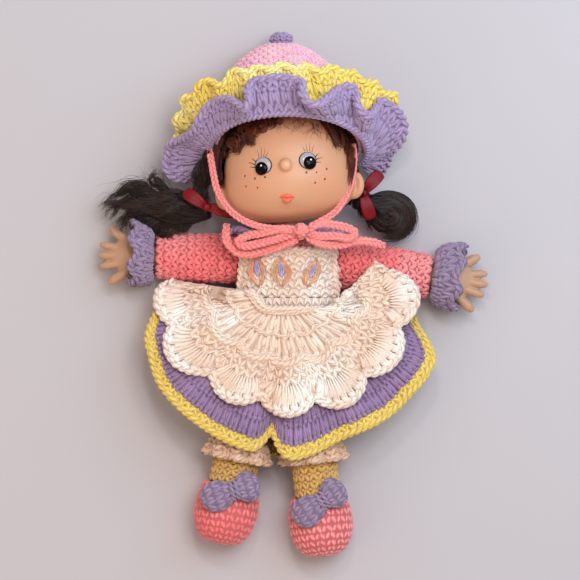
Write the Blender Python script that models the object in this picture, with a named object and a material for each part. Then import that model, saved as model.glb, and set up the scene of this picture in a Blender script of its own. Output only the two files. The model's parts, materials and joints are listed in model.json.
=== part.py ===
"""Dressed doll: a vinyl head and hands on a stuffed body, in crocheted clothes.

The doll lies on its back on a table. +X is the picture's right, +Y runs from the feet to the head and +Z
points up, out of the table. The origin lies on the table under the waist. All lengths are in metres.
"""

import math

import bmesh
import bpy
from mathutils import Matrix, Vector

MM = 0.001
TURN = 2.0 * math.pi
# The doll's own right is at -X.
SIDES = ((-1.0, "right"), (1.0, "left"))

# What lies on the table is pressed flat by this much, and touching pieces keep this gap.
FLAT_DEPTH = 0.5 * MM
GAP = 0.3 * MM
SEAT_GAP = 0.4 * MM
OVERRUN = 4.0 * MM
MERGE = 0.02 * MM

# Facets of the small round forms.
SMALL_SIDES = 10
SMALL_RINGS = 6

# Crochet fabric and cord.
YARN_THICKNESS = 2.6 * MM
RUFFLE_THICKNESS = 2.2 * MM
CORD_DIAMETER = 3.0 * MM
CORD_SIDES = 6
CORD_STEPS = 2

# Trunk: a stuffed core with the bodice above the waist and the pantaloon seat below it.
CORE_HALF_WIDTH = 17.4 * MM
CORE_HALF_DEPTH = 12.2 * MM
SHOULDER_LINE = 21.5 * MM
SHOULDER_DROP = 7.0 * MM
WAIST_LINE = -6.0 * MM
CROTCH_LINE = -32.3 * MM
SEAT_THICKNESS = 2.2 * MM
HIP_SHIFT = -4.0 * MM
TRUNK_SIDES = 20
BODICE_HALF_WIDTH = CORE_HALF_WIDTH + GAP + YARN_THICKNESS
BODICE_HALF_DEPTH = CORE_HALF_DEPTH + GAP + YARN_THICKNESS
TRUNK_HEIGHT = BODICE_HALF_DEPTH - FLAT_DEPTH
# Heights and sizes of the shoulder's rounded top, as shares of its drop and of the trunk's section.
SHOULDER_SHARES = ((0.0, 1.0), (0.45, 0.95), (0.8, 0.8), (1.0, 0.58))
# The same for the seat, from its bottom up to the waist, with its share of the seat's lift.
SEAT_SHARES = ((1.0, 0.84, 1.0), (0.9, 0.96, 1.0), (0.5, 1.0, 1.0), (0.15, 1.0, 1.0), (0.0, 1.0, 0.0))
SEAT_SLOPE_SHARE = -0.124

# Neck of the vinyl head, with the flange that the bodice is tied over.
NECK_RADIUS = 6.8 * MM
NECK_FLANGE_RADIUS = 8.6 * MM
NECK_FLANGE_THICKNESS = 2.4 * MM
NECK_DEPTH = 10.0 * MM
NECK_SIDES = 14
NECK_HOLE_RADIUS = NECK_RADIUS + SEAT_GAP

# Vinyl head.
HEAD_HALF_WIDTH = 28.6 * MM
HEAD_HALF_DEPTH = 24.0 * MM
HEAD_CHIN_DROP = 22.5 * MM
HEAD_CROWN_RISE = 31.0 * MM
CHIN_CLEARANCE = 11.0 * MM
HEAD_ABOVE_TRUNK = 14.6 * MM
HEAD_SIDES = 24
HEAD_RINGS = 12
CHEEK_SHARE = 0.07
HEAD_WALL = 2.6 * MM
HOLLOW_SIDES = 16
HOLLOW_RINGS = 8
NECK_BORE_RADIUS = 4.2 * MM
NECK_BORE_SIDES = 10
HEAD_LINE = SHOULDER_LINE + CHIN_CLEARANCE + HEAD_CHIN_DROP
HEAD_HEIGHT = TRUNK_HEIGHT + HEAD_ABOVE_TRUNK
NOSE_RADIUS = 2.9 * MM
NOSE_RISE = 3.0 * MM
EAR_LENGTH = 6.6 * MM
EAR_WIDTH = 5.4 * MM
EAR_THICKNESS = 3.0 * MM
EAR_DROP = 8.5 * MM
EAR_LEAN = math.radians(25.0)
EYE_RADIUS = 3.9 * MM
EYE_THICKNESS = 3.0 * MM
EYE_SPACING = 20.2 * MM
EYE_RISE = 3.6 * MM
EYE_SIDES = 12
EYE_RINGS = 6
HEAD_TILT = math.radians(5.0)

# Hair.
WIG_THICKNESS = 2.2 * MM
FRINGE_LINE = 22.0 * MM
WIG_HEM_RISE = 4.0 * MM
FACE_OPENING_SHARE = 0.93
OPENING_SIDES = 24
OPENING_RINGS = 12
PIGTAIL_SIDES = 12
PIGTAIL_REACH = 50.0 * MM
PIGTAIL_ROOT_OUT = 4.6 * MM
PIGTAIL_ROOT_DROP = 16.5 * MM
PIGTAIL_ROOT_HEIGHT = -9.0 * MM
HAIR_TIP_SHARE = 0.35
# Pigtail places, in pigtail reaches: across, along the body and up from the root, half width and half depth.
PIGTAIL_SHARES = {
    "right": (
        (0.30, 0.0, 0.03, 0.06, 0.06),
        (0.0, 0.0, 0.0, 0.055, 0.055),
        (-0.10, -0.01, -0.02, 0.10, 0.09),
        (-0.24, -0.02, -0.06, 0.15, 0.12),
        (-0.42, 0.03, -0.10, 0.165, 0.13),
        (-0.60, 0.12, -0.13, 0.15, 0.12),
        (-0.78, 0.16, -0.15, 0.12, 0.11),
        (-0.93, 0.14, -0.17, 0.075, 0.08),
    ),
    "left": (
        (-0.30, 0.0, 0.03, 0.06, 0.06),
        (0.0, 0.0, 0.0, 0.055, 0.055),
        (0.09, 0.0, -0.02, 0.09, 0.08),
        (0.20, -0.02, -0.05, 0.13, 0.11),
        (0.31, -0.07, -0.08, 0.15, 0.13),
        (0.36, -0.18, -0.10, 0.13, 0.12),
        (0.30, -0.27, -0.12, 0.07, 0.08),
    ),
}

# Satin ribbons tied round the pigtails.
RIBBON_WIDTH = 5.0 * MM
RIBBON_THICKNESS = 0.9 * MM
RIBBON_LOOP_LENGTH = 12.0 * MM
RIBBON_LOOP_HEIGHT = 4.0 * MM
RIBBON_KNOT_RADIUS = 2.6 * MM
RIBBON_OUT = 2.0 * MM
RIBBON_RISE = 6.2 * MM
RIBBON_PINCH_SHARE = 0.45
RIBBON_STEPS = 12
# The two loops' directions in degrees, on the doll's right and on its left.
RIBBON_WAYS = {"right": (145.0, -12.0), "left": (48.0, -72.0)}

# Bonnet.
CROWN_ROOM = WIG_THICKNESS + GAP + GAP
BRIM_LINE_RISE = 10.0 * MM
BRIM_TILT_RISE = 12.5 * MM
CROWN_TIP_RISE = 47.0 * MM
CROWN_TIP_HEIGHT = 14.0 * MM
CROWN_TIP_SIDE = -3.0 * MM
CROWN_TIP_SHARE = 0.985
CROWN_OPEN_SHARE = 0.2
CROWN_SIDES = 26
CROWN_RINGS = 7
BUTTON_RADIUS = 5.6 * MM
BUTTON_THICKNESS = 3.6 * MM
BUTTON_SEAT_SHARE = 0.5
BUTTON_SIDES = 14
BUTTON_RINGS = 8
# The lilac ruffle lies in front of the wider yellow one.
RUFFLE_WIDTHS = (16.2 * MM, 20.2 * MM)
RUFFLE_REACH = math.radians(122.0)
RUFFLE_WAVES = 8
RUFFLE_WAVE_HEIGHT = 3.6 * MM
RUFFLE_PHASE = math.radians(60.0)
RUFFLE_SPACING = 5.2 * MM
RUFFLE_CLEAR = 0.8 * MM
RUFFLE_FRONT_CLEAR = 1.6 * MM
RUFFLE_SPREAD_SHARE = 0.3
RUFFLE_FRONT_SHARE = 0.18
# How far the ruffles lean back at the forehead and forward at the sides.
RUFFLE_FRONT_LEAN = math.radians(34.0)
RUFFLE_SIDE_LEAN = math.radians(-16.0)
RUFFLE_STEPS = 52
RUFFLE_ROWS = 2

# Sleeves, cuffs and hands. The right side is the doll's own right, at -X.
SHOULDER_BALL_RADIUS = 11.4 * MM
SHOULDER_OUT = 6.6 * MM
WRIST_RADIUS = 9.8 * MM
BALL_STEPS = 4
SLEEVE_SWELL_SHARES = ((0.3, 1.02), (0.6, 1.03), (0.88, 1.01), (1.0, 0.93))
SLEEVE_SIDES = 14
ARM_CORE_SIDES = 8
SOCKET_SIDES = 20
RIGHT_SHOULDER_LINE = 16.0 * MM
LEFT_SHOULDER_LINE = 13.0 * MM
RIGHT_SLEEVE_LENGTH = 33.0 * MM
LEFT_SLEEVE_LENGTH = 38.0 * MM
RIGHT_ARM_DROOP = math.radians(-1.5)
LEFT_ARM_DROOP = math.radians(8.0)
CUFF_LIFT = 2.0 * MM
CUFF_RADIUS = 14.6 * MM
CUFF_FLARE = 8.0 * MM
CUFF_WAVES = 7
CUFF_WAVE_HEIGHT = 1.7 * MM
CUFF_FILL_SHARE = 0.75
CUFF_STEPS = 35
CUFF_ROWS = 1
HAND_STEM_RADIUS = 4.8 * MM
HAND_STEM_LENGTH = 5.0 * MM
HAND_FLANGE_RADIUS = 6.2 * MM
HAND_FLANGE_THICKNESS = 1.6 * MM
HAND_SEAT_DEPTH = 1.0 * MM
PALM_LENGTH = 17.0 * MM
PALM_WIDTH = 16.0 * MM
PALM_THICKNESS = 8.4 * MM
STEM_TAPER_SHARE = 0.9
FINGER_RADIUS = 2.1 * MM
FINGER_SIDES = 6
FINGER_REACH_SHARE = 0.72
FINGER_RISE_SHARE = 0.15
FINGER_ROOT_SHARE = 0.55
# A finger's outline, as shares of its length and radius.
FINGER_SHARES = ((0.0, 0.0), (0.03, 0.9), (0.55, 1.0), (0.86, 0.9), (0.96, 0.6), (1.0, 0.0))
# Finger tips from the palm's middle and their thickness, as shares of the palm's length and width and of the
# finger's radius.
FINGER_TIP_SHARES = (
    (0.62, 0.72, 1.15),
    (1.02, 0.30, 0.95),
    (1.08, 0.0, 1.0),
    (1.0, -0.3, 0.95),
    (0.66, -0.74, 1.1),
)

# Legs. Each hangs from a hip ball in the seat.
HIP_BALL_RADIUS = 11.0 * MM
RIGHT_HIP = (-15.5 * MM, -36.5 * MM)
LEFT_HIP = (7.8 * MM, -41.0 * MM)
RIGHT_LEG_SPREAD = math.radians(11.5)
LEFT_LEG_SPREAD = math.radians(6.5)
LEG_CORE_RADIUS = 8.0 * MM
PANTALOON_LENGTHS = {"right": 29.0 * MM, "left": 25.0 * MM}
PANTALOON_RADIUS = 12.0 * MM
PANTALOON_CUFF_RADIUS = 10.4 * MM
# The pantaloon's outline: shares of its length, and of its swell beyond the hip ball.
PANTALOON_SHARES = ((0.3, 0.9), (0.6, 1.0), (0.85, 0.7), (1.0, 0.0))
FRILL_LENGTH = 8.5 * MM
FRILL_RADIUS = 14.0 * MM
FRILL_WAVES = 7
FRILL_WAVE_HEIGHT = 1.2 * MM
FRILL_STEPS = 28
FRILL_SEAM_SHARE = 0.013
SOCK_THICKNESS = 2.0 * MM
SOCK_END = 48.3 * MM
ANKLE_TAPER_SHARE = 0.3
LEG_SIDES = 14
FOOT_SIDES = 10
FOOT_RINGS = 8
SHOE_HALF_LENGTH = 14.8 * MM
SHOE_HALF_WIDTH = 13.4 * MM
SHOE_HALF_DEPTH = 13.0 * MM
SHOE_WALL = 2.6 * MM
SHOE_LINE = 62.0 * MM
SHOE_PITCH = math.radians(28.0)
SHOE_MOUTH_SHARE = 0.5
SHOE_SIDES = 16
SHOE_RINGS = 10
BOW_LOBE_LENGTH = 15.0 * MM
BOW_LOBE_WIDTH = 13.5 * MM
BOW_LOBE_THICKNESS = 5.0 * MM
BOW_KNOT_RADIUS = 3.2 * MM
BOW_KNOT_SHARE = 0.36
BOW_KNOT_SIDES = 8
BOW_SMALL_SHARE = 0.72
BOW_SINK_SHARE = 0.42
BOW_LINE = 52.5 * MM
BOW_SIDE_SHIFT = 2.0 * MM
BOW_LEAN = math.radians(24.0)

# Skirt: a flattened bell that fans out from the waist, with its yellow edging.
SKIRT_THICKNESS = 2.6 * MM
SKIRT_LENGTH = 68.0 * MM
SKIRT_FAN_CENTRE_LINE = -3.0 * MM
SKIRT_FOLD_HEIGHT = 7.4 * MM
SKIRT_WAVE_HEIGHT = 1.3 * MM
SKIRT_WAVES = 14
SKIRT_SIDE_DROP = 3.2 * MM
SKIRT_NOTCH_DEPTH = 8.0 * MM
SKIRT_NOTCH_DEGREES = -8.0
SKIRT_NOTCH_SPREAD_DEGREES = 6.5
SKIRT_BACK_POWER = 4.0
SKIRT_FRONT_POWER = 2.4
SKIRT_LEG_ROOM = 1.4 * MM
SKIRT_STEPS = 52
SKIRT_ROWS = 3
EDGING_WIDTH = 6.5 * MM
# The hem's angle in degrees from straight down and its reach as a share of the length, left to right.
SKIRT_HEM_SHARES = (
    (-93.0, 0.83),
    (-72.0, 0.98),
    (-55.0, 1.04),
    (-38.0, 1.04),
    (-18.0, 1.0),
    (0.0, 1.01),
    (22.0, 0.97),
    (48.0, 1.02),
    (66.0, 1.05),
    (82.0, 0.86),
)

# The legs and the seat lie on the skirt's back layer.
LEG_HEIGHT = SKIRT_THICKNESS - FLAT_DEPTH + SEAT_GAP + PANTALOON_RADIUS
SEAT_LIFT = (SKIRT_THICKNESS - FLAT_DEPTH + GAP) / 2.0
SKIRT_TOP = LEG_HEIGHT + PANTALOON_RADIUS + SKIRT_LEG_ROOM + SKIRT_THICKNESS / 2.0 + SKIRT_WAVE_HEIGHT
SKIRT_FLOOR = SKIRT_THICKNESS / 2.0 - FLAT_DEPTH

# Apron.
BIB_WIDTH = 41.0 * MM
BIB_FLARE = 2.0 * MM
BIB_TOP_LINE = 20.5 * MM
BIB_WRAP = math.radians(58.0)
BIB_STEPS = 10
BIB_ROWS = 3
WAISTBAND_WIDTH = 4.0 * MM
APRON_THICKNESS = 2.4 * MM
APRON_LENGTH = 46.0 * MM
SCALLOP_DEPTH = 8.0 * MM
SCALLOP_DEGREES = 31.0
SCALLOP_START_DEGREES = -47.0
SCALLOP_POWER = 0.75
APRON_GATHER_WIDTH = 35.0 * MM
APRON_TOP_LINE = WAIST_LINE - GAP - SEAT_GAP
APRON_RISE = SKIRT_THICKNESS / 2.0 + SEAT_GAP + APRON_THICKNESS / 2.0
APRON_WAIST_ROOM = 0.8 * MM
APRON_SIDE_DROP = 1.8 * MM
APRON_LIFT = 12.0 * MM
APRON_BELLY = 0.8 * MM
APRON_PUFF_HEIGHT = 6.0 * MM
APRON_PUFF_DEGREES = 98.0
APRON_PUFF_SPREAD_DEGREES = 22.0
APRON_STEPS = 48
APRON_ROWS = 4
# How far round a place the apron clears what lies under it.
APRON_NEAR = 2.8 * MM
NEAR_STEPS = 8
RAY_SEARCH_STEPS = 20
# The apron's rays, from its right end to its left: angle in degrees, length share, and lift in apron lifts.
APRON_RAY_SHARES = (
    (-93.0, 1.14, 0.0),
    (-77.0, 1.16, 0.0),
    (-60.0, 1.10, 0.0),
    (-40.0, 1.00, 0.0),
    (-15.0, 0.97, 0.05),
    (10.0, 0.98, 0.1),
    (30.0, 1.02, 0.05),
    (48.0, 1.04, 0.1),
    (64.0, 1.06, 0.35),
    (80.0, 1.10, 0.75),
    (94.0, 1.10, 1.1),
    (106.0, 1.02, 1.4),
    (114.0, 0.84, 1.5),
)

# Collar.
COLLAR_INNER_ROOM = 1.6 * MM
COLLAR_HALF_WIDTH = 28.5 * MM
COLLAR_HALF_DEPTH = 14.0 * MM
COLLAR_RISE = 3.2 * MM
COLLAR_WAVES = 8
COLLAR_WAVE_HEIGHT = 0.9 * MM
COLLAR_STEPS = 36
COLLAR_ROWS = 1

# Chin ties and the bow they are tied in.
TIE_END_DEGREES = 50.0
# Chin tie places: angle below the head's middle, then distance and height as shares of the head's own.
TIE_SHARES = ((2.0, 1.0, 0.26), (22.0, 0.98, 0.36), (42.0, 0.97, 0.44), (60.0, 0.97, 0.52))
KNOT_RADIUS = 4.2 * MM
KNOT_DROP = 4.9 * MM
KNOT_SIDE = 4.5 * MM
KNOT_SIDES = 12
KNOT_RINGS = 8
TIE_REACH = KNOT_RADIUS + CORD_DIAMETER / 2.0
BOW_HEIGHT_SHARE = 0.60
KNOT_LINE = HEAD_LINE - HEAD_CHIN_DROP - KNOT_DROP
KNOT_PLACE = Vector((KNOT_SIDE, KNOT_LINE, HEAD_HEIGHT + HEAD_HALF_DEPTH * BOW_HEIGHT_SHARE))

# The bow's loops and tails, from the knot's middle: across, along the body and up, in bow reaches.
BOW_REACH = 30.0 * MM
RIGHT_LOOP_SHARES = (
    (-0.155, 0.02, 0.0),
    (-0.45, 0.0, 0.0),
    (-0.75, -0.04, -0.06),
    (-0.98, -0.12, -0.13),
    (-0.93, -0.28, -0.15),
    (-0.66, -0.25, -0.10),
    (-0.38, -0.18, -0.04),
    (-0.127, -0.09, 0.0),
)
LEFT_LOOP_SHARES = (
    (0.155, 0.02, 0.0),
    (0.38, 0.05, 0.02),
    (0.62, 0.05, -0.02),
    (0.80, -0.01, -0.06),
    (0.74, -0.16, -0.08),
    (0.50, -0.18, -0.04),
    (0.30, -0.15, 0.0),
    (0.127, -0.09, 0.0),
)
RIGHT_TAIL_SHARES = (
    (-0.07, -0.14, -0.08),
    (-0.3, -0.38, -0.13),
    (-0.62, -0.50, -0.18),
    (-0.9, -0.50, -0.24),
    (-1.15, -0.34, -0.30),
    (-1.20, -0.12, -0.36),
)
LEFT_TAIL_SHARES = (
    (0.07, -0.14, -0.08),
    (0.36, -0.38, -0.15),
    (0.75, -0.42, -0.22),
    (1.1, -0.40, -0.30),
    (1.4, -0.42, -0.40),
)

COLOURS = {
    "vinyl": (0.78, 0.50, 0.33),
    "eye_plastic": (0.05, 0.03, 0.03),
    "hair": (0.09, 0.035, 0.02),
    "pink_yarn": (0.85, 0.22, 0.24),
    "pale_pink_yarn": (0.87, 0.42, 0.47),
    "lilac_yarn": (0.42, 0.34, 0.62),
    "yellow_yarn": (0.84, 0.70, 0.24),
    "cream_yarn": (0.86, 0.78, 0.68),
    "satin_ribbon": (0.36, 0.015, 0.03),
    "stuffing": (0.82, 0.80, 0.76),
}
ROUGHNESS = {"vinyl": 0.45, "eye_plastic": 0.12, "hair": 0.4, "satin_ribbon": 0.3}
CLOTH_ROUGHNESS = 0.9


def clear_scene():
    for item in list(bpy.data.objects):
        bpy.data.objects.remove(item)


def material(name):
    """The finish called name, made on first use."""
    made = bpy.data.materials.get(name)
    if made is None:
        made = bpy.data.materials.new(name)
        made.use_nodes = True
        shader = made.node_tree.nodes["Principled BSDF"]
        shader.inputs["Base Color"].default_value = (*COLOURS[name], 1.0)
        shader.inputs["Roughness"].default_value = ROUGHNESS.get(name, CLOTH_ROUGHNESS)
        shader.inputs["Metallic"].default_value = 0.0
    return made


def add_object(name, mesh, finish, parent=None):
    """Links one named piece, with its finish and smooth shading."""
    piece = bpy.data.objects.new(name, mesh)
    bpy.context.scene.collection.objects.link(piece)
    piece.parent = parent
    mesh.materials.append(material(finish))
    mesh.shade_smooth()
    return piece


def add_joint(name, place, turn_about_z=0.0):
    """An empty on a joint's axis, turned so that its X axis runs out along the limb."""
    empty = bpy.data.objects.new(name, None)
    bpy.context.scene.collection.objects.link(empty)
    empty.location = place
    empty.rotation_euler = (0.0, 0.0, turn_about_z)
    return empty


def hide_cutter(cutter):
    cutter.hide_render = True
    cutter.display_type = "WIRE"
    return cutter


def cut(piece, cutter):
    change = piece.modifiers.new("cut_" + cutter.name, "BOOLEAN")
    change.operation = "DIFFERENCE"
    change.object = cutter


def join(piece, other):
    change = piece.modifiers.new("join_" + other.name, "BOOLEAN")
    change.operation = "UNION"
    change.object = other


def finish_mesh(work, name):
    """Turns a bmesh into a mesh whose faces point outwards."""
    bmesh.ops.recalc_face_normals(work, faces=work.faces)
    mesh = bpy.data.meshes.new(name)
    work.to_mesh(mesh)
    work.free()
    return mesh


def loft(name, rings, finish, parent=None):
    """A closed solid through rings of points. A ring of one point is a pole."""
    work = bmesh.new()
    loops = [[work.verts.new(point) for point in ring] for ring in rings]
    for low, high in zip(loops, loops[1:]):
        count = max(len(low), len(high))
        for step in range(count):
            after = (step + 1) % count
            corners = [low[step % len(low)], low[after % len(low)]]
            corners += [high[after % len(high)], high[step % len(high)]]
            work.faces.new(list(dict.fromkeys(corners)))
    for loop in (loops[0], loops[-1]):
        if len(loop) > 1:
            work.faces.new(loop)
    return add_object(name, finish_mesh(work, name), finish, parent)


def turned(name, profile, sides, finish, parent=None, closed=False):
    """A profile of (along, radius) pairs, turned round the parent's X axis."""
    work = bmesh.new()
    points = [work.verts.new((along, radius, 0.0)) for along, radius in profile]
    pairs = list(zip(points, points[1:]))
    if closed:
        pairs.append((points[-1], points[0]))
    edges = [work.edges.new(pair) for pair in pairs]
    centre, axis = (0.0, 0.0, 0.0), (1.0, 0.0, 0.0)
    bmesh.ops.spin(work, geom=points + edges, cent=centre, axis=axis, angle=TURN, steps=sides, use_merge=True)
    bmesh.ops.remove_doubles(work, verts=work.verts, dist=MERGE)
    return add_object(name, finish_mesh(work, name), finish, parent)


def egg(name, radii, centre, sides, rings, finish, parent=None, turn=None):
    """An ellipsoid, or one whose shape a rotation matrix leans over."""
    work = bmesh.new()
    bmesh.ops.create_uvsphere(work, u_segments=sides, v_segments=rings, radius=1.0)
    place = Matrix.Translation(centre) @ (turn or Matrix.Identity(4)) @ Matrix.Diagonal((*radii, 1.0))
    bmesh.ops.transform(work, matrix=place, verts=work.verts)
    return add_object(name, finish_mesh(work, name), finish, parent)


def sheet(name, surface, steps, rows, thickness, finish, parent=None, closed=False):
    """A cloth whose middle surface is surface(across, along), with both shares from 0 to 1."""
    work = bmesh.new()
    columns = steps if closed else steps + 1
    grid = [
        [work.verts.new(surface(column / steps, row / rows)) for row in range(rows + 1)]
        for column in range(columns)
    ]
    for column in range(steps):
        here, there = grid[column], grid[(column + 1) % columns]
        for row in range(rows):
            work.faces.new((here[row], there[row], there[row + 1], here[row + 1]))
    piece = add_object(name, finish_mesh(work, name), finish, parent)
    thicken = piece.modifiers.new("thickness", "SOLIDIFY")
    thicken.thickness = thickness
    thicken.offset = 0.0
    thicken.use_even_offset = True
    return piece


def smooth_route(points, per_span):
    """Points read from a smooth curve through the route's own points."""
    route = [Vector(point) for point in points]
    route = [route[0] + route[0] - route[1]] + route + [route[-1] + route[-1] - route[-2]]
    found = []
    for before, start, end, after in zip(route, route[1:], route[2:], route[3:]):
        for step in range(per_span):
            share = step / per_span
            found.append(between(before, start, end, after, share))
    return found + [route[-2]]


def between(before, start, end, after, share):
    """One point of a Catmull-Rom curve from start to end."""
    slope = end - before
    bend = 2.0 * before - 5.0 * start + 4.0 * end - after
    twist = 3.0 * start - before - 3.0 * end + after
    return start + 0.5 * share * (slope + share * (bend + share * twist))


def cord(name, points, finish, parent=None):
    """A round cord along a route that runs mostly flat, with square ends."""
    route = smooth_route(points, CORD_STEPS)
    last = len(route) - 1
    rings = []
    for index, place in enumerate(route):
        ahead = (route[min(index + 1, last)] - route[max(index - 1, 0)]).normalized()
        side = ahead.cross(Vector((0.0, 0.0, 1.0))).normalized()
        up = side.cross(ahead)
        ring = []
        for step in range(CORD_SIDES):
            angle = TURN * step / CORD_SIDES
            ring.append(place + (side * math.cos(angle) + up * math.sin(angle)) * (CORD_DIAMETER / 2.0))
        rings.append(ring)
    return loft(name, rings, finish, parent)


def table_cutter(name, height):
    """The space below a resting height, which presses flat what lies there."""
    size = 2.0 * (SKIRT_LENGTH + HEAD_LINE + CROWN_TIP_RISE)
    work = bmesh.new()
    bmesh.ops.create_cube(work, size=size)
    bmesh.ops.translate(work, verts=work.verts, vec=(0.0, 0.0, height - size / 2.0))
    return hide_cutter(add_object(name, finish_mesh(work, name), "stuffing"))


def trunk_ring(line, half_width, half_depth, shift=0.0, lift=0.0, slope=0.0):
    """An oval section of the trunk, square to the Y axis or leaning to one side."""
    ring = []
    for step in range(TRUNK_SIDES):
        angle = TURN * step / TRUNK_SIDES
        across = half_width * math.cos(angle)
        height = TRUNK_HEIGHT + lift + half_depth * math.sin(angle)
        ring.append(Vector((shift + across, line + slope * across, height)))
    return ring


def shoulder_rings(grown):
    """Sections from the chest up over the shoulders, grown outwards by the clothes."""
    rings = []
    for rise, share in SHOULDER_SHARES:
        line = SHOULDER_LINE - SHOULDER_DROP + (SHOULDER_DROP + grown) * rise
        rings.append(trunk_ring(line, CORE_HALF_WIDTH * share + grown, CORE_HALF_DEPTH * share + grown))
    return rings


def seat_rings(grown):
    """Sections from the bottom of the seat up to the waist, raised by the skirt that the seat lies on."""
    rings = []
    for drop, share, lift_share in SEAT_SHARES:
        line = WAIST_LINE - (WAIST_LINE - CROTCH_LINE + grown) * drop
        lift = SEAT_LIFT * lift_share
        width, depth = CORE_HALF_WIDTH * share + grown, (CORE_HALF_DEPTH - lift) * share + grown
        rings.append(trunk_ring(line, width, depth, HIP_SHIFT * drop, lift, SEAT_SLOPE_SHARE * drop))
    return rings


def neck_profile(grown):
    """Outline of the neck and its flange, from the flange's end up into the head."""
    foot = SHOULDER_LINE - NECK_DEPTH - grown
    ledge = SHOULDER_LINE - NECK_DEPTH + NECK_FLANGE_THICKNESS + grown
    top = HEAD_LINE
    flange, stem = NECK_FLANGE_RADIUS + grown, NECK_RADIUS + grown
    return [(foot, 0.0), (foot, flange), (ledge, flange), (ledge, stem), (top, stem), (top, 0.0)]


def build_trunk(table, skirt_back, sockets):
    """Stuffed core, bodice and pantaloon seat, with the armholes, hip sockets and neck hole cut out."""
    neck_axis = add_joint("neck_socket", (0.0, 0.0, TRUNK_HEIGHT), TURN / 4.0)
    neck_space = hide_cutter(turned("neck_space", neck_profile(SEAT_GAP), NECK_SIDES, "stuffing", neck_axis))

    core = loft("torso_stuffing", seat_rings(0.0) + shoulder_rings(0.0), "stuffing")
    waist = trunk_ring(WAIST_LINE, BODICE_HALF_WIDTH, BODICE_HALF_DEPTH)
    bodice = loft("bodice", [waist] + shoulder_rings(GAP + YARN_THICKNESS), "pink_yarn")
    hollow = [trunk_ring(WAIST_LINE - OVERRUN, CORE_HALF_WIDTH + GAP, CORE_HALF_DEPTH + GAP)]
    cut(bodice, hide_cutter(loft("bodice_space", hollow + shoulder_rings(GAP), "stuffing")))
    cut(bodice, table)

    seat = loft("pantaloon_seat", seat_rings(GAP + SEAT_THICKNESS), "cream_yarn")
    over_waist = trunk_ring(WAIST_LINE + OVERRUN, CORE_HALF_WIDTH + GAP, CORE_HALF_DEPTH + GAP)
    cut(seat, hide_cutter(loft("seat_space", seat_rings(GAP) + [over_waist], "stuffing")))
    reach = BODICE_HALF_WIDTH + OVERRUN
    seam = [trunk_ring(line, reach, reach) for line in (WAIST_LINE - GAP, WAIST_LINE + OVERRUN)]
    cut(seat, hide_cutter(loft("waist_seam", seam, "stuffing")))
    cut(seat, skirt_back)
    for piece in (core, bodice):
        cut(piece, neck_space)
    for piece in (core, bodice, seat):
        for socket in sockets:
            cut(piece, socket)


def socket_for(name, centre, radius):
    """A round cutter for a ball joint in the stuffing and the clothes."""
    half = radius + SEAT_GAP
    return hide_cutter(egg(name, (half, half, half), centre, SOCKET_SIDES, SOCKET_SIDES // 2, "stuffing"))


def head_point(around, upward, grown=0.0):
    """A point of the head. around turns about the head's upright axis and upward runs from chin to crown."""
    width, depth = HEAD_HALF_WIDTH + grown, HEAD_HALF_DEPTH + grown
    rise = (HEAD_CROWN_RISE if upward > 0.0 else HEAD_CHIN_DROP) + grown
    flat = math.cos(upward)
    cheek = 1.0 + CHEEK_SHARE * max(0.0, -math.sin(2.0 * upward))
    across = width * flat * cheek * math.sin(around)
    out = depth * flat * cheek * math.cos(around)
    return Vector((across, HEAD_LINE + rise * math.sin(upward), HEAD_HEIGHT + out))


def tilted(point):
    """A point of the head after the head leans towards its left shoulder."""
    centre = Vector((0.0, HEAD_LINE, HEAD_HEIGHT))
    return Matrix.Rotation(HEAD_TILT, 4, "Z") @ (point - centre) + centre


def head_solid(name, finish, grown=0.0, sides=HEAD_SIDES, rows=HEAD_RINGS):
    """The head's rounded form, or one grown or shrunk evenly from it."""
    rings = [[tilted(head_point(0.0, -TURN / 4.0, grown))]]
    for row in range(1, rows):
        upward = -TURN / 4.0 + TURN / 2.0 * row / rows
        rings.append([tilted(head_point(TURN * step / sides, upward, grown)) for step in range(sides)])
    rings.append([tilted(head_point(0.0, TURN / 4.0, grown))])
    return loft(name, rings, finish)


def face_point(across, rise, grown=0.0):
    """The point of the face's surface over a place measured from the head's middle."""
    reach = HEAD_CROWN_RISE if rise > 0.0 else HEAD_CHIN_DROP
    left = 1.0 - (across / HEAD_HALF_WIDTH) ** 2 - (rise / reach) ** 2
    out = (HEAD_HALF_DEPTH + grown) * math.sqrt(max(left, 0.0))
    return tilted(Vector((across, HEAD_LINE + rise, HEAD_HEIGHT + out)))


def face_normal(across, rise):
    """The way that the face's surface points at the same place."""
    reach = HEAD_CROWN_RISE if rise > 0.0 else HEAD_CHIN_DROP
    point = face_point(across, rise)
    out = (point.z - HEAD_HEIGHT) / HEAD_HALF_DEPTH**2
    slope = Vector((across / HEAD_HALF_WIDTH**2, rise / reach**2, out)).normalized()
    return Matrix.Rotation(HEAD_TILT, 3, "Z") @ slope


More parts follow.
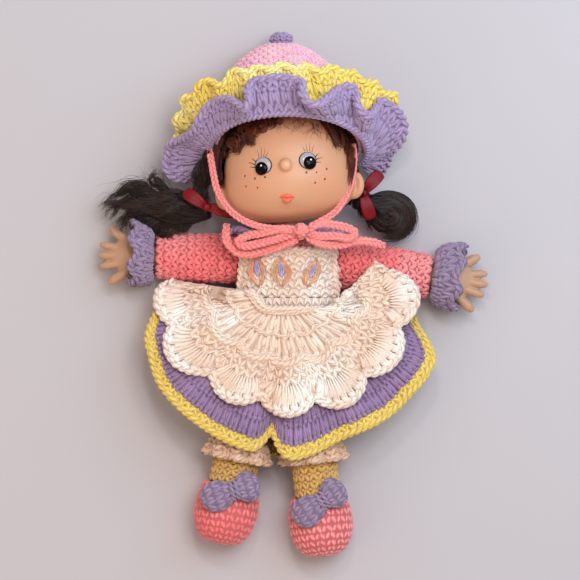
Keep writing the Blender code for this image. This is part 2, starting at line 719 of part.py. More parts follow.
def build_head():
    """Vinyl head with its neck, nose and ears in one shell, and the two eyes set into it."""
    head = head_solid("head_shell", "vinyl")
    neck_axis = add_joint("neck_turn", (0.0, 0.0, TRUNK_HEIGHT), TURN / 4.0)
    join(head, hide_cutter(turned("neck_stem", neck_profile(0.0), NECK_SIDES, "vinyl", neck_axis)))
    nose_centre = face_point(0.0, EYE_RISE - NOSE_RISE)
    nose_radii = (NOSE_RADIUS, NOSE_RADIUS, NOSE_RADIUS)
    join(head, hide_cutter(egg("nose", nose_radii, nose_centre, SMALL_SIDES, SMALL_RINGS, "vinyl")))
    for side, label in SIDES:
        ear_place = Vector((side * HEAD_HALF_WIDTH, HEAD_LINE - EAR_DROP, HEAD_HEIGHT))
        lean = Matrix.Rotation(-side * EAR_LEAN, 4, "Y")
        radii = (EAR_WIDTH, EAR_LENGTH, EAR_THICKNESS)
        ear = egg(label + "_ear", radii, tilted(ear_place), SMALL_SIDES, SMALL_RINGS, "vinyl", turn=lean)
        join(head, hide_cutter(ear))
    cut(head, hide_cutter(head_solid("head_hollow", "vinyl", -HEAD_WALL, HOLLOW_SIDES, HOLLOW_RINGS)))
    foot = SHOULDER_LINE - NECK_DEPTH - OVERRUN
    bore = [(foot, 0.0), (foot, NECK_BORE_RADIUS), (HEAD_LINE, NECK_BORE_RADIUS), (HEAD_LINE, 0.0)]
    cut(head, hide_cutter(turned("neck_bore", bore, NECK_BORE_SIDES, "vinyl", neck_axis)))
    for side, label in SIDES:
        build_eye(head, label, side * EYE_SPACING / 2.0)


def build_eye(head, label, across):
    """A domed eye in a socket that follows its outline."""
    centre = face_point(across, EYE_RISE)
    turn = face_normal(across, EYE_RISE).to_track_quat("Z", "Y").to_matrix().to_4x4()
    radii = Vector((EYE_RADIUS, EYE_RADIUS, EYE_THICKNESS / 2.0))
    egg(label + "_eye", radii, centre, EYE_SIDES, EYE_RINGS, "eye_plastic", turn=turn)
    room = radii + Vector((SEAT_GAP, SEAT_GAP, SEAT_GAP))
    socket = egg(label + "_eye_socket", room, centre, EYE_SIDES, EYE_RINGS, "vinyl", turn=turn)
    cut(head, hide_cutter(socket))


def build_wig():
    """The cap of hair between head and bonnet, open at the face and cut short above the ears."""
    wig = head_solid("wig", "hair", GAP + WIG_THICKNESS)
    cut(wig, hide_cutter(head_solid("head_space", "hair", GAP)))
    width = HEAD_HALF_WIDTH * FACE_OPENING_SHARE
    face_centre = Vector((0.0, HEAD_LINE, HEAD_HEIGHT + HEAD_HALF_DEPTH))
    opening_radii = (width, FRINGE_LINE + width, HEAD_HALF_DEPTH + EAR_THICKNESS)
    opening_centre = face_centre - Vector((0.0, width, 0.0))
    opening = egg("face_opening", opening_radii, opening_centre, OPENING_SIDES, OPENING_RINGS, "hair")
    cut(wig, hide_cutter(opening))
    rings = []
    half = HEAD_HALF_WIDTH + HEAD_CROWN_RISE
    for line in (HEAD_LINE - HEAD_CHIN_DROP - OVERRUN, HEAD_LINE + WIG_HEM_RISE):
        corners = ((-half, -half), (half, -half), (half, half), (-half, half))
        rings.append([Vector((across, line, HEAD_HEIGHT + rise)) for across, rise in corners])
    cut(wig, hide_cutter(loft("wig_hem_space", rings, "hair")))


def brim_point(around, grown=0.0):
    """A point of the brim's seam, from the forehead at angle 0 round to the nape."""
    half_width = HEAD_HALF_WIDTH + CROWN_ROOM + YARN_THICKNESS / 2.0 + grown
    half_depth = HEAD_HALF_DEPTH + CROWN_ROOM + YARN_THICKNESS / 2.0 + grown
    centre = Vector((0.0, HEAD_LINE + BRIM_LINE_RISE, HEAD_HEIGHT))
    front = Vector((0.0, BRIM_TILT_RISE, half_depth))
    return centre + Vector((half_width * math.sin(around), 0.0, 0.0)) + front * math.cos(around)


def crown_ring(share, grown=0.0):
    """A ring of the crown, from the brim at 0 to its tip at 1."""
    size = math.sqrt(1.0 - share**2)
    base = Vector((0.0, HEAD_LINE + BRIM_LINE_RISE, HEAD_HEIGHT))
    tip = Vector((CROWN_TIP_SIDE, HEAD_LINE + BRIM_LINE_RISE + CROWN_TIP_RISE + grown, CROWN_TIP_HEIGHT))
    centre = base.lerp(tip, share)
    points = []
    for step in range(CROWN_SIDES):
        offset = brim_point(TURN * step / CROWN_SIDES, grown) - base
        offset.y *= 1.0 - share
        points.append(centre + offset * size)
    return points


def crown_solid(name, grown, start):
    """The crown's domed form. A negative start runs it on below the brim, for a space cut out of it."""
    last = math.asin(CROWN_TIP_SHARE)
    rings = [crown_ring(math.sin(last * row / CROWN_RINGS), grown) for row in range(CROWN_RINGS + 1)]
    if start < 0.0:
        drop = Vector((0.0, start * CROWN_TIP_RISE, 0.0))
        rings.insert(0, [point + drop for point in rings[0]])
    return loft(name, rings, "pale_pink_yarn")


def build_bonnet(table):
    """Crown, top button and the two ruffles round the brim."""
    crown = crown_solid("bonnet_crown", YARN_THICKNESS / 2.0, 0.0)
    space = crown_solid("bonnet_space", -YARN_THICKNESS / 2.0, -CROWN_OPEN_SHARE)
    cut(crown, hide_cutter(space))
    wig_room = head_solid("wig_space", "hair", CROWN_ROOM)
    cut(crown, hide_cutter(wig_room))
    cut(crown, table)
    tip_ring = crown_ring(CROWN_TIP_SHARE, YARN_THICKNESS / 2.0)
    tip = sum(tip_ring, Vector()) / len(tip_ring)
    radii = (BUTTON_RADIUS, BUTTON_THICKNESS, BUTTON_RADIUS)
    centre = tip + Vector((0.0, BUTTON_THICKNESS * BUTTON_SEAT_SHARE + GAP, 0.0))
    button = egg("bonnet_button", radii, centre, BUTTON_SIDES, BUTTON_RINGS, "lilac_yarn")
    cut(button, hide_cutter(crown_solid("button_seat", YARN_THICKNESS / 2.0 + GAP, 0.0)))
    cut(button, table)
    build_ruffle("bonnet_lilac_ruffle", "lilac_yarn", 0, table)
    build_ruffle("bonnet_yellow_ruffle", "yellow_yarn", 1, table)


def ruffle_place(step, across, along):
    """The middle surface of a ruffle. Step 0 leaves the brim's edge, step 1 lies behind it."""
    around = RUFFLE_REACH * (2.0 * across - 1.0)
    side = (around / RUFFLE_REACH) ** 2
    lean = RUFFLE_FRONT_LEAN + (RUFFLE_SIDE_LEAN - RUFFLE_FRONT_LEAN) * side
    half_depth = HEAD_HALF_DEPTH + CROWN_ROOM
    front = Vector((0.0, BRIM_TILT_RISE, half_depth)).normalized()
    axis = Vector((0.0, front.z, -front.y))
    radial = (Vector((math.sin(around), 0.0, 0.0)) + front * math.cos(around)).normalized()
    way = radial * math.cos(lean) + axis * math.sin(lean)
    square = axis * math.cos(lean) - radial * math.sin(lean)
    start_out = YARN_THICKNESS / 2.0 + SEAT_GAP + RUFFLE_THICKNESS / 2.0
    start_out += step * (RUFFLE_CLEAR + RUFFLE_FRONT_CLEAR * max(0.0, math.cos(around)))
    start = brim_point(around, start_out) + square * (RUFFLE_SPACING * step - RUFFLE_THICKNESS / 2.0)
    wave = math.sin(RUFFLE_WAVES * math.pi * (2.0 * across - 1.0) + RUFFLE_PHASE)
    lift = RUFFLE_WAVE_HEIGHT * wave * along + RUFFLE_SPACING * RUFFLE_SPREAD_SHARE * step * along
    width = RUFFLE_WIDTHS[step] * (1.0 + RUFFLE_FRONT_SHARE * (1.0 - side))
    place = start + way * (width * along) + square * lift
    place.z = max(place.z, RUFFLE_THICKNESS / 2.0 + GAP * along)
    return place


def build_ruffle(name, finish, step, table):
    """One gathered frill of the brim, pressed flat where it meets the table."""
    piece = sheet(
        name, lambda across, along: ruffle_place(step, across, along),
        RUFFLE_STEPS, RUFFLE_ROWS, RUFFLE_THICKNESS, finish,
    )
    cut(piece, table)


def ball_profile(radius):
    """The closed end of a limb, from its pole to its widest ring."""
    points = []
    for step in range(BALL_STEPS + 1):
        angle = TURN / 4.0 * step / BALL_STEPS
        points.append((-radius * math.cos(angle), radius * math.sin(angle)))
    return points


def arm_frame(side):
    """The shoulder's pivot, its turn about Z and the sleeve's length, on one side."""
    line = RIGHT_SHOULDER_LINE if side < 0 else LEFT_SHOULDER_LINE
    droop = RIGHT_ARM_DROOP if side < 0 else LEFT_ARM_DROOP
    length = RIGHT_SLEEVE_LENGTH if side < 0 else LEFT_SLEEVE_LENGTH
    pivot = Vector((side * (BODICE_HALF_WIDTH + SHOULDER_OUT), line, SHOULDER_BALL_RADIUS - FLAT_DEPTH))
    turn = -droop if side > 0 else TURN / 2.0 + droop
    return pivot, turn, length


def sleeve_profile(length):
    """The sleeve's wall: a closed ball at the shoulder, tapering to a turned-in wrist."""
    ball, wall = SHOULDER_BALL_RADIUS, YARN_THICKNESS
    outer, inner = ball_profile(ball), ball_profile(ball - wall)
    for share, swell in SLEEVE_SWELL_SHARES:
        radius = ball + (WRIST_RADIUS - ball) * share
        outer.append((length * share, radius * swell))
        inner.append(((length - wall) * share, radius * swell - wall))
    hole = HAND_STEM_RADIUS + SEAT_GAP
    mouth = [(length, hole), (length - wall, hole)]
    return outer + mouth + list(reversed(inner))


def arm_core_profile(length):
    """Stuffing that fills the sleeve up to the hand's flange."""
    points = ball_profile(SHOULDER_BALL_RADIUS - YARN_THICKNESS - GAP)
    stop = length - YARN_THICKNESS - SEAT_GAP - HAND_FLANGE_THICKNESS - SEAT_GAP
    end_radius = WRIST_RADIUS * SLEEVE_SWELL_SHARES[-1][1] - YARN_THICKNESS - GAP
    points.append((stop, end_radius))
    points.append((stop, 0.0))
    return points


def cuff_place(length, side, across, along):
    """The cuff's frill, pressed in on the table side."""
    angle = TURN * across
    inner = HAND_STEM_RADIUS + SEAT_GAP + RUFFLE_THICKNESS
    fill = along * CUFF_FILL_SHARE + 1.0 - CUFF_FILL_SHARE
    radius = inner + (CUFF_RADIUS - inner) * math.sin(TURN / 4.0 * fill)
    wave = CUFF_WAVE_HEIGHT * along * math.sin(CUFF_WAVES * angle)
    height = radius * math.sin(angle)
    floor = -(SHOULDER_BALL_RADIUS - FLAT_DEPTH) + RUFFLE_THICKNESS / 2.0
    if height < 0.0:
        height *= min(1.0, -floor / CUFF_RADIUS)
    out = length + GAP + RUFFLE_THICKNESS / 2.0 + CUFF_FLARE * along**2 + wave + CUFF_WAVE_HEIGHT * along
    return Vector((out, radius * math.cos(angle) + side * CUFF_LIFT * along, height))


def limb_capsule(name, start, end, radius, parent, finish="vinyl"):
    """A finger: a tapering round-ended rod."""
    way = end - start
    turn = way.to_track_quat("X", "Z").to_matrix().to_4x4()
    reach = way.length
    profile = []
    for along, share in FINGER_SHARES:
        profile.append((along * reach, radius * share))
    piece = turned(name, profile, FINGER_SIDES, finish)
    piece.data.transform(Matrix.Translation(start) @ turn)
    piece.parent = parent
    return hide_cutter(piece)


def build_hand(label, side, length, parent):
    """Vinyl hand: a stem and flange inside the sleeve, a palm, and five spread fingers."""
    seat = length - YARN_THICKNESS - SEAT_GAP
    flange = seat - HAND_FLANGE_THICKNESS
    palm_at = length + HAND_STEM_LENGTH + PALM_LENGTH / 2.0 - HAND_SEAT_DEPTH
    stem = [
        (flange, 0.0),
        (flange, HAND_FLANGE_RADIUS),
        (seat, HAND_FLANGE_RADIUS),
        (seat, HAND_STEM_RADIUS),
        (palm_at, HAND_STEM_RADIUS * STEM_TAPER_SHARE),
        (palm_at, 0.0),
    ]
    hand = turned(label + "_hand", stem, SMALL_SIDES, "vinyl", parent)
    palm_radii = (PALM_LENGTH / 2.0, PALM_WIDTH / 2.0, PALM_THICKNESS / 2.0)
    palm = egg(label + "_palm", palm_radii, (palm_at, 0.0, 0.0), SMALL_SIDES, SMALL_RINGS, "vinyl", parent)
    join(hand, hide_cutter(palm))
    for number, (out, across, size) in enumerate(FINGER_TIP_SHARES):
        up = across * PALM_WIDTH * side
        rise = FINGER_RADIUS * FINGER_RISE_SHARE * (number - FINGER_RISE_SHARE)
        tip = Vector((palm_at + out * PALM_LENGTH * FINGER_REACH_SHARE, up, rise))
        root = Vector((palm_at, up * FINGER_ROOT_SHARE, rise))
        finger = limb_capsule(f"{label}_finger_{number}", root, tip, FINGER_RADIUS * size, parent)
        join(hand, finger)


def build_arm(label, side, table):
    """Sleeve, its stuffing, the frilled cuff and the hand, all on the shoulder's axis."""
    pivot, turn, length = arm_frame(side)
    joint = add_joint(label + "_shoulder", pivot, turn)
    sleeve = turned(label + "_sleeve", sleeve_profile(length), SLEEVE_SIDES, "pink_yarn", joint)
    cut(sleeve, table)
    turned(label + "_arm_stuffing", arm_core_profile(length), ARM_CORE_SIDES, "stuffing", joint)
    cuff = sheet(
        label + "_cuff", lambda across, along: cuff_place(length, side, across, along),
        CUFF_STEPS, CUFF_ROWS, RUFFLE_THICKNESS, "lilac_yarn", joint, closed=True,
    )
    cut(cuff, table)
    build_hand(label, side, length, joint)


def leg_frame(side):
    """The hip's pivot and the leg's turn about Z."""
    x, y = RIGHT_HIP if side < 0 else LEFT_HIP
    spread = RIGHT_LEG_SPREAD if side < 0 else LEFT_LEG_SPREAD
    return Vector((x, y, LEG_HEIGHT)), -TURN / 4.0 + side * spread


def shoe_turn():
    """The shoe's toe points down the leg and up from the table."""
    return Matrix.Rotation(-SHOE_PITCH, 4, "Y")


def shoe_egg(name, shrink, finish, parent, sides=SHOE_SIDES, rings=SHOE_RINGS):
    """A rounded shoe, or the foot or space in it, whose rings of facets run round its length."""
    radii = (SHOE_HALF_DEPTH - shrink, SHOE_HALF_WIDTH - shrink, SHOE_HALF_LENGTH - shrink)
    reach = math.hypot(SHOE_HALF_LENGTH * math.sin(SHOE_PITCH), SHOE_HALF_DEPTH * math.cos(SHOE_PITCH))
    height = reach - FLAT_DEPTH - LEG_HEIGHT
    poles = Matrix.Rotation(TURN / 4.0, 4, "Y")
    return egg(name, radii, (SHOE_LINE, 0.0, height), sides, rings, finish, parent, shoe_turn() @ poles)


def foot_form(name, shrink, parent):
    """The foot inside a shoe, as a hidden form to join or to cut with."""
    return hide_cutter(shoe_egg(name, shrink, "stuffing", parent, FOOT_SIDES, FOOT_RINGS))


def build_leg(label, side, table, skirt_back):
    """Stuffed leg and foot, pantaloon leg with its frill, sock, shoe and shoe bow."""
    pivot, turn = leg_frame(side)
    joint = add_joint(label + "_hip", pivot, turn)
    wall = PANTALOON_RADIUS - LEG_CORE_RADIUS - GAP
    length = PANTALOON_LENGTHS[label]

    core_ball = ball_profile(HIP_BALL_RADIUS - wall - GAP)
    core_outline = core_ball + [
        (length * PANTALOON_SHARES[0][0], LEG_CORE_RADIUS), (SOCK_END - SOCK_THICKNESS, LEG_CORE_RADIUS),
        (SHOE_LINE, LEG_CORE_RADIUS * ANKLE_TAPER_SHARE), (SHOE_LINE, 0.0),
    ]
    core = turned(label + "_leg_stuffing", core_outline, FOOT_SIDES, "stuffing", joint)
    join(core, foot_form(label + "_foot", SHOE_WALL + GAP, joint))

    outer = ball_profile(HIP_BALL_RADIUS)
    inner = ball_profile(HIP_BALL_RADIUS - wall)
    hole = LEG_CORE_RADIUS + GAP
    for share, bulge in PANTALOON_SHARES:
        radius = HIP_BALL_RADIUS + (PANTALOON_CUFF_RADIUS - HIP_BALL_RADIUS) * share
        radius += (PANTALOON_RADIUS - HIP_BALL_RADIUS) * bulge
        outer.append((length * share, radius))
    inner.append((length * PANTALOON_SHARES[0][0], hole))
    inner.append((length, hole))
    turned(label + "_pantaloon_leg", outer + list(reversed(inner)), LEG_SIDES, "cream_yarn", joint)

    frill_start = length + GAP
    frill = sheet(
        label + "_pantaloon_frill", lambda across, along: frill_place(frill_start, across, along),
        FRILL_STEPS, 1, RUFFLE_THICKNESS, "cream_yarn", joint, closed=True,
    )
    cut(frill, skirt_back)

    ankle = hole + SOCK_THICKNESS
    sock_outline = [(frill_start, hole), (frill_start, ankle), (SOCK_END, ankle), (SOCK_END, hole)]
    sock = turned(label + "_sock", sock_outline, LEG_SIDES, "yellow_yarn", joint, closed=True)
    cut(sock, foot_form(label + "_foot_space", SHOE_WALL, joint))

    shoe = shoe_egg(label + "_shoe", 0.0, "pink_yarn", joint)
    cut(shoe, foot_form(label + "_shoe_space", SHOE_WALL, joint))
    mouth_end = SHOE_LINE - SHOE_HALF_LENGTH * SHOE_MOUTH_SHARE
    mouth = [(0.0, 0.0), (0.0, ankle + GAP), (mouth_end, ankle + GAP), (mouth_end, 0.0)]
    cut(shoe, hide_cutter(turned(label + "_shoe_mouth", mouth, LEG_SIDES, "stuffing", joint)))
    cut(shoe, table)
    build_shoe_bow(label, joint, ankle)


def frill_place(start, across, along):
    """The gathered frill at a pantaloon's hem."""
    angle = TURN * (across + FRILL_SEAM_SHARE)
    inner = LEG_CORE_RADIUS + GAP + SOCK_THICKNESS + GAP + RUFFLE_THICKNESS / 2.0
    wave = FRILL_WAVE_HEIGHT * along * math.sin(FRILL_WAVES * angle)
    radius = inner + (FRILL_RADIUS - inner) * along + wave
    out = start + RUFFLE_THICKNESS / 2.0 + FRILL_LENGTH * along
    return Vector((out, radius * math.cos(angle), radius * math.sin(angle)))


def build_shoe_bow(label, parent, sock_radius):
    """A crocheted bow on the instep: two puffed lobes and a wrapped knot."""
    height = sock_radius + BOW_LOBE_THICKNESS * BOW_SINK_SHARE
    middle = Vector((BOW_LINE, BOW_SIDE_SHIFT, height))
    lean = Matrix.Rotation(BOW_LEAN, 4, "Z")
    knot_radii = (BOW_LOBE_WIDTH * BOW_KNOT_SHARE, BOW_KNOT_RADIUS, BOW_LOBE_THICKNESS / 2.0 + GAP)
    facets = (BOW_KNOT_SIDES, SMALL_RINGS)
    bow = egg(label + "_shoe_bow", knot_radii, middle, *facets, "lilac_yarn", parent, lean)
    for number, (way, size) in enumerate(((-1.0, 1.0), (1.0, BOW_SMALL_SHARE))):
        radii = (BOW_LOBE_WIDTH / 2.0, BOW_LOBE_LENGTH / 2.0 * size, BOW_LOBE_THICKNESS / 2.0)
        offset = lean @ Vector((0.0, way * BOW_LOBE_LENGTH / 2.0 * size, 0.0))
        centre = middle + offset
        facets = (SMALL_SIDES, SMALL_RINGS)
        lobe = egg(f"{label}_bow_lobe_{number}", radii, centre, *facets, "lilac_yarn", parent, lean)
        join(bow, hide_cutter(lobe))
    cut(bow, hide_cutter(shoe_egg(label + "_bow_seat", -GAP, "stuffing", parent)))
    clear = sock_radius + GAP
    sleeve = [(0.0, 0.0), (0.0, clear), (SHOE_LINE, clear), (SHOE_LINE, 0.0)]
    cut(bow, hide_cutter(turned(label + "_bow_sock_seat", sleeve, LEG_SIDES, "stuffing", parent)))


def curve_through(table, share):
    """Values read from a smooth curve through a table's rows, from its first at 0 to its last at 1."""
    last = len(table) - 1
    index = min(int(share * last), last - 1)
    near = [Vector(table[min(max(index + step, 0), last)]) for step in (-1, 0, 1, 2)]
    return between(*near, share * last - index)


def skirt_reach(degrees, front):
    """How far the hem stands from the middle of the fan, with the fold between the legs in front."""
    steps = [row[0] for row in SKIRT_HEM_SHARES]
    index = max(step for step in range(len(steps) - 1) if degrees >= steps[step] or step == 0)
    share = (degrees - steps[index]) / (steps[index + 1] - steps[index])
    low, high = SKIRT_HEM_SHARES[index][1], SKIRT_HEM_SHARES[index + 1][1]
    ease = share * share * (3.0 - 2.0 * share)
    notch = (degrees - SKIRT_NOTCH_DEGREES) / SKIRT_NOTCH_SPREAD_DEGREES
    return SKIRT_LENGTH * (low + (high - low) * ease) - SKIRT_NOTCH_DEPTH * front * math.exp(-(notch**2))


def skirt_point(turn_share, along):
    """The skirt's middle surface. The first half turn is the front, from the picture's right to its left."""
    angle = TURN * turn_share
    room = GAP + SKIRT_THICKNESS / 2.0
    half_width, half_depth = BODICE_HALF_WIDTH + room, BODICE_HALF_DEPTH + room
    waist_height = TRUNK_HEIGHT + half_depth * math.sin(angle)
    line = WAIST_LINE - GAP - SKIRT_SIDE_DROP * math.cos(angle) ** 2
    waist = Vector((half_width * math.cos(angle), line, max(waist_height, SKIRT_FLOOR)))
    first, last = SKIRT_HEM_SHARES[0][0], SKIRT_HEM_SHARES[-1][0]
    degrees = (first + last) / 2.0 + (last - first) / 2.0 * math.cos(angle)
    fan = math.radians(degrees)
    power = SKIRT_FRONT_POWER if math.sin(angle) > 0.0 else SKIRT_BACK_POWER
    boxy = (1.0 - abs(math.cos(angle)) ** power) ** (1.0 / power)
    if math.sin(angle) > 0.0:
        radius = skirt_reach(degrees, boxy)
        wave = SKIRT_WAVE_HEIGHT * math.sin(SKIRT_WAVES * fan) * boxy
        height = SKIRT_FOLD_HEIGHT + (SKIRT_TOP - SKIRT_FOLD_HEIGHT) * boxy + wave
    else:
        radius = skirt_reach(degrees, 0.0)
        height = SKIRT_FOLD_HEIGHT + (SKIRT_FLOOR - SKIRT_FOLD_HEIGHT) * boxy
    hem = Vector((radius * math.sin(fan), SKIRT_FAN_CENTRE_LINE - radius * math.cos(fan), height))
    return waist.lerp(hem, along)


def skirt_height_under(x, y):
    """Height of the skirt's front at a place, found on the ray from the waist that passes through it."""
    low, high = 0.0, 1.0 / 2.0
    for _ in range(RAY_SEARCH_STEPS):
        middle = (low + high) / 2.0
        waist, hem = skirt_point(middle, 0.0), skirt_point(middle, 1.0)
        ray = hem - waist
        beyond = ray.x * (y - waist.y) - ray.y * (x - waist.x)
        if beyond > 0.0:
            high = middle
        else:
            low = middle
    along = Vector((x - waist.x, y - waist.y, 0.0)).length / Vector((ray.x, ray.y, 0.0)).length
    return waist.z + ray.z * min(along, 1.0)


def chest_height_under(x, y):
    """Height of the bib and its waistband, which the raised end of the apron lies over."""
    inside = 1.0 - (x / (BIB_WIDTH / 2.0 + BIB_FLARE + OVERRUN)) ** 2
    if y < WAIST_LINE or inside < 0.0:
        return 0.0
    depth = BODICE_HALF_DEPTH + SEAT_GAP + APRON_THICKNESS - SKIRT_THICKNESS / 2.0
    return TRUNK_HEIGHT + depth * math.sqrt(inside)


def height_near(x, y):
    """The greatest height within the apron's reach of a place, so that folds are cleared too."""
    places = [(x, y)]
    for step in range(NEAR_STEPS):
        angle = TURN * step / NEAR_STEPS
        places.append((x + APRON_NEAR * math.cos(angle), y + APRON_NEAR * math.sin(angle)))
    return max(max(skirt_height_under(*place), chest_height_under(*place)) for place in places)


def build_skirt(table):
    """Lilac skirt, and the yellow edging crocheted onto its hem."""
    edge_share = EDGING_WIDTH / SKIRT_LENGTH
    gap_share = SEAT_GAP / SKIRT_LENGTH
    skirt = sheet(
        "skirt", lambda across, along: skirt_point(across, along * (1.0 - edge_share - gap_share)),
        SKIRT_STEPS, SKIRT_ROWS, SKIRT_THICKNESS, "lilac_yarn", closed=True,
    )
    edging = sheet(
        "skirt_edging", lambda across, along: skirt_point(across, 1.0 - edge_share * (1.0 - along)),
        SKIRT_STEPS, 1, SKIRT_THICKNESS, "yellow_yarn", closed=True,
    )
    for piece in (skirt, edging):
        cut(piece, table)


def scallop(degrees):
    """How far the apron's hem stands out at an angle, as a row of shells with sharp corners between them."""
    return abs(math.sin(math.pi * (degrees - SCALLOP_START_DEGREES) / SCALLOP_DEGREES)) ** SCALLOP_POWER


def apron_point(across, along):
    """The apron's middle surface, gathered at the waist and draped over the skirt and the left sleeve."""
    degrees, length, lift_share = curve_through(APRON_RAY_SHARES, across)
    angle = math.radians(degrees)
    radius = (APRON_LENGTH + SCALLOP_DEPTH * scallop(degrees)) * length
    hem = Vector((radius * math.sin(angle), SKIRT_FAN_CENTRE_LINE - radius * math.cos(angle), 0.0))
    side = 2.0 * across - 1.0
    waist = Vector((side * APRON_GATHER_WIDTH / 2.0, APRON_TOP_LINE - APRON_SIDE_DROP * side**2, 0.0))
    place = waist.lerp(hem, along)
    place.z = height_near(place.x, place.y) + APRON_RISE + APRON_WAIST_ROOM * (1.0 - along)
    puff = math.exp(-(((degrees - APRON_PUFF_DEGREES) / APRON_PUFF_SPREAD_DEGREES) ** 2))
    belly = math.sin(math.pi * along)
    place.z += APRON_LIFT * lift_share * along + (APRON_PUFF_HEIGHT * puff + APRON_BELLY) * belly
    return place


def chest_place(across, half_width, line):
    """A place on cloth that wraps the chest over the bodice."""
    angle = (2.0 * across - 1.0) * BIB_WRAP
    depth = BODICE_HALF_DEPTH + SEAT_GAP + APRON_THICKNESS / 2.0
    across_chest = half_width * math.sin(angle) / math.sin(BIB_WRAP)
    return Vector((across_chest, line, TRUNK_HEIGHT + depth * math.cos(angle)))


def bib_place(across, along):
    """The bib's middle surface, a little wider at the waist."""
    low = WAIST_LINE + GAP + WAISTBAND_WIDTH + GAP
    half_width = BIB_WIDTH / 2.0 + BIB_FLARE * (1.0 - along)
    return chest_place(across, half_width, low + (BIB_TOP_LINE - low) * along)


def band_place(across, along):
    """The waistband, between the bib and the apron's skirt."""
    return chest_place(across, BIB_WIDTH / 2.0 + BIB_FLARE, WAIST_LINE + GAP + WAISTBAND_WIDTH * along)


def build_apron():
    """Bib, waistband and the scalloped skirt of the apron."""
    sheet("apron_bib", bib_place, BIB_STEPS, BIB_ROWS, APRON_THICKNESS, "cream_yarn")
    sheet("apron_waistband", band_place, BIB_STEPS, 1, APRON_THICKNESS, "cream_yarn")
    sheet("apron_skirt", apron_point, APRON_STEPS, APRON_ROWS, APRON_THICKNESS, "cream_yarn")


def collar_place(across, along):
    """The frilled collar round the neck, higher at the sides than at the chin."""
    angle = TURN * across
    inner = NECK_HOLE_RADIUS + COLLAR_INNER_ROOM
    half_width = inner + (COLLAR_HALF_WIDTH - inner) * along
    half_depth = inner + (COLLAR_HALF_DEPTH - inner) * along
    base = SHOULDER_LINE + GAP + YARN_THICKNESS + GAP + GAP + RUFFLE_THICKNESS / 2.0
    wave = COLLAR_WAVE_HEIGHT * along * math.sin(COLLAR_WAVES * angle)
    line = base + COLLAR_RISE * along * abs(math.cos(angle)) + wave
    return Vector((half_width * math.cos(angle), line, TRUNK_HEIGHT + half_depth * math.sin(angle)))


def build_collar():
    """Lilac frill sewn round the neck."""
    sheet("collar", collar_place, COLLAR_STEPS, COLLAR_ROWS, RUFFLE_THICKNESS, "lilac_yarn", closed=True)


def tie_route(side):
    """A chin tie, from the brim's side down the cheek to the bow's knot."""
    points = []
    for degrees, out, lift in TIE_SHARES:
        angle = math.radians(degrees)
        room = CORD_DIAMETER / 2.0 + SEAT_GAP
        across = (HEAD_HALF_WIDTH * out + room) * math.cos(angle)
        rise = -(HEAD_CHIN_DROP * out + room) * math.sin(angle)
        place = tilted(Vector((side * across, HEAD_LINE + rise, HEAD_HEIGHT + HEAD_HALF_DEPTH * lift)))
        points.append(place)
    steep = math.radians(TIE_END_DEGREES)
    points.append(KNOT_PLACE + Vector((side * math.cos(steep), math.sin(steep), 0.0)) * TIE_REACH)
    return points


def build_ties():
    """The chin ties and the bow that they are tied in."""
    for side, label in SIDES:
        cord(label + "_chin_tie", tie_route(side), "pale_pink_yarn")
    radii = (KNOT_RADIUS, KNOT_RADIUS, KNOT_RADIUS)
    egg("bow_knot", radii, KNOT_PLACE, KNOT_SIDES, KNOT_RINGS, "pale_pink_yarn")
    routes = (
        ("bow_right_loop", RIGHT_LOOP_SHARES),
        ("bow_left_loop", LEFT_LOOP_SHARES),
        ("bow_right_tail", RIGHT_TAIL_SHARES),
        ("bow_left_tail", LEFT_TAIL_SHARES),
    )
    for name, shares in routes:
        route = [KNOT_PLACE + Vector(share) * BOW_REACH for share in shares]
        cord(name, route, "pale_pink_yarn")


def swept(name, shares, reach, sides, finish, start):
    """A tuft of hair along a route whose places carry its half width and half depth."""
    knots = [(start + Vector(share[:3]) * reach, share[3] * reach, share[4] * reach) for share in shares]
    rings = [[knots[0][0]]]
    for index, (place, half_width, half_depth) in enumerate(knots):
        ahead = knots[min(index + 1, len(knots) - 1)][0] - knots[max(index - 1, 0)][0]
        across = Vector((-ahead.y, ahead.x, 0.0)).normalized()
        ring = []
        for step in range(sides):
            angle = TURN * step / sides
            spot = place + across * (half_width * math.cos(angle))
            spot.z += half_depth * math.sin(angle)
            ring.append(spot)
        rings.append(ring)
    rings.append([knots[-1][0] + (knots[-1][0] - knots[-2][0]) * HAIR_TIP_SHARE])
    return loft(name, rings, finish)


def pigtail_root(side):
    """The place at the side of the head where a pigtail is tied."""
    across = side * (HEAD_HALF_WIDTH + PIGTAIL_ROOT_OUT)
    return tilted(Vector((across, HEAD_LINE - PIGTAIL_ROOT_DROP, HEAD_HEIGHT + PIGTAIL_ROOT_HEIGHT)))


def build_hair(table):
    """Wig, pigtails and the satin ribbons that tie them."""
    build_wig()
    hair_seat = hide_cutter(head_solid("hair_seat", "hair", GAP))
    for side, label in SIDES:
        root = pigtail_root(side)
        tuft = swept(label + "_pigtail", PIGTAIL_SHARES[label], PIGTAIL_REACH, PIGTAIL_SIDES, "hair", root)
        cut(tuft, hair_seat)
        cut(tuft, table)
        build_ribbon(label, side, root)


def ribbon_loop(middle, degrees, across, along):
    """One loop of a satin bow, out from the knot and back."""
    way = Vector((math.cos(math.radians(degrees)), math.sin(math.radians(degrees)), 0.0))
    edge = Vector((-way.y, way.x, 0.0))
    swing = TURN * (across - 1.0 / 2.0)
    out = RIBBON_LOOP_LENGTH * (1.0 + math.cos(swing)) / 2.0
    up = RIBBON_LOOP_HEIGHT / 2.0 * math.sin(swing)
    width = RIBBON_WIDTH * (RIBBON_PINCH_SHARE + (1.0 - RIBBON_PINCH_SHARE) * out / RIBBON_LOOP_LENGTH)
    return middle + way * out + edge * (width * (along - 1.0 / 2.0)) + Vector((0.0, 0.0, up))


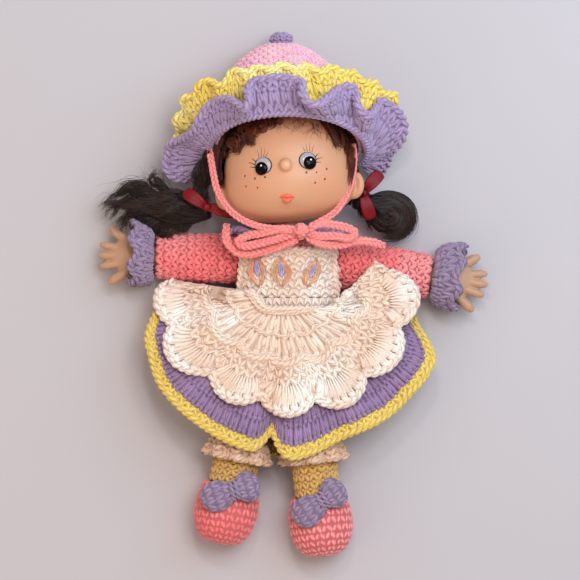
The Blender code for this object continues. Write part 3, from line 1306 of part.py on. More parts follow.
def build_ribbon(label, side, root):
    """A satin bow: a knot with two loops, tied round the pigtail's root."""
    middle = root + Vector((side * RIBBON_OUT, 0.0, RIBBON_RISE))
    radii = (RIBBON_KNOT_RADIUS, RIBBON_KNOT_RADIUS, RIBBON_KNOT_RADIUS)
    knot = egg(label + "_ribbon", radii, middle, SMALL_SIDES, SMALL_RINGS, "satin_ribbon")
    for number, degrees in enumerate(RIBBON_WAYS[label]):
        loop = sheet(
            f"{label}_ribbon_loop_{number}",
            lambda across, along, ways=degrees: ribbon_loop(middle, ways, across, along),
            RIBBON_STEPS, 1, RIBBON_THICKNESS, "satin_ribbon", closed=True,
        )
        join(knot, hide_cutter(loop))


def main():
    clear_scene()
    table = table_cutter("table_space", 0.0)
    skirt_back = table_cutter("skirt_back_space", SKIRT_THICKNESS - FLAT_DEPTH + GAP)
    sockets = []
    for side, label in SIDES:
        sockets.append(socket_for(label + "_armhole", arm_frame(side)[0], SHOULDER_BALL_RADIUS))
        sockets.append(socket_for(label + "_hip_socket", leg_frame(side)[0], HIP_BALL_RADIUS))
    build_trunk(table, skirt_back, sockets)
    build_head()
    build_hair(table)
    build_bonnet(table)
    build_ties()
    build_collar()
    build_apron()
    build_skirt(table)
    for side, label in SIDES:
        build_arm(label, side, table)
        build_leg(label, side, table, skirt_back)


main()
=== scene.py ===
"""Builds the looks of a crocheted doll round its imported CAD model.

The doll lies on its back: +X is its own left, +Y runs up to its head and +Z out of the table. Lengths are in metres.
"""

import json
import math

import bpy
import numpy as np
from bpy.props import FloatProperty, FloatVectorProperty, IntProperty, PointerProperty
from mathutils import Matrix, Vector

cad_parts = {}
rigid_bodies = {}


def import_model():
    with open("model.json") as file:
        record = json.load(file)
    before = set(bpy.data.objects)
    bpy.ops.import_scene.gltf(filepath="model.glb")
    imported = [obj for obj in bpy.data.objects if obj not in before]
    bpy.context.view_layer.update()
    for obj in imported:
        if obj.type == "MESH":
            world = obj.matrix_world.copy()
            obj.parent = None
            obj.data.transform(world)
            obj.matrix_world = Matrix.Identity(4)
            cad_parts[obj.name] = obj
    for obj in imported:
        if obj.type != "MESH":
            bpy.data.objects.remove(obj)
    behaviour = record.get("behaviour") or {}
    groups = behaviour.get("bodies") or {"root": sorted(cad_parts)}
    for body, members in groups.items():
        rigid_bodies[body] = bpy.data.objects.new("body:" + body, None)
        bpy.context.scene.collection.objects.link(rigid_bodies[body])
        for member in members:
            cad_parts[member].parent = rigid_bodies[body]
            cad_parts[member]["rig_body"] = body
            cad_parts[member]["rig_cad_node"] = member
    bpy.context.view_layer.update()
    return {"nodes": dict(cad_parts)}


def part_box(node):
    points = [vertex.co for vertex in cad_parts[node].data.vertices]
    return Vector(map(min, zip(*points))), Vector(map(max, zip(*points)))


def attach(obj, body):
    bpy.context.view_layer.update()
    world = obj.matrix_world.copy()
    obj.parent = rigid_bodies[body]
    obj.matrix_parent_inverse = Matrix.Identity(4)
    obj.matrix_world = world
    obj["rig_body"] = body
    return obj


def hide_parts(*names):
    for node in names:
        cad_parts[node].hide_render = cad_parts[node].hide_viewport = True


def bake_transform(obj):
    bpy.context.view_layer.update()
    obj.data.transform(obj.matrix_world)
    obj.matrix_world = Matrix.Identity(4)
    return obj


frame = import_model()

bl_info = {
    "name": "Crocheted Doll",
    "version": (1, 0, 0),
    "blender": (4, 5, 0),
    "location": "3D View > Sidebar > Doll",
    "description": "Crocheted clothes, vinyl head and hands and hair of a doll that lies on its back",
    "category": "Object",
}

MM = 0.001
TURN = 2.0 * math.pi
QUARTER = TURN / 4.0
SIDES = ((-1.0, "right"), (1.0, "left"))
SIDE_OF = {label: side for side, label in SIDES}
chance = np.random.default_rng(7)

# The camera looks straight down. A picture element is PICTURE_SCALE wide at VIEW_LEVEL.
PICTURE_SCALE, PICTURE_SIZE = 0.45 * MM, 580
VIEW_WIDTH = PICTURE_SCALE * PICTURE_SIZE
VIEW_CENTRE = (2.0 * PICTURE_SCALE, 4.0 * PICTURE_SCALE)
VIEW_DISTANCE, VIEW_LEVEL = 2.2, 25.0 * MM

# Sizes that the CAD solids have too.
FLAT_DEPTH = 0.5 * MM
GAP = 0.3 * MM
SEAT_GAP = 0.4 * MM
YARN_THICKNESS = 2.6 * MM
RUFFLE_THICKNESS = 2.2 * MM
CORD_DIAMETER = 3.0 * MM
CORE_HALF_WIDTH, CORE_HALF_DEPTH = 17.4 * MM, 12.2 * MM
SHOULDER_LINE, SHOULDER_DROP = 21.5 * MM, 7.0 * MM
WAIST_LINE, CROTCH_LINE = -6.0 * MM, -32.3 * MM
SEAT_THICKNESS = 2.2 * MM
HIP_SHIFT, SEAT_SLOPE = -4.0 * MM, -0.124
BODICE_HALF_WIDTH = CORE_HALF_WIDTH + GAP + YARN_THICKNESS
BODICE_HALF_DEPTH = CORE_HALF_DEPTH + GAP + YARN_THICKNESS
TRUNK_HEIGHT = BODICE_HALF_DEPTH - FLAT_DEPTH
NECK_RADIUS = 6.8 * MM
NECK_DEPTH = 10.0 * MM
HEAD_HALF_WIDTH, HEAD_HALF_DEPTH = 28.6 * MM, 24.0 * MM
HEAD_CHIN_DROP, HEAD_CROWN_RISE = 22.5 * MM, 31.0 * MM
HEAD_LINE = SHOULDER_LINE + 11.0 * MM + HEAD_CHIN_DROP
HEAD_HEIGHT = TRUNK_HEIGHT + 14.6 * MM
HEAD_CENTRE = np.array((0.0, HEAD_LINE, HEAD_HEIGHT))
HEAD_TILT = math.radians(5.0)
CHEEK_SHARE, JOWL_SHARE = 0.07, 0.115
NOSE_RADIUS = 2.9 * MM
EAR_DROP, EAR_LEAN = 8.5 * MM, math.radians(25.0)
WIG_THICKNESS = 2.2 * MM
CROWN_ROOM = WIG_THICKNESS + GAP + GAP
BRIM_LINE_RISE, BRIM_TILT_RISE = 10.5 * MM, 15.6 * MM
CROWN_TIP_RISE, CROWN_TIP_HEIGHT, CROWN_TIP_SIDE = 47.0 * MM, 14.0 * MM, -3.0 * MM
CROWN_TIP_SHARE = 0.985
BUTTON_RADIUS, BUTTON_THICKNESS = 5.6 * MM, 3.6 * MM
RUFFLE_WIDTHS = (16.2 * MM, 20.2 * MM)
RUFFLE_SPACING, RUFFLE_ROLL, RUFFLE_STANDS_OUT = 5.2 * MM, 0.10, 4.0 * MM
BRIM_AXIS = (0.0, 0.90, -0.43)
SHOULDER_BALL_RADIUS, WRIST_RADIUS = 11.4 * MM, 9.8 * MM
SHOULDER_OUT = 6.6 * MM
SHOULDER_LINES = {"right": 16.0 * MM, "left": 13.0 * MM}
SLEEVE_LENGTHS = {"right": 33.0 * MM, "left": 38.0 * MM}
ARM_DROOPS = {"right": math.radians(-1.5), "left": math.radians(8.0)}
SLEEVE_SWELL = (0.0, 0.3, 0.6, 0.88, 1.0), (1.0, 1.02, 1.03, 1.01, 0.93)
CUFF_RADIUS, CUFF_LIFT = 14.6 * MM, 2.0 * MM
CUFF_FLARES = {"right": 8.0 * MM, "left": 10.5 * MM}
CUFF_WAVES, CUFF_WAVE_HEIGHT, CUFF_FILL_SHARE = 7, 1.7 * MM, 0.75
HAND_STEM_RADIUS, HAND_STEM_LENGTH, HAND_SEAT_DEPTH = 4.8 * MM, 5.0 * MM, 1.0 * MM
PALM_LENGTH, PALM_WIDTH, PALM_THICKNESS = 17.0 * MM, 16.0 * MM, 8.4 * MM
FINGER_RADIUS = 2.1 * MM
FINGER_TIP_SHARES = ((0.62, 0.72, 1.15), (1.02, 0.30, 0.95), (1.08, 0.0, 1.0), (1.0, -0.3, 0.95), (0.66, -0.74, 1.1))
HIP_BALL_RADIUS = 11.0 * MM
HIPS = {"right": (-15.5 * MM, -36.5 * MM), "left": (7.8 * MM, -41.0 * MM)}
LEG_SPREADS = {"right": math.radians(11.5), "left": math.radians(6.5)}
LEG_CORE_RADIUS = 8.0 * MM
PANTALOON_LENGTHS = {"right": 29.0 * MM, "left": 25.0 * MM}
PANTALOON_RADIUS, PANTALOON_CUFF_RADIUS = 12.0 * MM, 10.4 * MM
PANTALOON_BULGE = (0.0, 0.3, 0.6, 0.85, 1.0), (0.0, 0.9, 1.0, 0.7, 0.0)
FRILL_LENGTH, FRILL_RADIUS, FRILL_WAVES, FRILL_WAVE_HEIGHT = 8.5 * MM, 14.0 * MM, 9, 1.7 * MM
SOCK_THICKNESS, SOCK_END = 2.0 * MM, 48.3 * MM
SHOE_HALF_LENGTH, SHOE_HALF_WIDTH, SHOE_HALF_DEPTH = 14.8 * MM, 13.4 * MM, 13.0 * MM
SHOE_POWER = 0.56
SHOE_LINE, SHOE_PITCH, SHOE_MOUTH_SHARE = 62.0 * MM, math.radians(5.0), 0.5
BOW_LOBE_LENGTH, BOW_LOBE_WIDTH, BOW_LOBE_THICKNESS = 15.0 * MM, 15.0 * MM, 5.0 * MM
BOW_SINK_SHARE, BOW_LINE, BOW_SIDE_SHIFT, BOW_LEAN = 0.42, 52.5 * MM, 2.0 * MM, math.radians(29.0)
BOW_SMALL_SHARE = 0.72
SKIRT_THICKNESS = 2.6 * MM
LEG_HEIGHT = SKIRT_THICKNESS - FLAT_DEPTH + SEAT_GAP + PANTALOON_RADIUS
SEAT_LIFT = (SKIRT_THICKNESS - FLAT_DEPTH + GAP) / 2.0
SKIRT_LENGTH, SKIRT_CENTRE_LINE, SKIRT_FOLD_HEIGHT = 68.0 * MM, -3.0 * MM, 7.4 * MM
SKIRT_WAVE_HEIGHT, SKIRT_WAVES, SKIRT_SIDE_DROP = 1.3 * MM, 14, 3.2 * MM
SKIRT_NOTCH_DEPTH, SKIRT_NOTCH_DEGREES, SKIRT_NOTCH_SPREAD = 11.0 * MM, -7.0, 3.8
SKIRT_FLAP_HEIGHT, SKIRT_FLAP_DEGREES = 3.2 * MM, 0.0
SKIRT_TOP = LEG_HEIGHT + PANTALOON_RADIUS + 1.4 * MM + SKIRT_THICKNESS / 2.0 + SKIRT_WAVE_HEIGHT
SKIRT_FLOOR = SKIRT_THICKNESS / 2.0 - FLAT_DEPTH
SKIRT_HEM_SHARES = np.array((
    (-93.0, 0.83), (-72.0, 0.98), (-55.0, 1.02), (-38.0, 1.01), (-18.0, 1.02), (0.0, 1.05), (22.0, 0.98),
    (48.0, 1.02), (66.0, 1.05), (82.0, 0.86),
))
EDGING_WIDTH = 6.5 * MM
BIB_WIDTH, BIB_FLARE, BIB_TOP_LINE, BIB_WRAP = 41.0 * MM, 2.0 * MM, 20.5 * MM, math.radians(58.0)
WAISTBAND_WIDTH = 4.0 * MM
APRON_THICKNESS, APRON_LENGTH = 2.4 * MM, 46.0 * MM
SCALLOP_DEPTH, SCALLOP_DEGREES, SCALLOP_START = 8.0 * MM, 31.0, -47.0
APRON_RAYS = np.array((
    (-100.0, 1.02, 0.30), (-93.0, 1.12, 0.12), (-77.0, 1.16, 0.0), (-60.0, 1.10, 0.0), (-40.0, 1.00, 0.0),
    (-15.0, 0.97, 0.05), (10.0, 0.98, 0.1), (30.0, 1.02, 0.05), (48.0, 1.04, 0.1), (64.0, 1.06, 0.35),
    (80.0, 1.10, 0.75), (94.0, 1.10, 1.1), (106.0, 1.02, 1.4), (114.0, 0.84, 1.5),
))
APRON_LIFT, APRON_PUFF_HEIGHT, APRON_BELLY = 12.0 * MM, 6.0 * MM, 0.8 * MM
APRON_FOLD_HEIGHT, APRON_FOLD_RATE = 1.0 * MM, 0.17
APRON_PUFF_DEGREES, APRON_PUFF_SPREAD = 98.0, 22.0
APRON_TOP_LINE = WAIST_LINE - GAP - SEAT_GAP
APRON_RISE = SKIRT_THICKNESS / 2.0 + SEAT_GAP + APRON_THICKNESS / 2.0
APRON_GATHER_WIDTH, APRON_WAIST_ROOM, APRON_SIDE_DROP = 35.0 * MM, 0.8 * MM, 1.8 * MM
APRON_NEAR = 2.8 * MM
APRON_TUCK, APRON_TUCK_SPREAD = 9.5 * MM, 0.30
COLLAR_HALF_WIDTH, COLLAR_HALF_DEPTH, COLLAR_RISE = 28.5 * MM, 14.0 * MM, 3.2 * MM
COLLAR_WAVES, COLLAR_WAVE_HEIGHT = 8, 0.9 * MM
COLLAR_INNER = NECK_RADIUS + SEAT_GAP + 1.6 * MM
KNOT_RADIUS = 4.2 * MM
KNOT_PLACE = np.array((5.8 * MM, HEAD_LINE - HEAD_CHIN_DROP - 4.3 * MM, HEAD_HEIGHT + HEAD_HALF_DEPTH * 0.60))
RIBBON_WIDTH, RIBBON_LOOP_LENGTH, RIBBON_LOOP_HEIGHT = 5.6 * MM, 12.5 * MM, 4.0 * MM
RIBBON_RISE = 6.2 * MM
RIBBON_SHIFTS = {"right": (-4.8 * MM, 3.4 * MM), "left": (-1.0 * MM, 4.0 * MM)}
RIBBON_WAYS = {"right": (145.0, -12.0), "left": (48.0, -72.0)}

# Sizes that only the looks have.
SEAT_NARROWS, SEAT_LIFTS, BODICE_STRAIGHT, BODICE_NARROWS = 0.85, 0.15, 0.6, 0.61
TABLE_CLEAR, MERGE = 0.05 * MM, 0.03 * MM
ALMOST_ONE = 1 - 1e-9
LOBE_SIDES, LOBE_RINGS = 6, 5
ROUTE_STEPS, HAIR_STEPS = 8, 20
MOUTH = (-0.4 * MM, 42.9 * MM)
NOSE_PLACE = (-1.1 * MM, 57.3 * MM)
# How uneven hand-made stitches are in width, lean, length, place and rise.
UNEVEN_WIDTH, UNEVEN_LEAN, UNEVEN_LENGTH, UNEVEN_PLACE, UNEVEN_RISE = 0.06, 0.05, 0.04, 0.04, 0.08
SHELL_POSTS, SHELL_START, SHELL_LENGTH, SHELL_RISE = 7, 0.71, 0.23, 2.2
# The leaves' middles, tops, slant to their tips and half widths on the bib, in millimetres, and the line of their feet.
LEAVES = ((-12.2, 17.2, 2.0, 3.4), (-2.6, 16.4, 0.6, 3.2), (10.6, 15.8, -4.0, 3.0))
LEAF_FOOT, LEAF_LOW, HEART_DROP = 3.4, 1.4, 1.4
WORLD_STRENGTH, WORLD_COLOUR = 0.60, (1.0, 0.94, 0.90, 1.0)
SENSOR_WIDTH = 36.0
# The lamps' places, sizes, powers in watts and colours.
LAMPS = (
    ("key", (0.26, 0.26, 1.10), 0.5, 6.7, (0.93, 0.97, 1.0)),
    ("cool", (0.36, 0.30, 0.42), 0.4, 1.5, (0.34, 0.66, 1.0)),
    ("warm", (-0.32, -0.24, 0.34), 0.3, 0.30, (1.0, 0.62, 0.34)),
    ("sparkle", (-0.02, 0.35, 0.75), 0.08, 0.8, (1.0, 1.0, 1.0)),
)

# Each stitch as its bits of yarn: middle, size and lean. One across is a stitch's width, one along is a row's height
# and one up is the yarn's height over the cloth.
STITCH_LOBES = {
    "knot": (
        ((-0.24, 0.06, 0.30), (0.54, 1.16, 1.0), -0.50),
        ((0.24, 0.06, 0.34), (0.54, 1.16, 1.0), 0.50),
        ((0.0, -0.42, 0.14), (0.80, 0.44, 0.8), 0.12),
    ),
    "ridge": (
        ((-0.26, 0.0, 0.30), (0.66, 1.24, 1.0), -0.30),
        ((0.24, 0.0, 0.34), (0.66, 1.24, 1.0), 0.30),
    ),
    "shell": (
        ((-0.20, -0.02, 0.28), (0.68, 1.12, 0.95), -0.04),
        ((0.24, -0.02, 0.30), (0.68, 1.10, 0.95), 0.04),
        ((0.0, -0.08, 0.52), (0.80, 0.30, 0.60), -0.8),
        ((0.0, 0.44, 0.42), (1.10, 0.36, 0.95), 0.4),
    ),
    "post": (
        ((-0.24, -0.02, 0.28), (0.56, 1.10, 0.95), -0.08),
        ((0.24, -0.02, 0.30), (0.56, 1.08, 0.95), 0.08),
        ((0.0, -0.06, 0.50), (0.62, 0.40, 0.66), -0.8),
        ((-0.23, 0.42, 0.40), (0.56, 0.34, 1.0), -0.5),
        ((0.24, 0.42, 0.42), (0.56, 0.34, 1.0), 0.5),
    ),
}

# The ruffles' rims: where each is sewn round the brim in degrees, the rim's place in the picture, and how much it
# stands up from the seam there.
RUFFLE_RIMS = tuple(np.array(rows) for rows in ((
    (-112, 186, 180, -1.0), (-110, 172, 179, -1.0), (-108, 163, 168, -0.8), (-104, 165, 154, -0.5),
    (-98, 168, 143, -0.2), (-88, 182, 138, 0.2), (-80, 193, 130, 0.5), (-72, 199, 118, 0.6), (-64, 207, 106, 0.6),
    (-56, 219, 99, 0.8), (-48, 230, 99, 0.9), (-42, 239, 105, 1.0), (-36, 246, 109, 1.0), (-32, 249, 100, 1.0),
    (-29, 247, 89, 0.9), (-24, 253, 80, 0.8), (-14, 266, 77, 0.8), (-4, 279, 75, 0.8), (6, 292, 77, 0.8),
    (13, 302, 82, 0.9), (17, 301, 93, 1.0), (22, 308, 103, 1.0), (29, 318, 104, 1.0), (36, 327, 97, 0.9),
    (43, 337, 88, 0.8), (50, 347, 84, 0.8), (55, 356, 88, 0.9), (58, 356, 100, 1.0), (63, 361, 111, 1.0),
    (69, 369, 115, 1.0), (75, 376, 107, 0.8), (81, 382, 98, 0.6), (88, 392, 103, 0.5), (95, 402, 112, 0.3),
    (101, 407, 126, 0.1), (105, 403, 141, -0.2), (108, 393, 152, -0.5), (110, 388, 166, -0.8), (112, 376, 178, -1.0),
), (
    (-108, 178, 156, -0.6), (-104, 172, 143, -0.6), (-100, 178, 130, -0.4), (-96, 174, 118, -0.3),
    (-90, 185, 108, -0.1), (-84, 182, 97, 0.0), (-76, 195, 94, 0.1), (-70, 197, 84, 0.1), (-62, 209, 79, 0.1),
    (-54, 219, 85, 0.3), (-47, 227, 79, 0.2), (-40, 233, 69, 0.1), (-30, 246, 71, 0.3), (-20, 257, 66, 0.1),
    (-9, 270, 68, 0.3), (1, 281, 63, 0.1), (11, 294, 68, 0.3), (20, 306, 64, 0.1), (29, 318, 70, 0.3),
    (38, 331, 65, 0.1), (47, 343, 71, 0.3), (54, 353, 70, 0.1), (62, 363, 80, 0.3), (70, 376, 81, 0.1),
    (77, 382, 91, 0.2), (84, 396, 93, 0.0), (91, 396, 106, 0.1), (98, 402, 119, -0.2), (105, 398, 136, -0.4),
    (108, 390, 148, -0.6),
)))
# Middles of the chain cords: two picture coordinates and a height in millimetres, for each of their bends.
TIE_ROUTES = {
    "right": (
        (209, 148, 33.0), (212, 165, 34.5), (214, 177, 35.8), (218, 192, 37.2), (228, 208, 39.0), (241, 219, 41.0),
        (258, 226, 42.3), (277, 229, 43.2), (294, 231, 43.6),
    ),
    "left": (
        (353, 144, 33.5), (354, 160, 34.8), (353, 172, 35.8), (350, 186, 37.2), (344, 200, 39.0), (334, 213, 41.0),
        (321, 221, 42.6), (310, 227, 43.6),
    ),
}
BOW_ROUTES = {
    "bow_right_loop": (
        (296, 230, 44.0), (281, 229, 44.0), (262, 233, 41.5), (247, 236, 39.0), (238, 241, 37.5), (244, 246, 37.0),
        (261, 243, 39.5), (279, 238, 42.0), (296, 233, 44.0),
    ),
    "bow_left_loop": (
        (308, 230, 44.0), (318, 224, 44.0), (335, 225, 42.0), (350, 229, 40.0), (355, 234, 39.0), (348, 238, 39.0),
        (335, 236, 41.0), (320, 236, 42.0), (308, 233, 44.0),
    ),
    "bow_right_tail": (
        (299, 236, 42.0), (291, 242, 40.5), (275, 248, 37.5), (257, 253, 35.0), (242, 254, 33.5), (231, 247, 33.0),
        (226, 237, 33.0), (227, 224, 33.5),
    ),
    "bow_left_tail": (
        (306, 236, 42.0), (322, 244, 40.0), (340, 245, 37.0), (356, 241, 34.5), (371, 242, 32.5), (385, 246, 30.5),
    ),
}
# Places of the picture where the hair lies. Each curl of the fringe has its middle, its reach, and where it starts and
# how far it turns in degrees. Each lock has its bends, its half width in millimetres, its strands and its curl.
CURLS = (
    (215, 148, 6.0, 60, 300), (222, 143, 6.0, 200, 330), (229, 139, 6.5, 20, 340), (239, 141, 7.0, 110, 350),
    (247, 135, 6.0, 250, 320), (254, 131, 6.0, 40, 340), (262, 127, 5.5, 160, 320), (270, 123, 5.0, 300, 300),
    (279, 120, 4.0, 30, 280), (217, 158, 5.0, 100, 260), (218, 169, 4.0, 90, 220), (231, 131, 6.0, 80, 300),
    (243, 126, 6.0, 330, 320), (256, 120, 5.0, 200, 300), (224, 152, 4.5, 200, 320), (237, 148, 4.0, 260, 300),
    (250, 141, 4.0, 300, 280),
)
LOCKS = (
    (((313, 110), (320, 121), (329, 135), (335, 151)), 2.8, 120, 0.3),
    (((321, 109), (329, 120), (336, 134), (340, 149)), 3.2, 135, 0.3),
    (((330, 111), (337, 121), (343, 136), (345, 156)), 3.2, 135, 0.3),
    (((337, 114), (344, 126), (347, 144), (347, 170)), 2.8, 115, 0.3),
    (((343, 119), (348, 134), (349, 156), (346, 186)), 2.2, 95, 0.3),
    (((217, 132), (217, 148), (220, 168), (226, 190)), 2.4, 100, 0.4),
    (((214, 138), (214, 156), (217, 176), (222, 196)), 2.0, 85, 0.4),
    (((232, 128), (223, 140), (219, 156), (221, 178)), 2.4, 95, 0.6),
)
# Hair that runs from under the ruffle to the pigtails' roots: two picture coordinates and a height in millimetres.
SIDE_LOCKS = (
    (((210, 150, 34), (203, 164, 30), (199, 180, 27), (199, 196, 25), (204, 208, 24)), 3.2, 130),
    (((212, 158, 32), (207, 172, 29), (204, 186, 27), (204, 198, 25), (206, 210, 23)), 2.6, 100),
    (((352, 166, 32), (355, 180, 29), (358, 194, 27), (362, 206, 23), (367, 222, 17)), 2.8, 115),
    (((356, 172, 30), (360, 186, 27), (364, 198, 24), (370, 212, 18), (372, 232, 12)), 2.4, 100),
)
# The pigtails' cores: two picture coordinates, height, half width and half depth in millimetres.
CORES = {
    "right": (
        (208, 210, 24.0, 3.2, 3.2), (198, 213, 22.0, 3.2, 3.2), (186, 213, 20.0, 4.8, 4.4), (172, 212, 17.5, 6.0, 5.2),
        (160, 210, 16.0, 5.2, 4.4), (148, 208, 14.5, 3.0, 2.6), (138, 206, 14.0, 0.9, 0.9),
    ),
    "left": (
        (356, 200, 24.0, 3.2, 3.2), (364, 203, 22.0, 3.2, 3.2), (374, 207, 19.0, 6.2, 5.0), (388, 214, 16.0, 8.6, 6.4),
        (400, 221, 14.0, 6.4, 5.2), (407, 226, 12.0, 2.6, 2.6),
    ),
}
# The right pigtail's locks: bends with their heights, and half widths in millimetres.
TUFT_LOCKS = (
    (((202, 212, 24), (180, 201, 21), (158, 196, 19), (141, 187, 17), (122, 190, 16), (104, 207, 15)), 2.0),
    (((202, 213, 23), (177, 206, 20), (154, 205, 19), (133, 199, 17), (114, 207, 15), (107, 221, 14)), 2.2),
    (((202, 216, 22), (176, 214, 19), (152, 216, 17), (135, 213, 15), (122, 221, 14), (127, 234, 13)), 2.4),
    (((202, 218, 21), (178, 222, 18), (158, 226, 15), (146, 231, 13), (150, 239, 12)), 2.2),
    (((202, 210, 24), (184, 198, 21), (169, 192, 19), (157, 183, 18), (150, 177, 18), (158, 171, 18)), 1.3),
    (((202, 214, 22), (172, 210, 22), (148, 211, 20), (128, 204, 18), (112, 204, 16), (99, 209, 15)), 1.9),
    (((202, 212, 23), (172, 203, 22), (148, 197, 20), (130, 190, 18), (117, 186, 17)), 1.9),
    (((202, 217, 21), (175, 219, 19), (151, 222, 17), (131, 219, 15), (116, 228, 14)), 2.2),
    (((202, 212, 24), (182, 203, 23), (164, 200, 22), (150, 193, 20), (140, 184, 19), (129, 184, 18)), 1.5),
    (((202, 219, 20), (186, 225, 18), (172, 231, 17), (160, 233, 16), (154, 226, 15)), 1.6),
    (((202, 214, 24), (184, 210, 23), (166, 209, 22), (150, 204, 21), (136, 209, 19), (128, 218, 17)), 2.2),
)


# ---- places of the picture and surfaces of the clothes ----


def spots(x, y, z):
    """Points from their three coordinates, each a number or an array."""
    return np.stack(np.broadcast_arrays(x, y, z), axis=-1).astype(float)


def seen(x, y, height):
    """The place at a height that the camera sees at these coordinates of the picture."""
    scale = PICTURE_SCALE * (VIEW_DISTANCE - height) / (VIEW_DISTANCE - VIEW_LEVEL)
    half = PICTURE_SIZE / 2.0
    return VIEW_CENTRE[0] + (np.asarray(x) - half) * scale, VIEW_CENTRE[1] + (half - np.asarray(y)) * scale


# The eyes' places with their leans, the irises' places, and the freckles' in millimetres.
EYES = {"right": (seen(263.4, 165.4, 52.0 * MM), 0.10), "left": (seen(307.5, 160.4, 52.0 * MM), -0.25)}
IRISES = {"right": seen(262.2, 168.6, 52.0 * MM), "left": seen(309.3, 163.0, 52.0 * MM)}
FRECKLES = ((-19.2, 52.6), (-14.7, 51.4), (-10.2, 52.0), (-18.7, 47.9), (-13.5, 47.3), (8.2, 54.0), (12.7, 54.2),
            (17.2, 55.7), (16.4, 51.2), (12.1, 49.5))


def shares_of(count, last=1.0):
    """Even shares from nothing to the last."""
    return np.linspace(0.0, last, count)


def turned_about_z(points, angle, centre=(0.0, 0.0, 0.0)):
    """Points turned on the table round a centre."""
    cos, sin = math.cos(angle), math.sin(angle)
    spin = np.array(((cos, -sin, 0.0), (sin, cos, 0.0), (0.0, 0.0, 1.0)))
    return (points - np.array(centre)) @ spin.T + np.array(centre)


def tilted(points):
    """Points of the head after it leans towards its left shoulder."""
    return turned_about_z(points, HEAD_TILT, HEAD_CENTRE)


def trunk_oval(around, line, half_width, half_depth, shift=0.0, lift=0.0, slope=0.0):
    """Points round the trunk at a line across it."""
    across = half_width * np.cos(TURN * around)
    return spots(shift + across, line + slope * across, TRUNK_HEIGHT + lift + half_depth * np.sin(TURN * around))


def bodice_place(around, along):
    """The bodice's outside, from the waist up over the shoulders."""
    straight = SHOULDER_LINE - SHOULDER_DROP
    grown = GAP + YARN_THICKNESS
    line = WAIST_LINE + (straight - WAIST_LINE) * np.minimum(along / BODICE_STRAIGHT, 1.0)
    bend = np.clip((along - BODICE_STRAIGHT) / (1.0 - BODICE_STRAIGHT), 0.0, 1.0)
    line = line + (SHOULDER_DROP + grown) * np.sin(bend * QUARTER)
    share = np.cos(bend * QUARTER * BODICE_NARROWS)
    return trunk_oval(around, line, CORE_HALF_WIDTH * share + grown, CORE_HALF_DEPTH * share + grown)


def seat_place(around, along):
    """The outside of the pantaloon seat, from the waist down."""
    grown = GAP + SEAT_THICKNESS
    share = np.where(along > SEAT_NARROWS, 1.0 - (along - SEAT_NARROWS), 1.0)
    lift = SEAT_LIFT * np.minimum(along / SEAT_LIFTS, 1.0)
    line = WAIST_LINE - GAP - (WAIST_LINE - CROTCH_LINE + grown) * along
    width, depth = CORE_HALF_WIDTH * share + grown, (CORE_HALF_DEPTH - lift) * share + grown
    return trunk_oval(around, line, width, depth, HIP_SHIFT * along, lift, SEAT_SLOPE * along)


def brim_place(around, grown=0.0):
    """The brim's seam, from the forehead at angle 0 round to the nape."""
    half_width = HEAD_HALF_WIDTH + CROWN_ROOM + YARN_THICKNESS / 2.0 + grown
    half_depth = HEAD_HALF_DEPTH + CROWN_ROOM + YARN_THICKNESS / 2.0 + grown
    forward = np.cos(around)
    height = HEAD_HEIGHT + half_depth * forward
    return spots(half_width * np.sin(around), HEAD_LINE + BRIM_LINE_RISE + BRIM_TILT_RISE * forward, height)


def crown_place(across, along):
    """The crown's outside, from the brim up to its tip."""
    share = np.sin(math.asin(CROWN_TIP_SHARE) * along)
    grown = YARN_THICKNESS / 2.0
    base = np.array((0.0, HEAD_LINE + BRIM_LINE_RISE, HEAD_HEIGHT))
    tip = np.array((CROWN_TIP_SIDE, HEAD_LINE + BRIM_LINE_RISE + CROWN_TIP_RISE + grown, CROWN_TIP_HEIGHT))
    centre = base + (tip - base) * share[:, None]
    offset = brim_place(TURN * across, grown) - base
    offset[:, 1] *= 1.0 - share
    return centre + offset * np.sqrt(1.0 - share**2)[:, None]


def smooth_between(before, start, end, after, share):
    """Points at a share of the smooth curve from start to end."""
    bend = 2.0 * before - 5.0 * start + 4.0 * end - after
    twist = 3.0 * start - before - 3.0 * end + after
    return start + 0.5 * share * (end - before + share * (bend + share * twist))


def smooth_table(table, shares):
    """Rows read from a smooth curve through a table."""
    last = len(table) - 1
    index = np.minimum((shares * last).astype(int), last - 1)
    return smooth_between(table[np.maximum(index - 1, 0)], table[index], table[index + 1],
                          table[np.minimum(index + 2, last)], (shares * last - index)[:, None])


def smooth_route(points):
    """Points read from a smooth curve through the route's own points."""
    table = np.array(points, float)
    longer = np.vstack((2.0 * table[0] - table[1], table, 2.0 * table[-1] - table[-2]))
    found = [smooth_between(*bends, step / ROUTE_STEPS) for bends in zip(longer, longer[1:], longer[2:], longer[3:])
             for step in range(ROUTE_STEPS)]
    return np.array([*found, table[-1]])


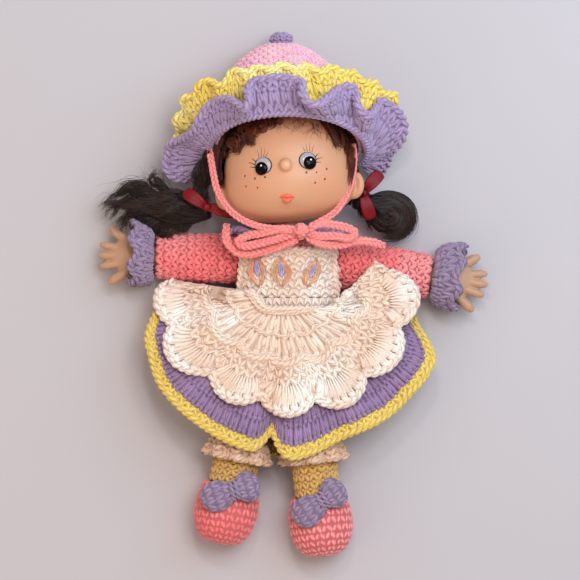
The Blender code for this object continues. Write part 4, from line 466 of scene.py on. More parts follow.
def ruffle_place(step, across, along):
    """A ruffle from its seam on the brim to its rim. Step 0 is the lilac one in front, step 1 the yellow one."""
    degrees, x, y, stand = smooth_table(RUFFLE_RIMS[step], np.clip(across, 0.0, 1.0)).T
    around = np.radians(degrees)
    out = YARN_THICKNESS / 2.0 + SEAT_GAP + RUFFLE_THICKNESS / 2.0
    seam = brim_place(around, out) + np.array(BRIM_AXIS) * (RUFFLE_SPACING * step - RUFFLE_THICKNESS / 2.0)
    rim_x, rim_y = seen(x, y, seam[:, 2] + RUFFLE_STANDS_OUT)
    reach = np.hypot(rim_x - seam[:, 0], rim_y - seam[:, 1])
    rise = stand * np.sqrt(np.maximum(RUFFLE_WIDTHS[step] ** 2 - reach**2, (RUFFLE_WIDTHS[step] * 0.25) ** 2))
    swell = np.sin(along * QUARTER)
    flat = along + RUFFLE_ROLL * np.sin(along * math.pi)
    place = spots(seam[:, 0] + (rim_x - seam[:, 0]) * flat, seam[:, 1] + (rim_y - seam[:, 1]) * flat,
                  seam[:, 2] + rise * swell)
    place[:, 2] = np.maximum(place[:, 2], RUFFLE_THICKNESS / 2.0 + GAP * along)
    return place


def arm_place(label, points):
    """Points given along the arm from its shoulder, out sideways and up, put where the arm lies."""
    side, droop = SIDE_OF[label], ARM_DROOPS[label]
    turn = -droop if side > 0 else TURN / 2.0 + droop
    pivot = (side * (BODICE_HALF_WIDTH + SHOULDER_OUT), SHOULDER_LINES[label], SHOULDER_BALL_RADIUS - FLAT_DEPTH)
    return turned_about_z(points, turn) + np.array(pivot)


def leg_place(label, points):
    """Points given along the leg from its hip, out sideways and up, put where the leg lies."""
    return turned_about_z(points, -QUARTER + SIDE_OF[label] * LEG_SPREADS[label]) + np.array((*HIPS[label], LEG_HEIGHT))


def limb_round(across, out, radius):
    """Points round a limb, given along it, out sideways and up."""
    return spots(out, radius * np.cos(TURN * across), radius * np.sin(TURN * across))


def limb_from_ball(across, along, length, ball, swell):
    """A limb's outside, from the closed ball at its joint to its open end, where swell reads its radius."""
    arc = ball * QUARTER
    reach = along * (arc + length)
    out = np.where(reach < arc, -ball * np.cos(reach / ball), reach - arc)
    radius = swell(np.clip(out / length, 0.0, 1.0))
    return limb_round(across, out, np.where(reach < arc, ball * np.sin(np.minimum(reach / ball, QUARTER)), radius))


def sleeve_place(label, across, along):
    """The sleeve's outside, from the shoulder to the wrist."""
    ball = SHOULDER_BALL_RADIUS

    def swell(shares):
        return (ball + (WRIST_RADIUS - ball) * shares) * np.interp(shares, *SLEEVE_SWELL)

    return arm_place(label, limb_from_ball(across, along, SLEEVE_LENGTHS[label], ball, swell))


def cuff_place(label, across, along):
    """The cuff's frill round the wrist, pressed in on the table side."""
    angle = TURN * across
    inner = HAND_STEM_RADIUS + SEAT_GAP + RUFFLE_THICKNESS
    radius = inner + (CUFF_RADIUS - inner) * np.sin(QUARTER * (along * CUFF_FILL_SHARE + 1.0 - CUFF_FILL_SHARE))
    wave = CUFF_WAVE_HEIGHT * along * np.sin(CUFF_WAVES * angle)
    height = radius * np.sin(angle)
    floor = -(SHOULDER_BALL_RADIUS - FLAT_DEPTH) + RUFFLE_THICKNESS / 2.0
    height = np.where(height < 0.0, height * min(1.0, -floor / CUFF_RADIUS), height)
    out = SLEEVE_LENGTHS[label] + GAP + RUFFLE_THICKNESS / 2.0 + CUFF_FLARES[label] * along**2
    out = out + wave + CUFF_WAVE_HEIGHT * along
    return arm_place(label, spots(out, radius * np.cos(angle) + SIDE_OF[label] * CUFF_LIFT * along, height))


def pantaloon_place(label, across, along):
    """A pantaloon leg's outside, from the hip to its gathered hem."""
    ball = HIP_BALL_RADIUS

    def swell(shares):
        radius = ball + (PANTALOON_CUFF_RADIUS - ball) * shares
        return radius + (PANTALOON_RADIUS - ball) * np.interp(shares, *PANTALOON_BULGE)

    return leg_place(label, limb_from_ball(across, along, PANTALOON_LENGTHS[label], ball, swell))


def frill_place(label, across, along):
    """The gathered frill at a pantaloon's hem."""
    inner = LEG_CORE_RADIUS + GAP + SOCK_THICKNESS + GAP + RUFFLE_THICKNESS / 2.0
    wave = FRILL_WAVE_HEIGHT * along * np.sin(FRILL_WAVES * (TURN * across))
    out = PANTALOON_LENGTHS[label] + GAP + RUFFLE_THICKNESS / 2.0 + FRILL_LENGTH * along
    return leg_place(label, limb_round(across, out, inner + (FRILL_RADIUS - inner) * along + wave))


def sock_place(label, across, along):
    """The sock's outside, from under the frill into the shoe."""
    start = PANTALOON_LENGTHS[label] + GAP
    out = start + (SOCK_END + 2.0 * MM - start) * along
    return leg_place(label, limb_round(across, out, LEG_CORE_RADIUS + GAP + SOCK_THICKNESS))


def shoe_place(label, across, along):
    """The shoe's outside, from its toe to its heel, with the toe down the leg and up from the table."""
    angle, back = TURN * across, math.pi * along
    round_share = np.maximum(np.sin(back), 0.0) ** SHOE_POWER
    out, side, up = np.cos(back), round_share * np.cos(angle), round_share * np.sin(angle)
    out, side, up = SHOE_HALF_LENGTH * out, SHOE_HALF_WIDTH * side, SHOE_HALF_DEPTH * up
    cos, sin = math.cos(SHOE_PITCH), math.sin(SHOE_PITCH)
    reach = math.hypot(SHOE_HALF_LENGTH * sin, SHOE_HALF_DEPTH * cos)
    height = reach - FLAT_DEPTH - LEG_HEIGHT
    return leg_place(label, spots(SHOE_LINE + out * cos - up * sin, side, height + out * sin + up * cos))


def skirt_reach(degrees, front):
    """How far the skirt's hem is from the waist in a direction. Its front has a notch."""
    steps, shares = SKIRT_HEM_SHARES[:, 0], SKIRT_HEM_SHARES[:, 1]
    index = np.clip(np.searchsorted(steps, degrees, side="right") - 1, 0, len(steps) - 2)
    share = (degrees - steps[index]) / (steps[index + 1] - steps[index])
    ease = share * share * (3.0 - 2.0 * share)
    notch = (degrees - SKIRT_NOTCH_DEGREES) / SKIRT_NOTCH_SPREAD
    low, high = shares[index], shares[index + 1]
    return SKIRT_LENGTH * (low + (high - low) * ease) - SKIRT_NOTCH_DEPTH * front * np.exp(-(notch**2))


def skirt_place(turn_share, along):
    """The skirt's middle surface. The first half turn is its front."""
    angle = TURN * turn_share
    cos, sin = np.cos(angle), np.sin(angle)
    half_width = BODICE_HALF_WIDTH + GAP + SKIRT_THICKNESS / 2.0
    half_depth = BODICE_HALF_DEPTH + GAP + SKIRT_THICKNESS / 2.0
    waist_height = np.maximum(TRUNK_HEIGHT + half_depth * sin, SKIRT_FLOOR)
    waist = spots(half_width * cos, WAIST_LINE - GAP - SKIRT_SIDE_DROP * cos**2, waist_height)
    first, last = SKIRT_HEM_SHARES[0, 0], SKIRT_HEM_SHARES[-1, 0]
    degrees = (first + last) / 2.0 + (last - first) / 2.0 * cos
    fan = np.radians(degrees)
    front = sin > 0.0
    power = np.where(front, 2.4, 4.0)
    boxy = np.maximum(1.0 - np.abs(cos) ** power, 0.0) ** (1.0 / power)
    radius = skirt_reach(degrees, np.where(front, boxy, 0.0))
    wave = SKIRT_WAVE_HEIGHT * np.sin(SKIRT_WAVES * fan) * boxy
    flap = (degrees - SKIRT_FLAP_DEGREES) / SKIRT_NOTCH_SPREAD
    wave = wave + SKIRT_FLAP_HEIGHT * boxy * (np.exp(-(flap**2)) - 0.6 * np.exp(-((flap + 2.4) ** 2)))
    height = SKIRT_FOLD_HEIGHT + np.where(front, (SKIRT_TOP - SKIRT_FOLD_HEIGHT) * boxy + wave,
                                          (SKIRT_FLOOR - SKIRT_FOLD_HEIGHT) * boxy)
    hem = spots(radius * np.sin(fan), SKIRT_CENTRE_LINE - radius * np.cos(fan), height)
    along = np.broadcast_to(along, np.shape(turn_share))[:, None]
    return waist + (hem - waist) * along


def skirt_height_under(x, y):
    """Height of the skirt's front at places, found on the ray from the waist that passes through each."""
    low, high = np.zeros_like(x), np.full_like(x, 0.5)
    for _ in range(20):
        middle = (low + high) / 2.0
        waist, hem = skirt_place(middle, 0.0), skirt_place(middle, 1.0)
        ray = hem - waist
        beyond = ray[:, 0] * (y - waist[:, 1]) - ray[:, 1] * (x - waist[:, 0]) > 0.0
        high, low = np.where(beyond, middle, high), np.where(beyond, low, middle)
    along = np.hypot(x - waist[:, 0], y - waist[:, 1]) / np.hypot(ray[:, 0], ray[:, 1])
    return waist[:, 2] + ray[:, 2] * np.minimum(along, 1.0)


def chest_height_under(x, y):
    """Height of the bib's seat on the chest at places."""
    inside = 1.0 - (x / (BIB_WIDTH / 2.0 + BIB_FLARE + 4.0 * MM)) ** 2
    depth = BODICE_HALF_DEPTH + SEAT_GAP + APRON_THICKNESS - SKIRT_THICKNESS / 2.0
    height = TRUNK_HEIGHT + depth * np.sqrt(np.maximum(inside, 0.0))
    return np.where((y < WAIST_LINE) | (inside < 0.0), 0.0, height)


def height_near(x, y):
    """The greatest height within the apron's reach of places, so that folds are cleared too."""
    highest = np.maximum(skirt_height_under(x, y), chest_height_under(x, y))
    for step in range(8):
        near_x = x + APRON_NEAR * math.cos(TURN * step / 8)
        near_y = y + APRON_NEAR * math.sin(TURN * step / 8)
        near = np.maximum(skirt_height_under(near_x, near_y), chest_height_under(near_x, near_y))
        highest = np.maximum(highest, near)
    return highest


def apron_place(across, along):
    """The apron's middle surface, gathered at the waist and draped over the skirt and the left sleeve."""
    degrees, length, lift_share = smooth_table(APRON_RAYS, np.clip(across, 0.0, 1.0)).T
    angle = np.radians(degrees)
    shell = np.abs(np.sin(math.pi * (degrees - SCALLOP_START) / SCALLOP_DEGREES)) ** 0.75
    radius = (APRON_LENGTH + SCALLOP_DEPTH * shell) * length
    hem = spots(radius * np.sin(angle), SKIRT_CENTRE_LINE - radius * np.cos(angle), 0.0)
    side = 2.0 * across - 1.0
    tuck = APRON_TUCK * np.exp(-(((side + 1.0) / APRON_TUCK_SPREAD) ** 2))
    waist = spots(side * APRON_GATHER_WIDTH / 2.0, APRON_TOP_LINE - APRON_SIDE_DROP * side**2 + tuck, 0.0)
    place = waist + (hem - waist) * along[:, None]
    rise = height_near(place[:, 0], place[:, 1]) + APRON_RISE + APRON_WAIST_ROOM * (1.0 - along)
    puff = np.exp(-(((degrees - APRON_PUFF_DEGREES) / APRON_PUFF_SPREAD) ** 2))
    rise = rise + APRON_LIFT * lift_share * along
    folds = APRON_FOLD_HEIGHT * np.sin(degrees * APRON_FOLD_RATE) * np.minimum(along * 1.6, 1.0)
    place[:, 2] = rise + (APRON_PUFF_HEIGHT * puff + APRON_BELLY) * np.sin(math.pi * along) + folds
    return place


def chest_place(across, half_width, line):
    """Points on a band over the chest, at a line across it."""
    angle = (2.0 * across - 1.0) * BIB_WRAP
    depth = BODICE_HALF_DEPTH + SEAT_GAP + APRON_THICKNESS / 2.0
    return spots(half_width * np.sin(angle) / math.sin(BIB_WRAP), line, TRUNK_HEIGHT + depth * np.cos(angle))


def bib_place(across, along):
    """The bib's middle surface, from the waistband up."""
    low = WAIST_LINE + GAP + WAISTBAND_WIDTH + GAP
    return chest_place(across, BIB_WIDTH / 2.0 + BIB_FLARE * (1.0 - along), low + (BIB_TOP_LINE - low) * along)


def band_place(across, along):
    """The waistband's middle surface."""
    return chest_place(across, BIB_WIDTH / 2.0 + BIB_FLARE, WAIST_LINE + GAP + WAISTBAND_WIDTH * along)


def collar_place(across, along):
    """The frilled collar round the neck."""
    angle = TURN * across
    half_width = COLLAR_INNER + (COLLAR_HALF_WIDTH - COLLAR_INNER) * along
    half_depth = COLLAR_INNER + (COLLAR_HALF_DEPTH - COLLAR_INNER) * along
    base = SHOULDER_LINE + GAP + YARN_THICKNESS + GAP + GAP + RUFFLE_THICKNESS / 2.0
    line = base + COLLAR_RISE * along * np.abs(np.cos(angle))
    line = line + COLLAR_WAVE_HEIGHT * along * np.sin(COLLAR_WAVES * angle)
    return spots(half_width * np.cos(angle), line, TRUNK_HEIGHT + half_depth * np.sin(angle))


class Cloth:
    """A surface read on a fine grid, for points at any shares across and along and any height over it."""

    def __init__(self, place, columns=160, rows=32, closed=False):
        across, along = np.meshgrid(np.linspace(0, 1, columns + 1), np.linspace(0, 1, rows + 1), indexing="ij")
        self.grid = place(across.ravel(), along.ravel()).reshape(columns + 1, rows + 1, 3)
        self.columns, self.rows, self.closed = columns, rows, closed
        over = np.gradient(self.grid, axis=0)
        if closed:
            over[0] = over[-1] = (self.grid[1] - self.grid[-2]) / 2.0
        square = np.cross(over, np.gradient(self.grid, axis=1))
        size = np.linalg.norm(square, axis=2, keepdims=True)
        self.square = square / np.maximum(size, 1e-12)
        for row, near in ((0, 1), (rows, rows - 1)):
            weak = size[:, row, 0] < size[:, near, 0] * 0.02
            middle = self.square[:, near].mean(axis=0)
            self.square[weak, row] = middle / np.linalg.norm(middle)

    def at(self, across, along, height=0.0):
        """Points at these shares, raised by height."""
        across = np.mod(across, 1.0) if self.closed else across
        x, y = np.broadcast_arrays(across * self.columns, along * self.rows)
        i = np.clip(np.floor(x).astype(int), 0, self.columns - 1)
        j = np.clip(np.floor(y).astype(int), 0, self.rows - 1)
        s, t = (x - i)[..., None], np.clip(y - j, -0.6, 1.6)[..., None]

        def mix(values):
            low = values[i, j] * (1.0 - t) + values[i, j + 1] * t
            high = values[i + 1, j] * (1.0 - t) + values[i + 1, j + 1] * t
            return low * (1.0 - s) + high * s

        square = mix(self.square)
        square = square / np.maximum(np.linalg.norm(square, axis=-1, keepdims=True), 1e-12)
        return mix(self.grid) + square * np.broadcast_to(height, x.shape)[..., None]

    def row_lengths(self, along):
        """Shares across, and how far round the cloth each is, at one share along."""
        shares = shares_of(2 * self.columns + 1)
        closed, self.closed = self.closed, False
        line = self.at(shares, np.full_like(shares, along))
        self.closed = closed
        return shares, route_steps(line)

    def length_along(self, across=0.25):
        """How long the cloth is at one share across."""
        shares = shares_of(65)
        return route_length(self.at(np.full_like(shares, across), shares))


# ---- yarn, stitches and pieces ----


def show_only(piece):
    """Selects one object alone."""
    if bpy.context.mode != "OBJECT":
        bpy.ops.object.mode_set(mode="OBJECT")
    bpy.ops.object.select_all(action="DESELECT")
    piece.select_set(True)
    bpy.context.view_layer.objects.active = piece
    return piece


def apply_all(piece):
    """Applies a piece's modifiers in order."""
    show_only(piece)
    for change in list(piece.modifiers):
        bpy.ops.object.modifier_apply(modifier=change.name)
    return piece


def welded(piece, threshold=MERGE, lids=False):
    """Merges a mesh's doubled points, closes its holes where lids is set, and turns its faces outwards."""
    show_only(piece)
    bpy.ops.object.mode_set(mode="EDIT")
    bpy.ops.mesh.select_all(action="SELECT")
    bpy.ops.mesh.remove_doubles(threshold=threshold)
    if lids:
        bpy.ops.mesh.fill_holes(sides=0)
    bpy.ops.mesh.normals_make_consistent(inside=False)
    bpy.ops.object.mode_set(mode="OBJECT")
    return piece


def melted(piece, voxel, smoothing):
    """Melts a piece's shapes into one skin and smooths it."""
    melt = piece.modifiers.new("melt", "REMESH")
    melt.mode, melt.voxel_size = "VOXEL", voxel
    smooth = piece.modifiers.new("smooth", "SMOOTH")
    smooth.factor, smooth.iterations = 0.5, smoothing
    return apply_all(piece)


def walled(piece, thickness, offset=-1.0):
    """Gives a surface its thickness."""
    wall = piece.modifiers.new("wall", "SOLIDIFY")
    wall.thickness, wall.offset, wall.use_even_offset = thickness, offset, False
    return piece


def named(piece, name, finish, body=None, node=None):
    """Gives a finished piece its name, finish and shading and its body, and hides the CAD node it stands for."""
    piece.name = name
    piece.data.name = name
    piece.data.materials.clear()
    piece.data.materials.append(finish)
    piece.data.shade_smooth()
    if body:
        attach(piece, body)
    if node:
        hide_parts(node)
    return piece


def mesh_arrays(piece):
    """A mesh as arrays: points, corner indices, corners in each face and yarn coordinates."""
    mesh = piece.data
    points = np.empty(len(mesh.vertices) * 3)
    mesh.vertices.foreach_get("co", points)
    corners = np.empty(len(mesh.loops), int)
    mesh.loops.foreach_get("vertex_index", corners)
    totals = np.empty(len(mesh.polygons), int)
    mesh.polygons.foreach_get("loop_total", totals)
    yarn = np.zeros(len(mesh.loops) * 2)
    if mesh.uv_layers:
        mesh.uv_layers[0].data.foreach_get("uv", yarn)
    return points.reshape(-1, 3), corners, totals, yarn.reshape(-1, 2)


def points_of(piece):
    """A mesh's points."""
    return mesh_arrays(piece)[0]


def put_points(piece, points):
    """Moves a mesh's points to new places."""
    piece.data.vertices.foreach_set("co", points.ravel())
    return piece


def ball(centre, radii, turn=None, segments=32, rings=20):
    """A round shape with three radii, turned and put at its centre."""
    bpy.ops.object.select_all(action="DESELECT")
    bpy.ops.mesh.primitive_uv_sphere_add(segments=segments, ring_count=rings, radius=1.0)
    piece = bpy.context.object
    piece.matrix_world = Matrix.Translation(centre) @ (turn or Matrix.Identity(4)) @ Matrix.Diagonal((*radii, 1.0))
    show_only(piece)
    bpy.ops.object.transform_apply(location=True, rotation=True, scale=True)
    return piece


def joined(parts, voxel=None, smoothing=0):
    """Several shapes as one mesh, melted together where voxel is given."""
    bpy.ops.object.select_all(action="DESELECT")
    for part in parts:
        part.select_set(True)
    bpy.context.view_layer.objects.active = parts[0]
    bpy.ops.object.join()
    piece = show_only(bpy.context.object)
    return melted(piece, voxel, smoothing) if voxel else piece


def lobe(centre, size, lean):
    """One bit of yarn between the places where it comes out of the cloth and goes back in, long in Y."""
    bpy.ops.object.select_all(action="DESELECT")
    bpy.ops.mesh.primitive_uv_sphere_add(segments=LOBE_SIDES, ring_count=LOBE_RINGS, radius=0.5)
    piece = bpy.context.object
    place = Matrix.Translation(centre) @ Matrix.Rotation(lean, 4, "Z")
    piece.matrix_world = place @ Matrix.Diagonal((*size, 1.0)) @ Matrix.Rotation(-QUARTER, 4, "X")
    bpy.ops.object.transform_apply(location=True, rotation=True, scale=True)
    return piece


stitch_shapes = {}


def stitch_shape(kind):
    """The points, faces and yarn coordinates of one kind of stitch, modelled on first use."""
    if kind not in stitch_shapes:
        piece = joined([lobe(*row) for row in STITCH_LOBES[kind]])
        stitch_shapes[kind] = mesh_arrays(piece)
        bpy.data.objects.remove(piece)
    return stitch_shapes[kind]


class Bundle:
    """Copies of small shapes, gathered into one mesh."""

    def __init__(self):
        self.parts = []

    def add(self, shape, places, tones):
        """Adds one copy of a shape for each row of places, which holds the copy's own points."""
        _, corners, totals, yarn = shape
        copies, size = places.shape[:2]
        starts = np.arange(copies)[:, None] * size
        self.parts.append((places.reshape(-1, 3), (corners[None, :] + starts).ravel(), np.tile(totals, copies),
                           np.tile(yarn, (copies, 1)), np.repeat(tones, size)))
        return self

    def piece(self, name, finish, body=None, slot=None):
        """The gathered mesh as one object, kept over the table."""
        places, corners, totals, yarn, tones = zip(*self.parts)
        starts = np.cumsum([0] + [len(part) for part in places])
        corners = np.concatenate([part + start for part, start in zip(corners, starts)])
        points, totals = np.concatenate(places), np.concatenate(totals)
        points[:, 2] = np.maximum(points[:, 2], TABLE_CLEAR)
        mesh = bpy.data.meshes.new(name)
        mesh.vertices.add(len(points))
        mesh.vertices.foreach_set("co", points.ravel())
        mesh.loops.add(len(corners))
        mesh.loops.foreach_set("vertex_index", corners)
        mesh.polygons.add(len(totals))
        mesh.polygons.foreach_set("loop_start", np.concatenate(((0,), np.cumsum(totals)[:-1])))
        mesh.update(calc_edges=True)
        mesh.uv_layers.new(name="UVMap").data.foreach_set("uv", np.concatenate(yarn).ravel())
        mesh.attributes.new("tone", "FLOAT", "POINT").data.foreach_set("value", np.concatenate(tones))
        made = bpy.data.objects.new(name, mesh)
        bpy.context.scene.collection.objects.link(made)
        return named(made, name, finish, body)


def stitch_row(bundle, cloth, kind, start, end, width, height, lift, side=1.0, shift=0.0, skip=None, gather=0.5):
    """A row of stitches between two shares along the cloth. side is -1 on the cloth's other face.

    gather is where in the row its stitches have their width: 0 at its start, 1 at its end."""
    middle = (start + end) / 2.0
    _, widths = cloth.row_lengths(start + (end - start) * gather)
    shares, lengths = cloth.row_lengths(middle)
    whole = lengths[-1]
    count = max(3, int(round(widths[-1] / width)))
    shape = stitch_shape(kind)
    unit = shape[0]
    centres = (np.arange(count) + 0.5 + shift) / count
    if skip is not None:
        middles = cloth.at(np.interp(centres * whole, lengths, shares), np.full(count, middle))
        centres = centres[~skip(middles)]
    jitter = chance.normal(0.0, 1.0, (4, len(centres), 1))
    x = unit[None, :, 0] * (1.0 + UNEVEN_WIDTH * jitter[0]) + unit[None, :, 1] * UNEVEN_LEAN * jitter[1]
    y = unit[None, :, 1] * (1.0 + UNEVEN_LENGTH * jitter[2]) + UNEVEN_PLACE * jitter[3]
    run = (centres[:, None] + side * x / count) * whole
    if cloth.closed:
        across = np.interp(np.mod(run, whole), lengths, shares)
    else:
        inside = np.clip(run, 0.0, whole)
        across = np.interp(inside, lengths, shares) + (run - inside) / whole
    out = side * (lift + unit[None, :, 2] * height * (1.0 + UNEVEN_RISE * jitter[1]))
    bundle.add(shape, cloth.at(across, middle + y * (end - start), out), chance.uniform(0.0, 1.0, len(centres)))


def stitch_rows(bundle, cloth, kind, width, row_height, height, lift, start=0.0, end=1.0, **others):
    """Rows of one stitch over the whole cloth or a band of it."""
    count = max(1, int(round(cloth.length_along() * (end - start) / row_height)))
    edges = np.linspace(start, end, count + 1)
    for number, (low, high) in enumerate(zip(edges, edges[1:])):
        stitch_row(bundle, cloth, kind, low, high, width, height, lift, shift=0.5 * (number % 2), **others)


def base_cloth(name, cloth, finish, thickness, columns, rows, body=None, offset=0.0, lift=0.0, lids=False,
               node=None):
    """The thin cloth under the stitches: a grid shaped to the surface and given its thickness."""
    bpy.ops.object.select_all(action="DESELECT")
    bpy.ops.mesh.primitive_grid_add(x_subdivisions=columns, y_subdivisions=rows, size=1.0)
    piece = bpy.context.object
    flat = points_of(piece)
    points = cloth.at(np.clip(flat[:, 0] + 0.5, 0, ALMOST_ONE if cloth.closed else 1), flat[:, 1] + 0.5, lift)
    points[:, 2] = np.maximum(points[:, 2], TABLE_CLEAR + max(0.0, thickness / 2.0 * (1.0 - offset)) * 0.5)
    welded(put_points(piece, points), lids=lids)
    if thickness:
        apply_all(walled(piece, thickness, offset))
    return named(piece, name, finish, body, node)


def seen_route(places, count):
    """A smooth route through places of the picture, each given with its height in millimetres."""
    x, y, height = np.array(places, float).T
    height = height * MM
    return even_route(smooth_route(spots(*seen(x, y, height), height)), count)


def route_steps(route):
    """How far along a route each of its points is."""
    return np.concatenate(((0.0,), np.cumsum(np.linalg.norm(np.diff(route, axis=0), axis=1))))


def route_length(route):
    """The whole length of a route."""
    return float(np.linalg.norm(np.diff(route, axis=0), axis=1).sum())


def even_route(route, count):
    """The same route with its points evenly apart."""
    steps = route_steps(route)
    wanted = shares_of(count, steps[-1])
    return np.stack([np.interp(wanted, steps, route[:, axis]) for axis in range(route.shape[1])], axis=-1)


def even_lengths(rows, least=1e-12):
    """Directions made one long."""
    return rows / np.maximum(np.linalg.norm(rows, axis=-1, keepdims=True), least)


def route_frames(route, up=(0.0, 0.0, 1.0)):
    """Directions beside and over a route that runs mostly flat."""
    ahead = even_lengths(np.gradient(route, axis=0), 0.0)
    side = even_lengths(np.cross(ahead, np.array(up)), 1e-9)
    return side, np.cross(side, ahead)


def tube(route, radii, sides=10):
    """A closed round piece along a route, with a radius for each point of it."""
    curve = bpy.data.curves.new("tube", "CURVE")
    curve.dimensions, curve.use_fill_caps = "3D", True
    curve.bevel_depth, curve.bevel_resolution = 1.0, max(0, sides // 2 - 2)
    line = curve.splines.new("POLY")
    line.points.add(len(route) - 1)
    line.points.foreach_set("co", np.hstack((route, np.ones((len(route), 1)))).ravel())
    line.points.foreach_set("radius", np.broadcast_to(radii, len(route)).astype(float))
    made = bpy.data.objects.new("tube", curve)
    bpy.context.scene.collection.objects.link(made)
    show_only(made)
    bpy.ops.object.convert(target="MESH")
    return welded(bpy.context.object, MERGE / 3.0)


def hair_strands(routes, radius, tones, sides=3, taper=0.25, turns=1.0):
    """Thin tapering strands as one shape for each route, gathered in a bundle. All routes have as many points."""
    count = routes.shape[1]
    ahead = even_lengths(np.gradient(routes, axis=1))
    side = even_lengths(np.cross(ahead, np.array((0.13, 0.21, 0.97))))
    up = np.cross(side, ahead)
    run = shares_of(count)
    thick = np.minimum(1.0, np.minimum(run * 8.0 + taper, (1.0 - run) * 3.0 + taper))
    radius = np.broadcast_to(np.asarray(radius, float).reshape(-1, 1), (len(routes), 1)) * thick[None, :]
    angles = [TURN * step / sides for step in range(sides)]
    rings = [routes + (side * math.cos(angle) + up * math.sin(angle)) * radius[:, :, None] for angle in angles]
    points = np.stack(rings, axis=2).reshape(len(routes), count * sides, 3)
    corners, totals, yarn = [], [4] * ((count - 1) * sides) + [sides, sides], []
    for row in range(count - 1):
        low, high = run[row] * turns, run[row + 1] * turns
        for step in range(sides):
            here, after = row * sides + step, row * sides + (step + 1) % sides
            corners += [here, after, after + sides, here + sides]
            yarn += [(step / sides, low), ((step + 1) / sides, low), ((step + 1) / sides, high), (step / sides, high)]
    corners += list(range(sides))[::-1] + [(count - 1) * sides + step for step in range(sides)]
    yarn += [(0.0, 0.0)] * sides + [(0.0, 1.0)] * sides
    return Bundle().add((None, np.array(corners), np.array(totals), np.array(yarn)), points, np.asarray(tones, float))


def rope(bundle, route, radius, spread, pitch, strands=2, flat=1.0):
    """Yarns laid round each other along a route: a twist of two, or a plait where flat is under 1."""
    length = route_length(route)
    count = max(8, int(length / (0.62 * MM)))
    guide = even_route(route, count)
    side, up = route_frames(guide, (0.02, 0.03, 1.0))
    run = shares_of(count, length) * TURN / pitch
    for strand in range(strands):
        angle = run + TURN * strand / strands
        if flat < 1.0:
            swing, rise = np.sin(angle) * spread, np.sin(2.0 * angle) * spread * flat
        else:
            swing, rise = np.cos(angle) * spread, np.sin(angle) * spread
        way = guide + side * swing[:, None] + up * rise[:, None]
        thick = radius * (1.0 + 0.05 * chance.normal())
        bundle.parts += hair_strands(way[None], thick, [chance.uniform(0, 1)], 8, 0.6, length / (4.0 * MM)).parts


def edge_rope(bundle, cloth, share, radius=0.95 * MM, pitch=6.0 * MM, crosswise=False, lift=0.0):
    """The doubled cord of loops that binds an edge of a cloth."""
    shares = shares_of(4 * cloth.columns)
    fixed = np.full_like(shares, share)
    route = cloth.at(fixed, shares, lift) if crosswise else cloth.at(np.minimum(shares, ALMOST_ONE), fixed, lift)
    rope(bundle, route, radius, radius * 0.82, pitch)


# ---- finishes ----


def colour(red, green, blue):
    """A linear colour from the eight-bit values of a colour chart."""
    values = np.array((red, green, blue)) / 255.0
    return tuple(np.where(values <= 0.04045, values / 12.92, ((values + 0.055) / 1.055) ** 2.4))


def shaded(base, factor, added=0.0):
    """A colour made darker or paler."""
    return tuple(min(1.0, value * factor + added) for value in base)


class Finish:
    """A material and short ways to add and join its nodes."""

    def __init__(self, name, base, roughness, **sockets):
        self.made = bpy.data.materials.new(name)
        self.made.use_nodes = True
        self.tree = self.made.node_tree
        self.shader = self.tree.nodes["Principled BSDF"]
        self.shader.inputs["Base Color"].default_value = (*base, 1.0)
        self.shader.inputs["Roughness"].default_value = roughness
        for socket, value in sockets.items():
            self.shader.inputs[socket.replace("_", " ")].default_value = value

    def put(self, made, socket, value):
        """Joins or sets one socket of a node."""
        if isinstance(value, bpy.types.NodeSocket):
            self.tree.links.new(value, made.inputs[socket])
        else:
            made.inputs[socket].default_value = value

    def node(self, kind, links=None, **settings):
        """A new node with its settings, and its sockets joined or set."""
        made = self.tree.nodes.new("ShaderNode" + kind)
        for key, value in settings.items():
            setattr(made, key, value)
        for socket, value in (links or {}).items():
            self.put(made, socket, value)
        return made

    def math(self, operation, first, second=0.0, third=0.0):
        return self.node("Math", {0: first, 1: second, 2: third}, operation=operation).outputs[0]

    def times(self, first, second):
        return self.math("MULTIPLY", first, second)

    def noise(self, scale, detail=3.0):
        """A pattern that stays on the piece, with scale blotches in a metre."""
        where = self.node("TexCoord").outputs["Object"]
        return self.node("TexNoise", {"Vector": where, "Scale": scale, "Detail": detail}).outputs["Fac"]

    def yarn(self, axis):
        """How far a point is round or along its yarn or strand."""
        return self.node("SeparateXYZ", {0: self.node("UVMap").outputs["UV"]}).outputs[axis]

    def tone(self):
        """Each stitch's or strand's own share between two colours."""
        return self.node("Attribute", attribute_name="tone").outputs["Fac"]

    def mapped(self, value, ends, **settings):
        return self.node("MapRange", {"Value": value, **ends}, **settings).outputs[0]

    def mix(self, share, first, second, blend="MIX"):
        """Two colours mixed by a share."""
        made = self.node("Mix", {}, data_type="RGBA", blend_type=blend)
        for index, value in ((0, share), (6, first), (7, second)):
            self.put(made, index, (*value, 1.0) if isinstance(value, tuple) else value)
        return made.outputs[2]

    def bump(self, height, distance, strength=1.0, under=None):
        """Small relief of a height in metres."""
        links = {"Height": height, "Distance": distance, "Strength": strength}
        if under is not None:
            links["Normal"] = under
        return self.node("Bump", links).outputs["Normal"]

    def done(self, shade, normal):
        """Gives the finish its colour and relief."""
        self.put(self.shader, "Base Color", shade)
        self.put(self.shader, "Normal", normal)
        return self.made


